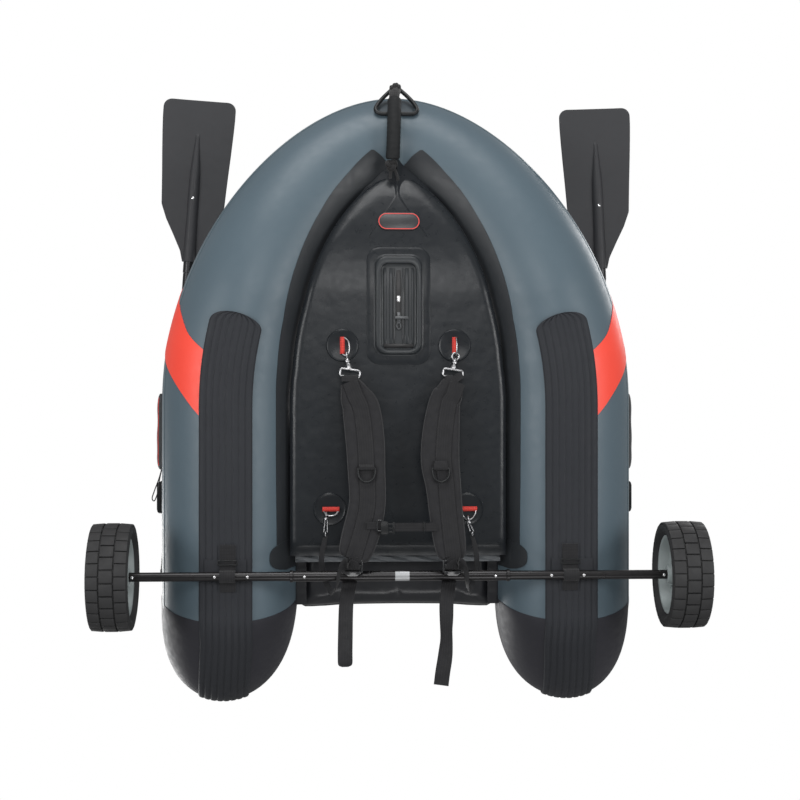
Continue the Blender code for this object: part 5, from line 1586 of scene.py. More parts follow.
    def make_cord(self) -> None:
        """Make the cord: its hitch on the ring, its run through the grip, the knot and the tails."""
        bar_top = self.foot + self.along * (self.ring_length - 0.0045)
        reach = self.ring_bar + self.cord_radius
        strands = []
        for x, start_x in ((-0.0080, -0.0010), (-0.0022, 0.0040), (0.0036, 0.0090), (0.0110, 0.0140)):
            top = bar_top + Vector((x, 0, 0)) - self.along * (0.95 * abs(x) - 0.003)
            path = [self.nose(-52, self.grip_arc, start_x), self.nose(-47, self.grip_arc, start_x),
                    self.nose(-47, self.grip_arc, start_x).lerp(top + self.facing * reach, 0.55)]
            for n in range(14):
                turn = math.radians(150 - 290 * n / 13)
                path.append(top + (self.along * math.cos(turn) + self.facing * math.sin(turn)) * reach)
            strands.append(bar(self.smooth(path, 40), self.cord_radius + 0.0016, 10))
        ring = [bar_top + (self.along * math.cos(a) + self.facing * math.sin(a)) * (reach + 0.0006)
                + Vector((0.0030, 0, 0)) for a in around(20)]
        strands.append(bar(ring, self.cord_radius + 0.0010, 10, ring=True))
        run = [self.nose(d, self.grip_arc, self.grip_line(d)) for d in range(-112, -40, 4)]
        strands.append(bar(run, self.cord_radius, 10))
        knot_centre, size = Vector((0.0150, 0.5790, -0.0480)), 0.0036
        knot = []
        for n in range(60):
            t = FULL_TURN * n / 60
            trefoil = Vector((math.sin(t) + 2 * math.sin(2 * t), math.cos(t) - 2 * math.cos(2 * t),
                              -math.sin(3 * t)))
            knot.append(knot_centre + trefoil * size)
        strands.append(bar(knot, self.cord_radius * 1.75, 12, ring=True))
        tails = (((0.0165, 0.575, -0.0475), (0.0172, 0.560, -0.0490), (0.0175, 0.546, -0.0500)),
                 ((0.0120, 0.580, -0.0470), (0.0060, 0.566, -0.0485), (0.0005, 0.553, -0.0495),
                  (-0.0010, 0.541, -0.0500)))
        strands += [bar(self.smooth([Vector(p) for p in tail], 12), self.cord_radius, 10) for tail in tails]
        self.bench.lay("handle_line", joined(*strands), CORD, stands_for=["handle_cord"])

    @staticmethod
    def smooth(points: Sequence[Vector], count: int) -> list[Vector]:
        """Return points on a smooth curve through the given ones."""
        return [Vector(spline([tuple(p) for p in points], n / count)) for n in range(count + 1)]


@dataclass
class AccessoryBase:
    """The flexible accessory base on the floor's underside, and the latch that slides in it."""

    bench: Bench
    floor: FloorPanel
    plate_half: tuple[float, float] = (0.078, 0.1435)
    plate_y: float = 0.2265
    rim_half: tuple[float, float] = (0.0560, 0.1200)
    rim_y: float = 0.2280
    recess_half: tuple[float, float] = (0.0430, 0.1050)
    recess_y: float = 0.2240
    slider_y: float = 0.196

    def build(self) -> None:
        """Make the base and its latch."""
        self.make_plate()
        self.make_rim()
        self.make_ribs()
        self.make_slider()

    def loop(self, half: tuple[float, float], corner: float, middle: float, depth: float) -> Row:
        """Return a ring of points at a depth under the floor."""
        outline = rounded_frame(half[0], half[1], corner, middle)
        return [Vector((x, y, self.floor.underside(y) - depth)) for x, y in outline]

    def make_plate(self) -> None:
        """Make the soft plate that is welded to the floor."""
        (hx, hy), y = self.plate_half, self.plate_y
        rows = [self.loop((hx - 0.002, hy - 0.002), 0.030, y, 0.0006), self.loop((hx, hy), 0.032, y, 0.0008),
                self.loop((hx - 0.0004, hy - 0.0004), 0.032, y, 0.0016),
                self.loop((hx - 0.003, hy - 0.003), 0.030, y, 0.0024),
                self.loop((hx - 0.012, hy - 0.012), 0.026, y, 0.0030),
                self.loop((0.050, 0.112), 0.020, self.rim_y, 0.0034),
                self.loop((0.035, 0.09), 0.015, self.rim_y, 0.0034)]
        self.bench.lay("base_plate", skin(rows), FLOOR, stands_for=["accessory_base"])

    def make_rim(self) -> None:
        """Make the raised rim round the recess, with a sloped wall at the recess's stern end."""
        (hx, hy), y = self.rim_half, self.rim_y
        (rx, ry), ry_mid = self.recess_half, self.recess_y
        rows = [self.loop((hx + 0.006, hy + 0.006), 0.030, y, 0.0026),
                self.loop((hx + 0.002, hy + 0.002), 0.028, y, 0.0040),
                self.loop((hx + 0.0004, hy + 0.0004), 0.026, y, 0.0100),
                self.loop((hx - 0.001, hy - 0.001), 0.026, y, 0.0142),
                self.loop((hx - 0.0035, hy - 0.0035), 0.024, y, 0.0160),
                self.loop((rx + 0.004, ry + 0.004), 0.020, ry_mid, 0.0160),
                self.loop((rx + 0.0010, ry + 0.0010), 0.018, ry_mid, 0.0146),
                self.loop((rx, ry), 0.016, ry_mid, 0.0115),
                self.loop((rx - 0.0015, ry - 0.0015), 0.015, ry_mid, 0.0062),
                self.loop((rx - 0.004, ry - 0.004), 0.013, ry_mid, 0.0048),
                self.loop((rx - 0.012, ry - 0.014), 0.010, ry_mid, 0.0046),
                self.loop((rx - 0.022, ry - 0.03), 0.008, ry_mid, 0.0046)]
        self.bench.lay("base_rim", skin(rows), FLEXIBLE)

    def bar_on_floor(self, x: float, half: float, y_low: float, y_high: float, low: float,
                     high: float) -> bmesh.types.BMesh:
        """Return a rounded bar along the recess, from one depth under the floor to another.

        Args:
            x: the x of its middle.
            half: half its width.
            y_low: its stern end.
            y_high: its bow end.
            low: the depth of its foot.
            high: the depth of its face.

        Returns:
            The bar's mesh.
        """
        rows = []
        for n in range(25):
            share = n / 24
            y = y_low + (y_high - y_low) * share
            end = 0.35 if n in (0, 24) else 0.85 if n in (1, 23) else 1.0
            base = self.floor.underside(y)
            section = ((-1, 0.0), (-1, 0.55), (-0.7, 0.9), (0, 1.0), (0.7, 0.9), (1, 0.55), (1, 0.0))
            rows.append([Vector((x + half * s, y, base - low - (high - low) * h * end)) for s, h in section])
        return skin(rows)

    def make_ribs(self) -> None:
        """Make the ribs in the recess, the slot between two of them, and the shelf at its stern end; the slot
        and the shelf are near black as painted shade.
        """
        ribs = [self.bar_on_floor(x, half, 0.133, 0.318, 0.0040, depth) for x, half, depth in
                ((0.0330, 0.0035, 0.0070), (0.0185, 0.0042, 0.0082), (0.0105, 0.0014, 0.0088),
                 (-0.0105, 0.0014, 0.0088), (-0.0200, 0.0050, 0.0080), (-0.0340, 0.0030, 0.0068))]
        self.bench.lay("base_ribs", joined(*ribs), FLEXIBLE)
        # painted shade: the slot is a near-black strip standing for the shadow down in it
        slot = self.bar_on_floor(0.0, 0.0060, 0.190, 0.316, 0.0040, 0.0050)
        self.bench.lay("base_slot_shade", slot, RECESS_SHADE)
        clip = joined(self.bar_on_floor(0.0, 0.0042, 0.236, 0.250, 0.0044, 0.0053),
                      self.bar_on_floor(-0.0005, 0.0020, 0.243, 0.248, 0.0046, 0.0055))
        self.bench.lay("base_clip", clip, BRIGHT)
        # painted shade: the shelf is coloured near black, standing for the shade at the recess's stern end
        shelf = block((-0.036, 0.1230, self.floor.underside(0.13) - 0.0070), (0.036, 0.1330,
                      self.floor.underside(0.13) - 0.0042), 0.0008, 2)
        self.bench.lay("base_shelf_shade", shelf, RECESS_SHADE)

    def make_slider(self) -> None:
        """Make the latch: a stem in the slot, an arm to one side and a cast eye."""
        top = self.floor.underside(self.slider_y) - 0.0056
        y = self.slider_y
        stem = block((-0.0040, y - 0.014, top - 0.0045), (0.0040, y + 0.014, top), 0.0008)
        arm = block((-0.0240, y - 0.0038, top - 0.0085), (0.0100, y + 0.0038, top - 0.0030), 0.0012)
        eye_centre = Vector((0.0, y - 0.0200, top - 0.0045))
        eye = [eye_centre + Vector((0.0048 * math.cos(a), 0.0075 * math.sin(a), 0.0)) for a in
               around(24)]
        parts = joined(stem, arm, bar(eye, 0.0021, 10, ring=True))
        self.bench.lay("latch_slide", parts, LATCH, "accessory_slider", ["accessory_slider"])


PAD_ROUTES: dict[str, tuple[tuple[float, float, float, float], ...]] = {
    "starboard": (
        (0.119, 0.040, -0.136, 0.044), (0.106, 0.006, -0.141, 0.072), (0.092, -0.028, -0.147, 0.088),
        (0.083, -0.100, -0.162, 0.091), (0.080, -0.172, -0.178, 0.087), (0.078, -0.244, -0.192, 0.084),
        (0.086, -0.292, -0.200, 0.086), (0.099, -0.338, -0.208, 0.084), (0.110, -0.372, -0.214, 0.072),
        (0.113, -0.381, -0.2155, 0.044),
    ),
    "port": (
        (0.131, 0.042, -0.136, 0.044), (0.121, 0.012, -0.141, 0.066), (0.110, -0.012, -0.145, 0.074),
        (0.101, -0.076, -0.157, 0.086), (0.097, -0.148, -0.173, 0.090), (0.104, -0.210, -0.186, 0.082),
        (0.109, -0.268, -0.196, 0.078), (0.117, -0.338, -0.208, 0.074), (0.122, -0.372, -0.214, 0.062),
        (0.123, -0.381, -0.2155, 0.044),
    ),
}
STRAP_ROUTES: dict[str, tuple[tuple[float, float, float, float, float], ...]] = {
    "starboard": (
        (0.178, -0.334, -0.138, 0.018, 48), (0.185, -0.364, -0.158, 0.018, 44),
        (0.188, -0.392, -0.166, 0.018, 44), (0.184, -0.420, -0.160, 0.018, 48),
        (0.176, -0.444, -0.164, 0.018, 56), (0.165, -0.460, -0.186, 0.018, 64),
        (0.155, -0.456, -0.210, 0.018, 68), (0.149, -0.436, -0.228, 0.020, 66),
        (0.145, -0.410, -0.2330, 0.022, 60), (0.131, -0.391, -0.2330, 0.028, 30),
        (0.1160, -0.3920, -0.2310, 0.028, 2), (0.114, -0.3990, -0.2255, 0.034, 0),
        (0.114, -0.4048, -0.2195, 0.034, 0), (0.114, -0.4058, -0.2080, 0.034, 0),
        (0.114, -0.4060, -0.1900, 0.034, 0), (0.115, -0.4120, -0.1735, 0.034, 0),
        (0.117, -0.4260, -0.1690, 0.034, 0), (0.120, -0.4400, -0.1790, 0.034, 0),
        (0.124, -0.4560, -0.1990, 0.034, 2), (0.129, -0.4850, -0.2300, 0.034, 4),
        (0.131, -0.5150, -0.2680, 0.034, 4), (0.132, -0.5450, -0.3050, 0.034, 0),
        (0.133, -0.5770, -0.3390, 0.034, -6), (0.133, -0.6000, -0.3520, 0.034, -4),
        (0.133, -0.6120, -0.3520, 0.034, -4),
    ),
    "port": (
        (0.178, -0.334, -0.138, 0.018, 48), (0.184, -0.364, -0.158, 0.018, 44),
        (0.186, -0.392, -0.166, 0.018, 44), (0.183, -0.420, -0.160, 0.018, 48),
        (0.177, -0.444, -0.164, 0.018, 56), (0.168, -0.460, -0.186, 0.018, 64),
        (0.161, -0.456, -0.210, 0.018, 68), (0.157, -0.436, -0.228, 0.020, 66),
        (0.154, -0.410, -0.2330, 0.022, 60), (0.141, -0.391, -0.2330, 0.028, 30),
        (0.1260, -0.3920, -0.2310, 0.028, 2), (0.124, -0.3990, -0.2255, 0.034, 0),
        (0.124, -0.4048, -0.2195, 0.034, 0), (0.124, -0.4058, -0.2080, 0.034, 0),
        (0.124, -0.4060, -0.1900, 0.034, 0), (0.123, -0.4120, -0.1735, 0.034, 0),
        (0.121, -0.4260, -0.1690, 0.034, 0), (0.118, -0.4400, -0.1790, 0.034, 0),
        (0.114, -0.4560, -0.1990, 0.034, -4), (0.108, -0.4850, -0.2300, 0.034, -12),
        (0.105, -0.5150, -0.2680, 0.034, -24), (0.102, -0.5430, -0.3040, 0.034, -38),
        (0.099, -0.5660, -0.3310, 0.034, -30), (0.095, -0.5940, -0.3500, 0.034, -12),
        (0.089, -0.6250, -0.3610, 0.034, -2), (0.085, -0.6530, -0.3665, 0.034, 0),
    ),
}


@dataclass
class Harness:
    """The shoulder harness under the floor: pads, rings, hooks, locks and straps."""

    bench: Bench
    floor: FloorPanel
    pad_half: float = 0.007
    webbing: float = 0.038
    fore_ring: tuple[float, float] = (0.137, 0.129)
    aft_ring: tuple[float, float] = (0.168, -0.270)
    patch_radius: float = 0.040
    eye_y: float = 0.0610
    eye_z: float = -0.1345
    eye_half: tuple[float, float] = (0.0240, 0.0090)
    lock_z: float = -0.218
    lock_half: float = 0.024
    rounded_end: int = 14
    sternum_y: float = -0.306
    sternum_z: float = -0.214
    pad_ring_y: float = -0.168
    pad_ring_z: float = -0.1885
    pad_ring_x: tuple[float, float] = (0.080, 0.098)

    def build(self) -> None:
        """Make both sides of the harness and the chest strap between them."""
        for name, side in SIDES.items():
            self.make_pad(name, side)
            self.make_pad_webbing(name, side)
            self.make_mounts(name, side)
            self.make_snap_hook(name, side)
            self.make_aft_hook(name, side)
            self.make_lock(name, side)
            self.make_strap(name, side)
            self.make_pad_ring(name, side)
        self.make_chest_strap()

    def patch_face(self) -> float:
        """Return the height of the floor's underside, less a small gap."""
        return self.floor.underside(0.0) - 0.0003

    def place_on_pad(self, name: str, share: float) -> tuple[Vector, Vector, Vector, float]:
        """Return a pad's centre, the direction inboard across it, its normal and its width.

        Args:
            name: starboard or port.
            share: 0 at the pad's fore end and 1 at its stern end.

        Returns:
            The centre, the two directions and the width.
        """
        route = PAD_ROUTES[name]
        x, y, z, width = spline(route, share)
        ahead = Vector(spline(route, min(share + 0.01, 1.0))[:3])
        behind = Vector(spline(route, max(share - 0.01, 0.0))[:3])
        along = (ahead - behind).normalized()
        across = along.cross(Vector((0, 0, 1))).normalized()
        return Vector((x, y, z)), across, across.cross(along), width

    def offset(self, name: str, share: float) -> float:
        """Return how far the webbing lies outboard of the pad's middle."""
        return 0.0 if name == "starboard" else 0.010 * (1 - share) + 0.002

    def make_pad(self, name: str, side: int) -> None:
        """Make one shoulder pad: two bolsters with a sewn channel between them, and its piping.

        Args:
            name: starboard or port.
            side: 1 to starboard, or -1 to port.
        """
        rows, left, right = [], [], []
        steps = 110
        for k in range(steps + 1):
            share = k / steps
            centre, across, normal, width = self.place_on_pad(name, share)
            end = min(share, 1 - share)
            full = 0.42 + 0.58 * math.sqrt(eased(end, -0.01, 0.05))
            shift = self.offset(name, share) / width
            channel = 0.0195 / width
            marks = [-0.5 + n / 36 for n in range(37)]
            lower, upper = [], []
            for mark in marks:
                edge = abs(mark + shift)
                limit = 0.5 + (shift if mark > 0 else -shift)
                bolster = min(1.0, max(0.0, (edge - channel) / max(limit - channel, 0.02)))
                height = 0.58 + 0.46 * math.sin(math.pi * min(1.0, bolster)) ** 0.7 - 0.34 * bolster**2
                spot = centre + across * width * mark
                height += 0.10 * noise.noise(spot * 55.0) * math.sin(math.pi * bolster)
                lower.append(spot - normal * self.pad_half * height * full)
                crown = 0.28 + 0.72 * math.sqrt(max(0.0, 1 - (2 * mark) ** 4))
                upper.append(spot + normal * self.pad_half * crown * full)
            rows.append(lower + upper[::-1])
            left.append(centre - across * width * 0.5)
            right.append(centre + across * width * 0.5)
        pad = self.bench.lay(f"pad_{name}", skin(rows), PAD_CLOTH,
                             stands_for=[f"shoulder_pad_{name}"], side=side, sharp=60)
        rim = left[1:-1] + right[-2:0:-1]
        seam = bar(rim[::2], 0.0019, 8, ring=True)
        self.bench.lay(f"pad_piping_{name}", seam, PIPING, side=side, sharp=80)

    def make_pad_webbing(self, name: str, side: int) -> None:
        """Make the webbing sewn along the pad, folded round the hook's eye and the lock's bar.

        Args:
            name: starboard or port.
            side: 1 to starboard, or -1 to port.
        """
        points, sides, widths = [], [], []
        steps = 90
        for k in range(steps + 1):
            share = k / steps
            centre, across, normal, _ = self.place_on_pad(name, share)
            wide = min(self.webbing, 0.030 + 0.4 * min(share, 1 - share))
            spot = centre - across * self.offset(name, share) - normal * (self.pad_half * 0.66 + 0.0009)
            points.append(spot)
            sides.append(across)
            widths.append(wide)
        body = ribbon(points, sides, widths, 0.0016)
        edges = []
        for sign in (-1, 1):
            line = [p + s * sign * (w / 2 - 0.0030) - Vector((0, 0, 0.0009)) for p, s, w in
                    zip(points, sides, widths)]
            edges.append(stitches(line[2:-2], Vector((0, 0, -1))))
        eye_x = PAD_ROUTES[name][0][0]
        fold = self.fold(points[0], Vector((eye_x, self.eye_y - self.eye_half[1] - 0.0005,
                                            self.eye_z - 0.0008)), 0.0040)
        loop = ribbon(fold, [Vector((1, 0, 0))] * len(fold), [0.0410] * len(fold), 0.0015)
        lock_x = STRAP_ROUTES[name][11][0]
        hold = self.fold(points[-1], Vector((lock_x, -0.3862, self.lock_z)), 0.0034)
        tail = ribbon(hold, [sides[-1]] * len(hold), [0.0300] * len(hold), 0.0015)
        self.bench.lay(f"pad_webbing_{name}", joined(body, loop, tail), BLACK_WEBBING, side=side)
        self.bench.lay(f"pad_stitching_{name}", joined(*edges), THREAD, side=side)

    @staticmethod
    def fold(start: Vector, bar_place: Vector, radius: float) -> list[Vector]:
        """Return a path from a pad's end round a bar and back again.

        Args:
            start: the point on the pad.
            bar_place: the bar's centre.
            radius: the radius of the fold.

        Returns:
            The points in order.
        """
        away = bar_place - start
        away.x = 0.0
        away.normalize()
        below = Vector((0, -away.z, away.y))
        if below.z > 0:
            below.negate()
        path = [start, start.lerp(bar_place + below * radius, 0.6)]
        for n in range(11):
            turn = math.radians(90 - 180 * n / 10)
            path.append(bar_place + away * radius * math.cos(turn) + below * radius * math.sin(turn))
        path.append(bar_place - below * radius - away * 0.010)
        return path

    def make_mounts(self, name: str, side: int) -> None:
        """Make the fore and aft anchors: welded patches, red tabs and D-rings.

        Args:
            name: starboard or port.
            side: 1 to starboard, or -1 to port.
        """
        face = self.patch_face()
        r = self.patch_radius
        profile = [(0.0, 0.0002), (r - 0.0004, 0.0002), (r, 0.0006), (r - 0.0005, 0.0020),
                   (r - 0.0020, 0.0031), (r - 0.0040, 0.0024), (r - 0.0068, 0.0014), (0.0, 0.0015)]
        for label, place in (("fore", self.fore_ring), ("aft", self.aft_ring)):
            patch = turned(profile, Vector((*place, face)), Vector((0, 0, -1)), 72)
            self.bench.lay(f"ring_patch_{label}_{name}", patch, FLOOR,
                           stands_for=[f"ring_mount_{label}_{name}"], side=side)
        x, y = self.fore_ring
        omega = self.omega()
        tab = ribbon([Vector((x + a, y, face - d)) for a, d in omega], [Vector((0, 1, 0))] * len(omega),
                     [0.041] * len(omega), 0.0014)
        self.bench.lay(f"fore_tab_{name}", tab, RED_WEBBING, side=side)
        if name == "starboard":
            shape = ((0.137, 0.144, 0.0076), (0.137, 0.128, 0.0076), (0.137, 0.113, 0.0076),
                     (0.134, 0.106, 0.0090), (0.128, 0.1035, 0.0100), (0.122, 0.109, 0.0105),
                     (0.120, 0.120, 0.0105), (0.121, 0.134, 0.0105), (0.126, 0.143, 0.0100),
                     (0.132, 0.147, 0.0090))
        else:
            shape = ((0.1385, 0.144, 0.0076), (0.1385, 0.128, 0.0076), (0.1385, 0.113, 0.0076),
                     (0.1395, 0.106, 0.0110), (0.1400, 0.1060, 0.0160), (0.1405, 0.112, 0.0195),
                     (0.1410, 0.126, 0.0205), (0.1405, 0.140, 0.0190), (0.1400, 0.1465, 0.0145),
                     (0.1390, 0.1475, 0.0100))
        ring = self.closed([Vector((a, b, face - d)) for a, b, d in shape], 60)
        self.bench.lay(f"fore_d_ring_{name}", bar(ring, 0.0018, 10, ring=True), ZINC, side=side)
        x, y = self.aft_ring
        shift = -0.003 if name == "starboard" else 0.003
        across = [Vector((x + shift, y + a, face - d)) for a, d in omega]
        tab = ribbon(across, [Vector((1, 0, 0))] * len(omega), [0.041] * len(omega), 0.0014)
        self.bench.lay(f"aft_tab_{name}", tab, RED_WEBBING, side=side)
        reach = 0.016 if name == "starboard" else 0.026
        points = [Vector((x + shift - 0.0175 + 0.035 * n / 10, y, face - 0.0076)) for n in range(11)]
        points += [Vector((x + shift + 0.0175 * math.cos(a), y - reach * math.sin(a),
                           face - 0.0076 - 0.003 * math.sin(a)))
                   for a in (math.pi * n / 18 for n in range(1, 18))]
        self.bench.lay(f"aft_d_ring_{name}", bar(points, 0.0019, 10, ring=True), ZINC, side=side)

    @staticmethod
    def omega() -> Outline:
        """Return the section of a tab folded round a ring's bar: sideways, and down from the patch.

        Returns:
            The (sideways, down) pairs in order.
        """
        path = [(-0.0058, 0.0024), (-0.0048, 0.0025), (-0.0037, 0.0030), (-0.0028, 0.0042)]
        for n in range(13):
            turn = math.radians(215 - 250 * n / 12)
            path.append((0.0038 * math.cos(turn), 0.0076 + 0.0038 * math.sin(turn)))
        path += [(0.0028, 0.0042), (0.0037, 0.0030), (0.0048, 0.0025), (0.0058, 0.0024)]
        return path

    @staticmethod
    def closed(points: Sequence[Vector], count: int) -> list[Vector]:
        """Return points on a smooth closed curve through the given ones.

        Args:
            points: the points to pass through.
            count: the number of points wanted.

        Returns:
            The points in order.
        """
        loop = [tuple(p) for p in (*points[-2:], *points, *points[:2])]
        low, high = 2 / (len(loop) - 1), (len(points) + 2) / (len(loop) - 1)
        return [Vector(spline(loop, low + (high - low) * n / count)) for n in range(count)]

    def make_snap_hook(self, name: str, side: int) -> None:
        """Make the fore snap hook: its loop on the D-ring, its swivel shank and the eye for the webbing.

        Args:
            name: starboard or port.
            side: 1 to starboard, or -1 to port.
        """
        face = self.patch_face()
        if name == "starboard":
            middle = Vector((0.127, 0.1050, face - 0.0100))
            loop = [middle + Vector((0, math.cos(a), math.sin(a))) * 0.0068 for a in
                    around(28)]
            tilt = math.radians(8)
        else:
            middle = Vector((0.138, 0.1020, face - 0.0135))
            loop = [middle + Vector((math.cos(a) * 0.0085, math.sin(a) * 0.0085,
                                     0.0012 * math.cos(a))) for a in
                    around(28)]
            tilt = math.radians(-8)
        start = Vector((middle.x, middle.y - 0.007, middle.z - 0.001))
        eye = Vector((PAD_ROUTES[name][0][0], self.eye_y, self.eye_z))
        end = eye + Vector((0, 0.008, 0.001))
        length = (end - start).length
        profile = [(0.0, -0.001), (0.0030, -0.0008), (0.0040, 0.002), (0.0064, 0.006), (0.0066, 0.010),
                   (0.0058, 0.0125), (0.0042, 0.0135), (0.0042, 0.016), (0.0064, 0.0170), (0.0068, 0.021),
                   (0.0064, length - 0.004), (0.0050, length), (0.0, length + 0.0004)]
        shank = turned(profile, start, end - start, 28)
        wide, long = self.eye_half
        corners = [Vector((-wide, long, 0)), Vector((wide, long, 0)), Vector((wide, -long, -0.001)),
                   Vector((-wide, -long, -0.001))]
        frame = moved(bar(rounded(corners, 0.006), 0.0026, 12, ring=True),
                      Matrix.Translation(eye) @ Matrix.Rotation(tilt, 4, "Z"))
        stud = dome(start + Vector((0.0, -0.004, -0.0045)), Vector((0.4, 0, -1)), 0.0022, 0.0024, 16)
        hook = joined(bar(loop, 0.0025, 12, ring=True), shank, frame, stud)
        self.bench.lay(f"fore_hook_{name}", hook, ZINC, stands_for=[f"snap_hook_{name}"], side=side)

    def make_aft_hook(self, name: str, side: int) -> None:
        """Make the aft snap hook between the D-ring and the adjusting strap.

        Args:
            name: starboard or port.
            side: 1 to starboard, or -1 to port.
        """
        face = self.patch_face()
        x, y = (0.176, -0.284) if name == "starboard" else (0.169, -0.294)
        top = Vector((x, y, face - 0.0105))
        loop = [top + Vector((0, math.cos(a) * 0.0075, math.sin(a) * 0.0058)) for a in
                around(24)]
        foot = Vector(STRAP_ROUTES[name][0][:3]) + Vector((0, 0.006, 0.002))
        aim = foot - top
        prongs = []
        for shift in (-0.0042, 0.0042):
            begin = top + Vector((shift * 0.6, -0.007, -0.0005))
            finish = foot + Vector((shift, 0.004, 0.0))
            prongs.append(bar([begin.lerp(finish, n / 6) for n in range(7)], 0.0017, 10))
        collar = turned([(0.0, 0.0), (0.0058, 0.0006), (0.0062, 0.003), (0.0050, 0.0062), (0.0, 0.0066)],
                        top + aim.normalized() * 0.0065, aim, 24)
        corners = [foot + Vector((0, b, a))
                   for a, b in ((-0.0105, 0.0035), (0.0105, 0.0035), (0.0105, -0.0045),
                                                         (-0.0105, -0.0045))]
        eye = bar(rounded(corners, 0.003), 0.0017, 10, ring=True)
        self.bench.lay(f"aft_hook_{name}",
                       joined(bar(loop, 0.0019, 10, ring=True), *prongs, collar, eye), ZINC, side=side)

    def make_lock(self, name: str, side: int) -> None:
        """Make one ladder lock: side rails, two bars and a tongue to lift it by.

        Args:
            name: starboard or port.
            side: 1 to starboard, or -1 to port.
        """
        x, z, half = STRAP_ROUTES[name][11][0], self.lock_z, self.lock_half
        rails = [block((x + s * 0.0218 - 0.0026, -0.4136, z - 0.0036),
                       (x + s * 0.0218 + 0.0026, -0.3832, z + 0.0024), 0.0022, 4) for s in (-1, 1)]
        bars = [block((x - half + 0.001, low, z - 0.0022), (x + half - 0.001, high, z + 0.0018), 0.0008)
                for low, high in ((-0.3882, -0.3840), (-0.4012, -0.3945), (-0.4135, -0.4102))]
        tongue = []
        for n in range(9):
            share = n / 8
            wide = (half - 0.0045) * (1 - 0.42 * share**1.6)
            middle = Vector((x, -0.4125 - 0.0080 * share, z - 0.0010 - 0.0035 * share))
            thick = 0.0016 - 0.0005 * share
            tongue.append([middle + Vector((wide * a, 0, thick * b)) for a, b in
                           ((-1, 0.4), (-0.9, 1), (0, 1), (0.9, 1), (1, 0.4), (1, -0.4), (0.9, -1), (0, -1.2),
                            (-0.9, -1), (-1, -0.4))])
        self.bench.lay(f"lock_{name}", joined(*rails, *bars, skin(tongue)), ACETAL,
                       stands_for=[f"ladder_lock_{name}"], side=side)

    def make_strap(self, name: str, side: int) -> None:
        """Make one adjusting strap: slack loop, turn through the lock and free tail, whose end is rounded
        to starboard.

        Args:
            name: starboard or port.
            side: 1 to starboard, or -1 to port.
        """
        route = STRAP_ROUTES[name]
        count = 230
        states = [spline(route, n / count) for n in range(count + 1)]
        points = [Vector(s[:3]) for s in states]
        across = []
        for k, state in enumerate(states):
            along = (points[min(k + 1, count)] - points[max(k - 1, 0)]).normalized()
            level = (Vector((1, 0, 0)) - along * along.x).normalized()
            upward = along.cross(level).normalized()
            turn = math.radians(state[4])
            across.append(level * math.cos(turn) + upward * math.sin(turn))
        widths = [s[3] for s in states]
        if name == "starboard":
            for k in range(count - self.rounded_end, count + 1):
                into = (k - count + self.rounded_end) / self.rounded_end
                widths[k] *= math.sqrt(max(0.20, 1 - into**4))
        strap = ribbon(points, across, widths, 0.0016)
        self.bench.lay(f"strap_{name}", strap, BLACK_WEBBING, stands_for=[f"adjust_strap_{name}"], side=side)

    def make_pad_ring(self, name: str, side: int) -> None:
        """Make the D-ring on a pad, which swings, and the tab that holds it.

        Args:
            name: starboard or port.
            side: 1 to starboard, or -1 to port.
        """
        x = self.pad_ring_x[0 if name == "starboard" else 1]
        y, z = self.pad_ring_y, self.pad_ring_z
        half = 0.0206
        points = [Vector((x - half + 2 * half * n / 12, y, z)) for n in range(13)]
        points += [Vector((x + half * math.cos(a), y - 0.0316 * math.sin(a) ** 0.8, z - 0.0085 * math.sin(a)))
                   for a in (math.pi * n / 22 for n in range(1, 22))]
        ring = bar(points, 0.0024, 12, ring=True)
        self.bench.lay(f"swing_ring_{name}", ring, MOULDED, f"pad_ring_{name}", [f"pad_ring_{name}"], side)
        centre = Vector((x, y, z))
        reach = 0.0095 if name == "starboard" else 0.0180
        path = [centre + Vector((0, reach, 0.0058)), centre + Vector((0, reach * 0.75, 0.0024)),
                centre + Vector((0, 0.0046, -0.0028))]
        path += [centre + Vector((0, -0.0033 * math.sin(a), -0.0033 * math.cos(a))) for a in
                 (math.pi * n / 10 for n in range(1, 10))]
        path += [centre + Vector((0, 0.004, 0.0033)), centre + Vector((0, reach * 0.8, 0.0042))]
        narrow = 0.0 if name == "starboard" else 0.0060
        widths = [0.035 - narrow * max(0.0, 1 - n / 3) for n in range(len(path))]
        tab = ribbon(path, [Vector((1, 0, 0))] * len(path), widths, 0.0013)
        self.bench.lay(f"ring_tab_{name}", tab, BLACK_WEBBING, side=side)

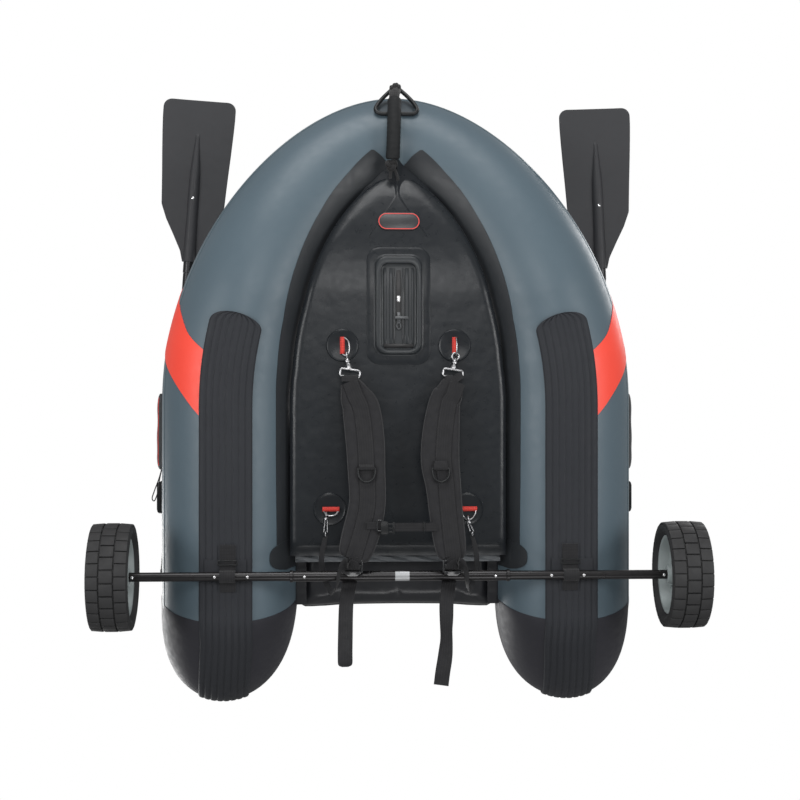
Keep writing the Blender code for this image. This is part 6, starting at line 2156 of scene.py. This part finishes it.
    def make_chest_strap(self) -> None:
        """Make the chest strap, its keeper and its side-release buckle."""
        y, z = self.sternum_y, self.sternum_z
        xs = [-0.088 + 0.1035 * n / 30 for n in range(31)]
        points = [Vector((x, y, z + 0.0010 * math.sin((x + 0.09) * 24))) for x in xs]
        strap = ribbon(points, [Vector((0, 1, 0))] * len(points), [0.020] * len(points), 0.0016)
        self.bench.lay("chest_strap", strap, BLACK_WEBBING, stands_for=["sternum_strap"])
        keeper = bar(rounded([Vector((-0.0555, y - 0.0125, z - 0.0022)),
                              Vector((-0.0555, y + 0.0125, z - 0.0022)),
                              Vector((-0.0555, y + 0.0125, z + 0.0030)),
                              Vector((-0.0555, y - 0.0125, z + 0.0030))],
                             0.0016), 0.0013, 10, ring=True)
        self.bench.lay("chest_keeper", keeper, MOULDED)
        female = skin([[Vector((x, y - 0.002 + wide * math.cos(a), z + thick * math.sin(a)))
                        for a in around(32)]
                       for x, wide, thick in ((0.0300, 0.0120, 0.0030), (0.0302, 0.0150, 0.0042),
                                              (0.034, 0.0162, 0.0048), (0.042, 0.0158, 0.0050),
                                              (0.047, 0.0145, 0.0044), (0.0475, 0.0120, 0.0034))])
        male = joined(block((0.0137, y - 0.0160, z - 0.0026), (0.0190, y + 0.0120, z + 0.0026), 0.0012),
                      block((0.0180, y - 0.0135, z - 0.0020), (0.0305, y - 0.0095, z + 0.0020), 0.0010),
                      block((0.0180, y + 0.0055, z - 0.0020), (0.0305, y + 0.0095, z + 0.0020), 0.0010),
                      block((0.0180, y - 0.0035, z - 0.0018), (0.0305, y - 0.0005, z + 0.0018), 0.0008))
        self.bench.lay("chest_buckle", joined(female, male), MOULDED, stands_for=["sternum_buckle"])
        corners = [Vector((0.0495 + a, y + 0.004 + b, z - 0.0010)) for a, b in
                   ((-0.0058, 0.0125), (0.0058, 0.0125), (0.0058, -0.0125), (-0.0058, -0.0125))]
        slide = bar(rounded(corners, 0.0025), 0.0017, 10, ring=True)
        self.bench.lay("chest_slide", slide, ACETAL)
        ends = [Vector((0.046 + 0.034 * n / 10, y + 0.004, z + 0.0020 - 0.002 * n / 10)) for n in range(11)]
        self.bench.lay("chest_strap_end",
                       ribbon(ends, [Vector((0, 1, 0))] * 11, [0.018] * 11, 0.0015), BLACK_WEBBING)


@dataclass
class Oars:
    """Both oars with their blades and grips, the oarlocks that they turn in and the lock bases."""

    bench: Bench
    pivot: tuple[float, float, float] = (0.583, -0.250, 0.235)
    shaft_radius: float = 0.0135
    shaft_aft: float = -0.215
    grip_length: float = 0.120
    blade_rows: tuple[tuple[float, float, float], ...] = (
        (0.0000, 0.0185, 0.0165), (0.0290, 0.026, 0.0165), (0.0710, 0.047, 0.0160), (0.1110, 0.068, 0.0150),
        (0.1500, 0.083, 0.0150), (0.1900, 0.085, 0.0150), (0.2350, 0.0875, 0.0140), (0.2900, 0.091, 0.0090),
        (0.3450, 0.094, 0.0034), (0.3820, 0.0955, 0.0030), (0.4290, 0.0955, 0.0027))
    corner: float = 0.022

    def build(self) -> None:
        """Make both oars and what carries them."""
        for (name, side), lean, fore in zip(SIDES.items(),
                                            (math.radians(4.0), math.radians(2.3)), (0.613, 0.599)):
            along = Vector((-math.sin(lean), math.cos(lean), 0))
            self.make_shaft(name, side, along, fore)
            self.make_blade(name, side, along, fore)
            self.make_lock(name, side, lean)
            self.make_base(name, side)

    def make_shaft(self, name: str, side: int, along: Vector, fore: float) -> None:
        """Make one shaft with its joint rings, its pivot collar and pin, and its grip.

        Args:
            name: starboard or port.
            side: 1 to starboard, or -1 to port.
            along: the direction from grip to blade.
            fore: the distance from the pivot to the shaft's blade end.
        """
        pivot, r, aft = Vector(self.pivot), self.shaft_radius, self.shaft_aft
        profile = [(0.0, aft), (r * 0.85, aft), (r, aft + 0.002), (r, -0.0235), (0.0172, -0.0228),
                   (0.0185, -0.0205), (0.0185, -0.0165), (0.0176, -0.0150), (0.0176, 0.0150),
                   (0.0185, 0.0165), (0.0185, 0.0205), (0.0172, 0.0228), (r, 0.0235), (r, 0.150),
                   (r + 0.0012, 0.151), (r + 0.0012, 0.172), (r, 0.173), (r, fore - 0.030),
                   (r + 0.0010, fore - 0.029), (r + 0.0010, fore), (0.0, fore)]
        shaft = turned(profile, pivot, along, 48)
        across = along.cross(Vector((0, 0, 1)))
        pin = turned([(0.0, -0.0285), (0.0042, -0.0283), (0.0050, -0.0272),
                      (0.0050, 0.0272), (0.0042, 0.0283), (0.0, 0.0285)], pivot, across, 24)
        self.bench.lay(f"shaft_{name}", joined(shaft, pin), OAR_METAL, f"oar_{name}",
                       [f"oar_shaft_{name}"], side)
        bore, end = r + 0.0006, aft + self.grip_length
        grip = [(bore, aft + 0.001), (0.0160, aft + 0.0006), (0.0180, aft + 0.003), (0.0186, aft + 0.009)]
        for n in range(14):
            start = aft + 0.014 + n * 0.0070
            grip += [(0.0168, start), (0.0176, start + 0.0012), (0.0176, start + 0.0048),
                     (0.0168, start + 0.0060)]
        grip += [(0.0180, end - 0.005), (0.0172, end - 0.001), (0.0150, end), (bore, end),
                 (bore, aft + 0.001)]
        self.bench.lay(f"grip_{name}", turned(grip, pivot, along, 48), GRIP_FOAM, f"oar_{name}",
                       [f"oar_grip_{name}"], side)

    def make_blade(self, name: str, side: int, along: Vector, fore: float) -> None:
        """Make one blade: a flat plate with a beaded rim and a hollow spine that fades out.

        Args:
            name: starboard or port.
            side: 1 to starboard, or -1 to port.
            along: the direction from grip to blade.
            fore: the distance from the pivot to the shaft's blade end.
        """
        across = along.cross(Vector((0, 0, 1)))
        start = Vector(self.pivot) + along * (fore + 0.0003)
        length = self.blade_rows[-1][0]
        distances = [length * n / 96 for n in range(94)]
        distances += [length - self.corner * (1 - math.sin(math.pi / 2 * n / 12)) for n in range(2, 13)]
        distances = sorted(set(distances))
        rows = []
        for d in distances:
            low = max(k for k in range(len(self.blade_rows) - 1) if self.blade_rows[k][0] <= d + 1e-9)
            a, b = self.blade_rows[low], self.blade_rows[low + 1]
            share = (d - a[0]) / (b[0] - a[0])
            half, spine = a[1] + (b[1] - a[1]) * share, a[2] + (b[2] - a[2]) * share
            into = max(0.0, d - (length - self.corner))
            half -= self.corner - math.sqrt(max(0.0, self.corner**2 - into**2))
            edge = 0.0016 if d < length - 0.0005 else 0.0009
            spread = max(spine, 0.006)
            marks = [n / 6 * spread for n in range(7)]
            marks += [spread * 1.12, spread * 1.35] if half > spread * 1.5 else []
            rest = [marks[-1] + (half - 0.0045 - marks[-1]) * n / 7 for n in range(1, 8)]
            marks += [m for m in rest if m > marks[-1]] if half - 0.0045 > marks[-1] else [marks[-1]] * 7
            marks = marks[:14] + [marks[-1]] * max(0, 14 - len(marks))
            marks += [max(half - 0.0030, marks[-1]), max(half - 0.0012, marks[-1]), max(half, marks[-1])]
            heights = []
            for mark in marks:
                dome_height = spine * math.sqrt(max(0.0, 1 - (mark / spread) ** 2)) if spine > 0.0040 else 0.0
                bead = 0.0011 * math.exp(-((half - 0.0022 - mark) / 0.0020) ** 2)
                heights.append(max(edge, dome_height) + bead * (1.0 if mark < half - 0.0004 else 0.2))
            heights[-1] *= 0.55
            right = [(m, -h) for m, h in zip(marks, heights)]
            right += [(m, h) for m, h in zip(marks[::-1], heights[::-1])]
            left = [(-m, h) for m, h in zip(marks[1:], heights[1:])]
            left += [(-m, -h) for m, h in zip(marks[:0:-1], heights[:0:-1])]
            rows.append([start + along * d + across * m + Vector((0, 0, h)) for m, h in right + left])
        blade = skin(rows)
        self.bench.lay(f"blade_{name}", blade, OAR_PLASTIC, f"oar_{name}", [f"oar_blade_{name}"], side)
        rivets = [dome(start + along * 0.168 + Vector((0, 0, s * 0.0146)), Vector((0, 0, s)), 0.0042, 0.0018)
                  for s in (-1, 1)]
        self.bench.lay(f"blade_rivets_{name}", joined(*rivets), BRIGHT, f"oar_{name}", side=side)

    def make_lock(self, name: str, side: int, lean: float) -> None:
        """Make one oarlock: a pin in the base, a foot and two round-topped cheeks.

        Args:
            name: starboard or port.
            side: 1 to starboard, or -1 to port.
            lean: how far the oar leans from fore and aft, in radians.
        """
        x, y, _ = self.pivot
        pin = turned([(0.0, 0.142), (0.0056, 0.1425), (0.0060, 0.1440), (0.0060, 0.1850), (0.0, 0.1850)],
                     Vector((0, 0, 0)), Vector((0, 0, 1)), 32)
        foot = block((-0.0275, -0.015, 0.184), (0.0275, 0.015, 0.202), 0.0025)
        parts = [pin, foot]
        for low, high in ((-0.0275, -0.0230), (0.0230, 0.0275)):
            rows = []
            for share, inset in ((0.0, 0.0012), (0.18, 0.0), (0.82, 0.0), (1.0, 0.0012)):
                place = low + (high - low) * share
                outline = [(-0.0135 + inset, 0.190), (-0.0135 + inset, 0.236)]
                outline += [((0.0135 - inset) * math.cos(a), 0.237 + (0.0138 - inset) * math.sin(a)) for a in
                            (math.pi - math.pi * n / 14 for n in range(15))]
                outline += [(0.0135 - inset, 0.236), (0.0135 - inset, 0.190)]
                rows.append([Vector((place, b, c)) for b, c in outline])
            parts.append(skin(rows))
        fork = moved(joined(*parts), Matrix.Translation((x, y, 0)) @ Matrix.Rotation(lean, 4, "Z"))
        self.bench.lay(f"fork_{name}", fork, MOULDED, f"oarlock_{name}", [f"oarlock_{name}"], side)

    def make_base(self, name: str, side: int) -> None:
        """Make one lock base, moulded to the pontoon's shoulder, with a flange and a socket.

        Args:
            name: starboard or port.
            side: 1 to starboard, or -1 to port.
        """
        rows = []
        radius = HULL.tube_radius + 0.0016
        for y, inset in ((-0.2900, 0.010), (-0.2885, 0.0055), (-0.2850, 0.0020),
                         (-0.2790, 0.0), (-0.2500, 0.0), (-0.2210, 0.0), (-0.2150, 0.0020),
                         (-0.2115, 0.0055), (-0.2100, 0.010)):
            low_x, high_x, top = 0.512 + inset * 0.6, 0.602 - inset * 0.6, 0.182 - inset
            lowest = 0.030 + inset
            outline = [(high_x, lowest), (high_x, top - 0.010), (high_x - 0.003, top - 0.003),
                       (high_x - 0.010, top)]
            outline += [(low_x + 0.010, top), (low_x + 0.003, top - 0.003), (low_x, top - 0.010)]
            first = math.acos((low_x - HULL.half_spacing) / radius)
            last = math.asin(lowest / radius)
            outline += [(HULL.half_spacing + radius * math.cos(a), radius * math.sin(a)) for a in
                        (first + (last - first) * n / 20 for n in range(21))]
            rows.append([Vector((x, y, z)) for x, z in outline])
        body = skin(rows)
        rim = turned([(0.0066, 0.1825), (0.0066, 0.1832), (0.0130, 0.1834), (0.0142, 0.1826),
                      (0.0142, 0.1800)],
                     Vector((self.pivot[0], self.pivot[1], 0)), Vector((0, 0, 1)), 40)
        self.bench.lay(f"lock_base_{name}", joined(body, rim), MOULDED,
                       stands_for=[f"oarlock_base_{name}"], side=side)


@dataclass
class Seating:
    """The deck between the pontoons, the inflated seat and the backrest that folds onto it."""

    bench: Bench
    deck_z: float = -0.045
    deck_ends: tuple[float, float] = (-0.402, -0.090)
    seat_half: float = 0.246
    seat_ends: tuple[float, float] = (-0.522, -0.130)
    seat_bottom: float = -0.030
    seat_height: float = 0.105
    seat_channels: tuple[float, ...] = (-0.080, 0.080)
    back_half: float = 0.205
    back_height: float = 0.450
    back_thickness: float = 0.070
    back_below: float = 0.108
    hinge: tuple[float, float] = (-0.096, 0.083)
    lean: float = math.radians(14)
    voxel: float = 0.0055
    pressure: float = 4.0
    swelling_frames: int = 20

    def build(self) -> None:
        """Make the deck, the seat and the backrest."""
        self.make_deck()
        self.make_hem()
        self.make_flaps()
        self.make_seat()
        self.make_backrest()

    def make_deck(self) -> None:
        """Make the deck: one sheet of coated cloth stretched between the pontoons."""
        low, high = self.deck_ends
        half = HULL.half_spacing - math.sqrt(HULL.tube_radius**2 - 0.040**2) - 0.0035
        rows = []
        for k in range(61):
            y = low + (high - low) * k / 60
            tops = []
            for n in range(49):
                x = -half + 2 * half * n / 48
                sag = 0.0018 * math.cos(math.pi / 2 * x / half) + 0.0004 * math.sin(y * 90 + x * 22)
                tops.append(Vector((x, y, self.deck_z + 0.0040 - sag)))
            rows.append(tops + [p - Vector((0, 0, 0.0011)) for p in reversed(tops)])
        deck = self.bench.lay("deck", skin(rows), DECK_CLOTH, stands_for=["seat_deck"])

    def make_flaps(self) -> None:
        """Make the narrow flaps of the deck's cloth that run aft under the seat's sides."""
        for name, side in SIDES.items():
            points = [Vector((0.2390, self.deck_ends[0] + 0.010 - 0.120 * n / 24, self.seat_bottom - 0.0035
                              - 0.0006 * math.sin(n * 0.9))) for n in range(25)]
            flap = ribbon(points, [Vector((1, 0, 0))] * 25, [0.0262] * 25, 0.0012)
            self.bench.lay(f"deck_flap_{name}", flap, SEAT_CLOTH, side=side)

    def make_hem(self) -> None:
        """Make the creased grey hem between the floor panel's stern edge and the seat."""
        rows = []
        for k in range(9):
            y = -0.3860 - 0.0150 * k / 8
            row = []
            for n in range(121):
                x = -0.252 + 0.504 * n / 120
                crease = 0.0030 * noise.noise(Vector((x * 38, y * 80, 0.3)))
                crease += 0.0014 * math.sin(x * 95 + k * 0.8)
                row.append(Vector((x, y, -0.0840 + crease + 0.0022 * math.cos(math.pi * k / 8))))
            rows.append(row + [p + Vector((0, 0, 0.0012)) for p in reversed(row)])
        self.bench.lay("floor_hem", skin(rows), HEM)

    def cushion(self, half: float, ends: tuple[float, float], height: float,
                corner: float) -> bmesh.types.BMesh:
        """Return a crowned pad whose sides pull in between its corners, lying on z = 0.

        Args:
            half: half its width.
            ends: the y of its two ends.
            height: its height.
            corner: the radius of its corners.

        Returns:
            The pad's mesh.
        """
        low, high = ends
        middle, long = (low + high) / 2, (high - low) / 2
        rows = []
        layers = ((0.02, 0.86), (0.06, 0.93), (0.16, 0.975), (0.32, 0.995), (0.50, 1.0),
                  (0.68, 0.995), (0.84, 0.975), (0.94, 0.93), (0.98, 0.86))
        for level, reach in layers:
            loop = rounded_frame(half * reach, long * reach, corner, 0.0)
            rows.append([Vector((x * (1 - 0.004 * math.cos(math.pi / 2 * y / long) ** 2),
                                 middle + y * (1 - 0.012 * math.cos(math.pi / 2 * x / half) ** 2),
                                 height * level))
                         for x, y in loop])
        inner = [[Vector((p.x * s, middle + (p.y - middle) * s, z)) for p in rows[at]] for s, z, at in
                 ((0.55, 0.0, 0), (0.55, height, -1))]
        return skin([inner[0], *rows, inner[1]])

    def puffed(self, bm: bmesh.types.BMesh, cap: float) -> bmesh.types.BMesh:
        """Return a pad after a cloth simulation has swollen it, each point moved no further than cap.

        Args:
            bm: the pad, which is freed.
            cap: the furthest that a point may move.
        """
        mesh = bpy.data.meshes.new("swelling")
        bm.to_mesh(mesh)
        bm.free()
        item = bpy.data.objects.new("swelling", mesh)
        bpy.context.scene.collection.objects.link(item)
        remesh = item.modifiers.new("remesh", "REMESH")
        remesh.mode = "VOXEL"
        remesh.voxel_size = self.voxel
        even = bpy.data.meshes.new_from_object(item.evaluated_get(bpy.context.evaluated_depsgraph_get()))
        item.modifiers.clear()
        item.data = even
        start = [vert.co.copy() for vert in even.vertices]
        cloth = item.modifiers.new("cloth", "CLOTH")
        cloth.settings.use_pressure = True
        cloth.settings.uniform_pressure_force = self.pressure
        cloth.settings.effector_weights.gravity = 0.0
        scene = bpy.context.scene
        for number in range(1, self.swelling_frames + 1):
            scene.frame_set(number)
        swollen = bpy.data.meshes.new_from_object(item.evaluated_get(bpy.context.evaluated_depsgraph_get()))
        scene.frame_set(1)
        result = bmesh.new()
        result.from_mesh(swollen)
        for vert, before in zip(result.verts, start):
            move = vert.co - before
            if move.length > cap:
                vert.co = before + move.normalized() * cap
        bpy.data.objects.remove(item)
        for spare in (mesh, even, swollen):
            bpy.data.meshes.remove(spare)
        return result

    @staticmethod
    def subdivided(bm: bmesh.types.BMesh) -> bmesh.types.BMesh:
        """Return the pad smoothed and divided once.

        Args:
            bm: the pad, which is changed.

        Returns:
            The same pad.
        """
        for _ in range(2):
            bmesh.ops.smooth_vert(bm, verts=bm.verts, factor=0.5, use_axis_x=True,
                                  use_axis_y=True, use_axis_z=True)
        bmesh.ops.subdivide_edges(bm, edges=bm.edges, cuts=1, use_grid_fill=True, smooth=0.6)
        return bm

    @staticmethod
    def pinched(bm: bmesh.types.BMesh, channels: Sequence[float], middle: float, depth: float,
                stops: tuple[float, float], crosswise: Sequence[float] = (),
                both: bool = True) -> bmesh.types.BMesh:
        """Press sewn channels into the faces of a pad.

        Args:
            bm: the pad.
            channels: the x of each channel along it.
            middle: the height of the pad's middle.
            depth: how deep each channel is.
            stops: the y at which the channels begin and end.
            crosswise: the y of each channel across it.
            both: whether the lower face is pressed too.

        Returns:
            The same pad.
        """
        low, high = stops
        for vert in bm.verts:
            if vert.co.z < middle and not both:
                continue
            ends = eased(vert.co.y, low, low + 0.03) * (1 - eased(vert.co.y, high - 0.03, high))
            press = sum(math.exp(-((vert.co.x - x) / 0.0075) ** 2) for x in channels) * ends
            press += sum(math.exp(-((vert.co.y - y) / 0.0075) ** 2) for y in crosswise)
            nearest = min(abs(vert.co.x - x) for x in channels)
            pucker = 1 + 0.25 * math.sin(vert.co.y * 210) * math.exp(-(nearest / 0.02) ** 2)
            away = vert.co.z - middle
            vert.co.z = middle + math.copysign(max(abs(away) - depth * press * pucker,
                                                   abs(away) * 0.25), away)
        return bm

    @staticmethod
    def rim(bm: bmesh.types.BMesh, centre: Vector, lift: float, count: int = 160) -> list[Vector]:
        """Return points round a pad's widest line, at the height of centre.

        Args:
            bm: the pad.
            centre: the point that they lie round.
            lift: how far the points stand off it.
            count: the number of directions to look in.

        Returns:
            The points in order.
        """
        tree = BVHTree.FromBMesh(bm)
        points = []
        for n in range(count):
            angle = FULL_TURN * n / count
            spoke = Vector((math.cos(angle), math.sin(angle), 0))
            hit = tree.ray_cast(centre + spoke, -spoke)[0]
            if hit is not None:
                points.append(hit + spoke * lift)
        return points

    def make_seat(self) -> None:
        """Make the seat: a tight inflated pad with two sewn channels, piped round its middle."""
        height = self.seat_height
        low, high = self.seat_ends
        bm = self.cushion(self.seat_half - 0.006, (low + 0.006, high - 0.006), height - 0.022, 0.018)
        moved(bm, Matrix.Translation((0, 0, 0.011)))
        bm = self.subdivided(self.puffed(bm, 0.010))
        self.fitted(bm, (-self.seat_half, low, 0.0), (self.seat_half, high, height))
        self.pinched(bm, self.seat_channels, height / 2, 0.012, (low + 0.03, high - 0.03), both=False)
        centre = Vector((0, (low + high) / 2, height / 2))
        seam = bar(self.rim(bm, centre, 0.0004), 0.0030, 10, ring=True)
        place = Matrix.Translation((0, 0, self.seat_bottom))
        seat = self.bench.lay("seat", moved(bm, place), SEAT_CLOTH, stands_for=["seat_cushion"], sharp=75)
        self.bench.lay("seat_piping", moved(seam, place), PIPING, sharp=80)
        valve = turned([(0.0, 0.0), (0.016, 0.0), (0.016, 0.002), (0.013, 0.0036),
                        (0.0115, 0.0060), (0.0105, 0.0072), (0.0, 0.0074)],
                        Vector((0.165, low + 0.055, height * 0.955)), Vector((0, 0, 1)), 40)
        self.bench.lay("seat_valve", moved(valve, place), MOULDED)

    @staticmethod
    def fitted(bm: bmesh.types.BMesh, low: Sequence[float], high: Sequence[float]) -> bmesh.types.BMesh:
        """Return a pad stretched or drawn in so that it just fills the box between two corners.

        Args:
            bm: the pad, which is changed.
            low: the box's lowest corner.
            high: its highest corner.

        Returns:
            The same pad.
        """
        for axis in range(3):
            places = [vert.co[axis] for vert in bm.verts]
            start, size = min(places), max(places) - min(places)
            for vert in bm.verts:
                vert.co[axis] = low[axis] + (vert.co[axis] - start) / size * (high[axis] - low[axis])
        return bm

    def make_backrest(self) -> None:
        """Make the backrest, drawn lying down and stood up on its hinge."""
        thick = self.back_thickness
        ends = (-self.back_below, self.back_height - self.back_below)
        bm = self.cushion(self.back_half - 0.006, (ends[0] + 0.006, ends[1] - 0.006), thick - 0.018, 0.055)
        moved(bm, Matrix.Translation((0, 0, 0.009)))
        bm = self.subdivided(self.puffed(bm, 0.009))
        self.fitted(bm, (-self.back_half, ends[0], 0.0), (self.back_half, ends[1], thick))
        self.pinched(bm, (-0.068, 0.068), thick / 2, 0.009, (ends[0] + 0.03, ends[1] - 0.03), (0.118,))
        centre = Vector((0, (ends[0] + ends[1]) / 2, thick / 2))
        seam = bar(self.rim(bm, centre, 0.0004), 0.0028, 10, ring=True)
        place = Matrix.Translation((0, *self.hinge)) @ Matrix.Rotation(math.pi / 2 - self.lean, 4, "X")
        place = place @ Matrix.Translation((0, 0, -thick))
        back = self.bench.lay("backrest_pad", moved(bm, place), SEAT_CLOTH, "backrest",
                              ["backrest"], sharp=75)
        self.bench.lay("backrest_piping", moved(seam, place), PIPING, "backrest", sharp=80)


@dataclass
class Luggage:
    """The two saddle bags on the pontoons."""

    bench: Bench
    ends: tuple[float, float] = (-0.178, 0.012)
    inner_radius: float = 0.1705
    angles: tuple[float, float] = (2.0, 124.0)
    flap: float = 0.016
    pocket: float = 0.046

    def build(self) -> None:
        """Make both bags."""
        for name, side in SIDES.items():
            self.make_bag(name, side)
            self.make_trim(name, side)

    def depth(self, degrees: float, share: float) -> float:
        """Return the bag's thickness at an angle round the pontoon and a share of its length.

        Args:
            degrees: the angle round the pontoon.
            share: 0 at the stern end and 1 at the bow end.

        Returns:
            The thickness.
        """
        blend = eased(degrees, 56, 82)
        depth = self.flap + (self.pocket - self.flap) * blend
        ends = math.sqrt(max(0.0, 1 - abs(2 * share - 1) ** 7))
        low, high = self.angles
        edge = min(1.0, 0.30 + 0.70 * math.sqrt(max(0.0, min(degrees - low, high - degrees) / 7.0)))
        sag = 1 + 0.05 * math.sin(degrees * 0.11 + share * 5) + 0.04 * math.sin(share * 17 + degrees * 0.05)
        return depth * (0.38 + 0.62 * ends) * edge * min(sag, 1.06)

    def point(self, degrees: float, share: float, lift: float = 0.0, deep: bool = False) -> Vector:
        """Return a point on the bag's outer face, or on its inner face where deep.

        Args:
            degrees: the angle round the pontoon.
            share: 0 at the stern end and 1 at the bow end.
            lift: how far the point stands off the face.
            deep: whether it is on the inner face.

        Returns:
            The point.
        """
        angle = math.radians(degrees)
        radius = self.inner_radius + (0.0 if deep else self.depth(degrees, share)) + lift
        y = self.ends[0] + (self.ends[1] - self.ends[0]) * share
        return Vector((HULL.half_spacing + radius * math.cos(angle), y, radius * math.sin(angle)))

    def make_bag(self, name: str, side: int) -> None:
        """Make one bag's shell: a flap down the outboard side that swells to a pocket on top.

        Args:
            name: starboard or port.
            side: 1 to starboard, or -1 to port.
        """
        low, high = self.angles
        rows = []
        for k in range(57):
            share = 0.5 - 0.5 * math.cos(math.pi * k / 56)
            marks = [low + (high - low) * n / 76 for n in range(77)]
            rows.append([self.point(a, share) for a in marks]
                        + [self.point(a, share, deep=True) for a in marks[::-1]])
        bag = self.bench.lay(f"bag_{name}", skin(rows), BAG_CLOTH,
                             stands_for=[f"cargo_bag_{name}"], side=side, sharp=60)

    def make_trim(self, name: str, side: int) -> None:
        """Make one bag's zip with its pull and its piping, and on the starboard bag the red line on its
        outboard hem and a pull cord.

        Args:
            name: starboard or port.
            side: 1 to starboard, or -1 to port.
        """
        shares = [0.05 + 0.90 * n / 60 for n in range(61)]
        degrees = 74.0
        line = [self.point(degrees, s, 0.0006) for s in shares]
        up = Vector((math.cos(math.radians(degrees)), 0, math.sin(math.radians(degrees))))
        across = up.cross(Vector((0, 1, 0)))
        tape = ribbon(line, [across] * len(line), [0.024] * len(line), 0.0010)
        pieces = [tape]
        for edge in (64.0, 120.0):
            seam = [self.point(edge, s, 0.0004) for s in shares]
            pieces.append(bar(seam, 0.0019, 8))
        self.bench.lay(f"bag_piping_{name}", joined(*pieces), PIPING, side=side, sharp=80)
        teeth = joined(*[stitches([p + across * shift + up * 0.0009 for p in line], up, 0.0028)
                         for shift in (-0.0009, 0.0009)])
        pull_at = line[6] + up * 0.0022
        pull = block((-0.0034, -0.006, -0.0014), (0.0034, 0.006, 0.0014), 0.0010)
        frame_axes = Matrix((across, Vector((0, 1, 0)), up)).transposed().to_4x4()
        moved(pull, Matrix.Translation(pull_at) @ frame_axes)
        self.bench.lay(f"bag_zip_{name}", joined(teeth, pull), MOULDED, side=side)
        start = self.point(6.0, 0.0) + Vector((-0.004, 0.004, 0.0))
        loop = [start, start + Vector((0.006, -0.030, -0.002)), start + Vector((0.010, -0.060, -0.004)),
                start + Vector((0.018, -0.082, -0.005)), start + Vector((0.024, -0.076, -0.005)),
                start + Vector((0.018, -0.056, -0.003)), start + Vector((0.008, -0.028, 0.001)), start]
        if name == "starboard":
            hem = [self.point(3.2, s, -0.0006) for s in shares]
            self.bench.lay("bag_red_line", bar(hem, 0.0012, 8), RED_PIPING, sharp=80)
            points = [Vector(spline([tuple(p) for p in loop], n / 50)) for n in range(51)]
            self.bench.lay("bag_pull_cord", bar(points, 0.0014, 8), CORD)


@dataclass
class Valves:
    """The inflation valves on top of the chambers, with their screwed caps."""

    bench: Bench
    share: float = 3 / 14

    def build(self) -> None:
        """Make both valves."""
        cut = HULL.station(self.share)
        place = Vector((cut.centre.x, cut.centre.y, cut.centre.z + cut.radius + 0.0025))
        up = Vector((0, 0, 1))
        for name, side in SIDES.items():
            body = turned([(0.006, 0.0), (0.029, 0.0), (0.030, 0.0006), (0.0295, 0.0018), (0.0285, 0.0030),
                           (0.0255, 0.0036), (0.0235, 0.0048), (0.0225, 0.0050),
                           (0.006, 0.0050), (0.006, 0.0)],
                          place, up, 72)
            skirt = turned([(0.030, -0.0020), (0.039, -0.0048), (0.0395, -0.0040), (0.031, -0.0004),
                            (0.030, -0.0020)],
                           place, up, 72)
            self.bench.lay(f"valve_seat_{name}", joined(body, skirt), MOULDED,
                           stands_for=[f"valve_body_{name}"], side=side)
            cap = turned([(0.0, 0.0055), (0.0195, 0.0055), (0.0200, 0.0060),
                          (0.0200, 0.0108), (0.0190, 0.0122), (0.0165, 0.0128), (0.0155, 0.0116),
                          (0.0060, 0.0114), (0.0050, 0.0128), (0.0, 0.0130)],
                         place, up, 72)
            parts = [cap]
            for n in range(24):
                angle = FULL_TURN * n / 24
                spoke = Vector((math.cos(angle), math.sin(angle), 0))
                rib = block((-0.0009, -0.0009, 0.0060), (0.0009, 0.0009, 0.0112), 0.0005, 1)
                parts.append(moved(rib, Matrix.Translation(place + spoke * 0.0200)
                                   @ Matrix.Rotation(angle, 4, "Z")))
            grip = block((-0.0150, -0.0018, 0.0112), (0.0150, 0.0018, 0.0129), 0.0007, 2)
            parts.append(moved(grip, Matrix.Translation(place)))
            self.bench.lay(f"valve_lid_{name}", joined(*parts), MOULDED, f"valve_cap_{name}",
                           [f"valve_cap_{name}"], side)


def main() -> None:
    """Build every sub-assembly in order."""
    logging.basicConfig(level=logging.INFO, format="%(message)s")
    bench = Bench()
    Studio(bench).build()
    Pontoons(bench).build()
    floor = FloorPanel(bench)
    floor.build()
    RunningGear(bench).build()
    BowTackle(bench).build()
    AccessoryBase(bench, floor).build()
    Harness(bench, floor).build()
    Oars(bench).build()
    Seating(bench).build()
    Luggage(bench).build()
    Valves(bench).build()
    LOG.info("%d pieces", bench.count)


if __name__ == "__main__":
    main()
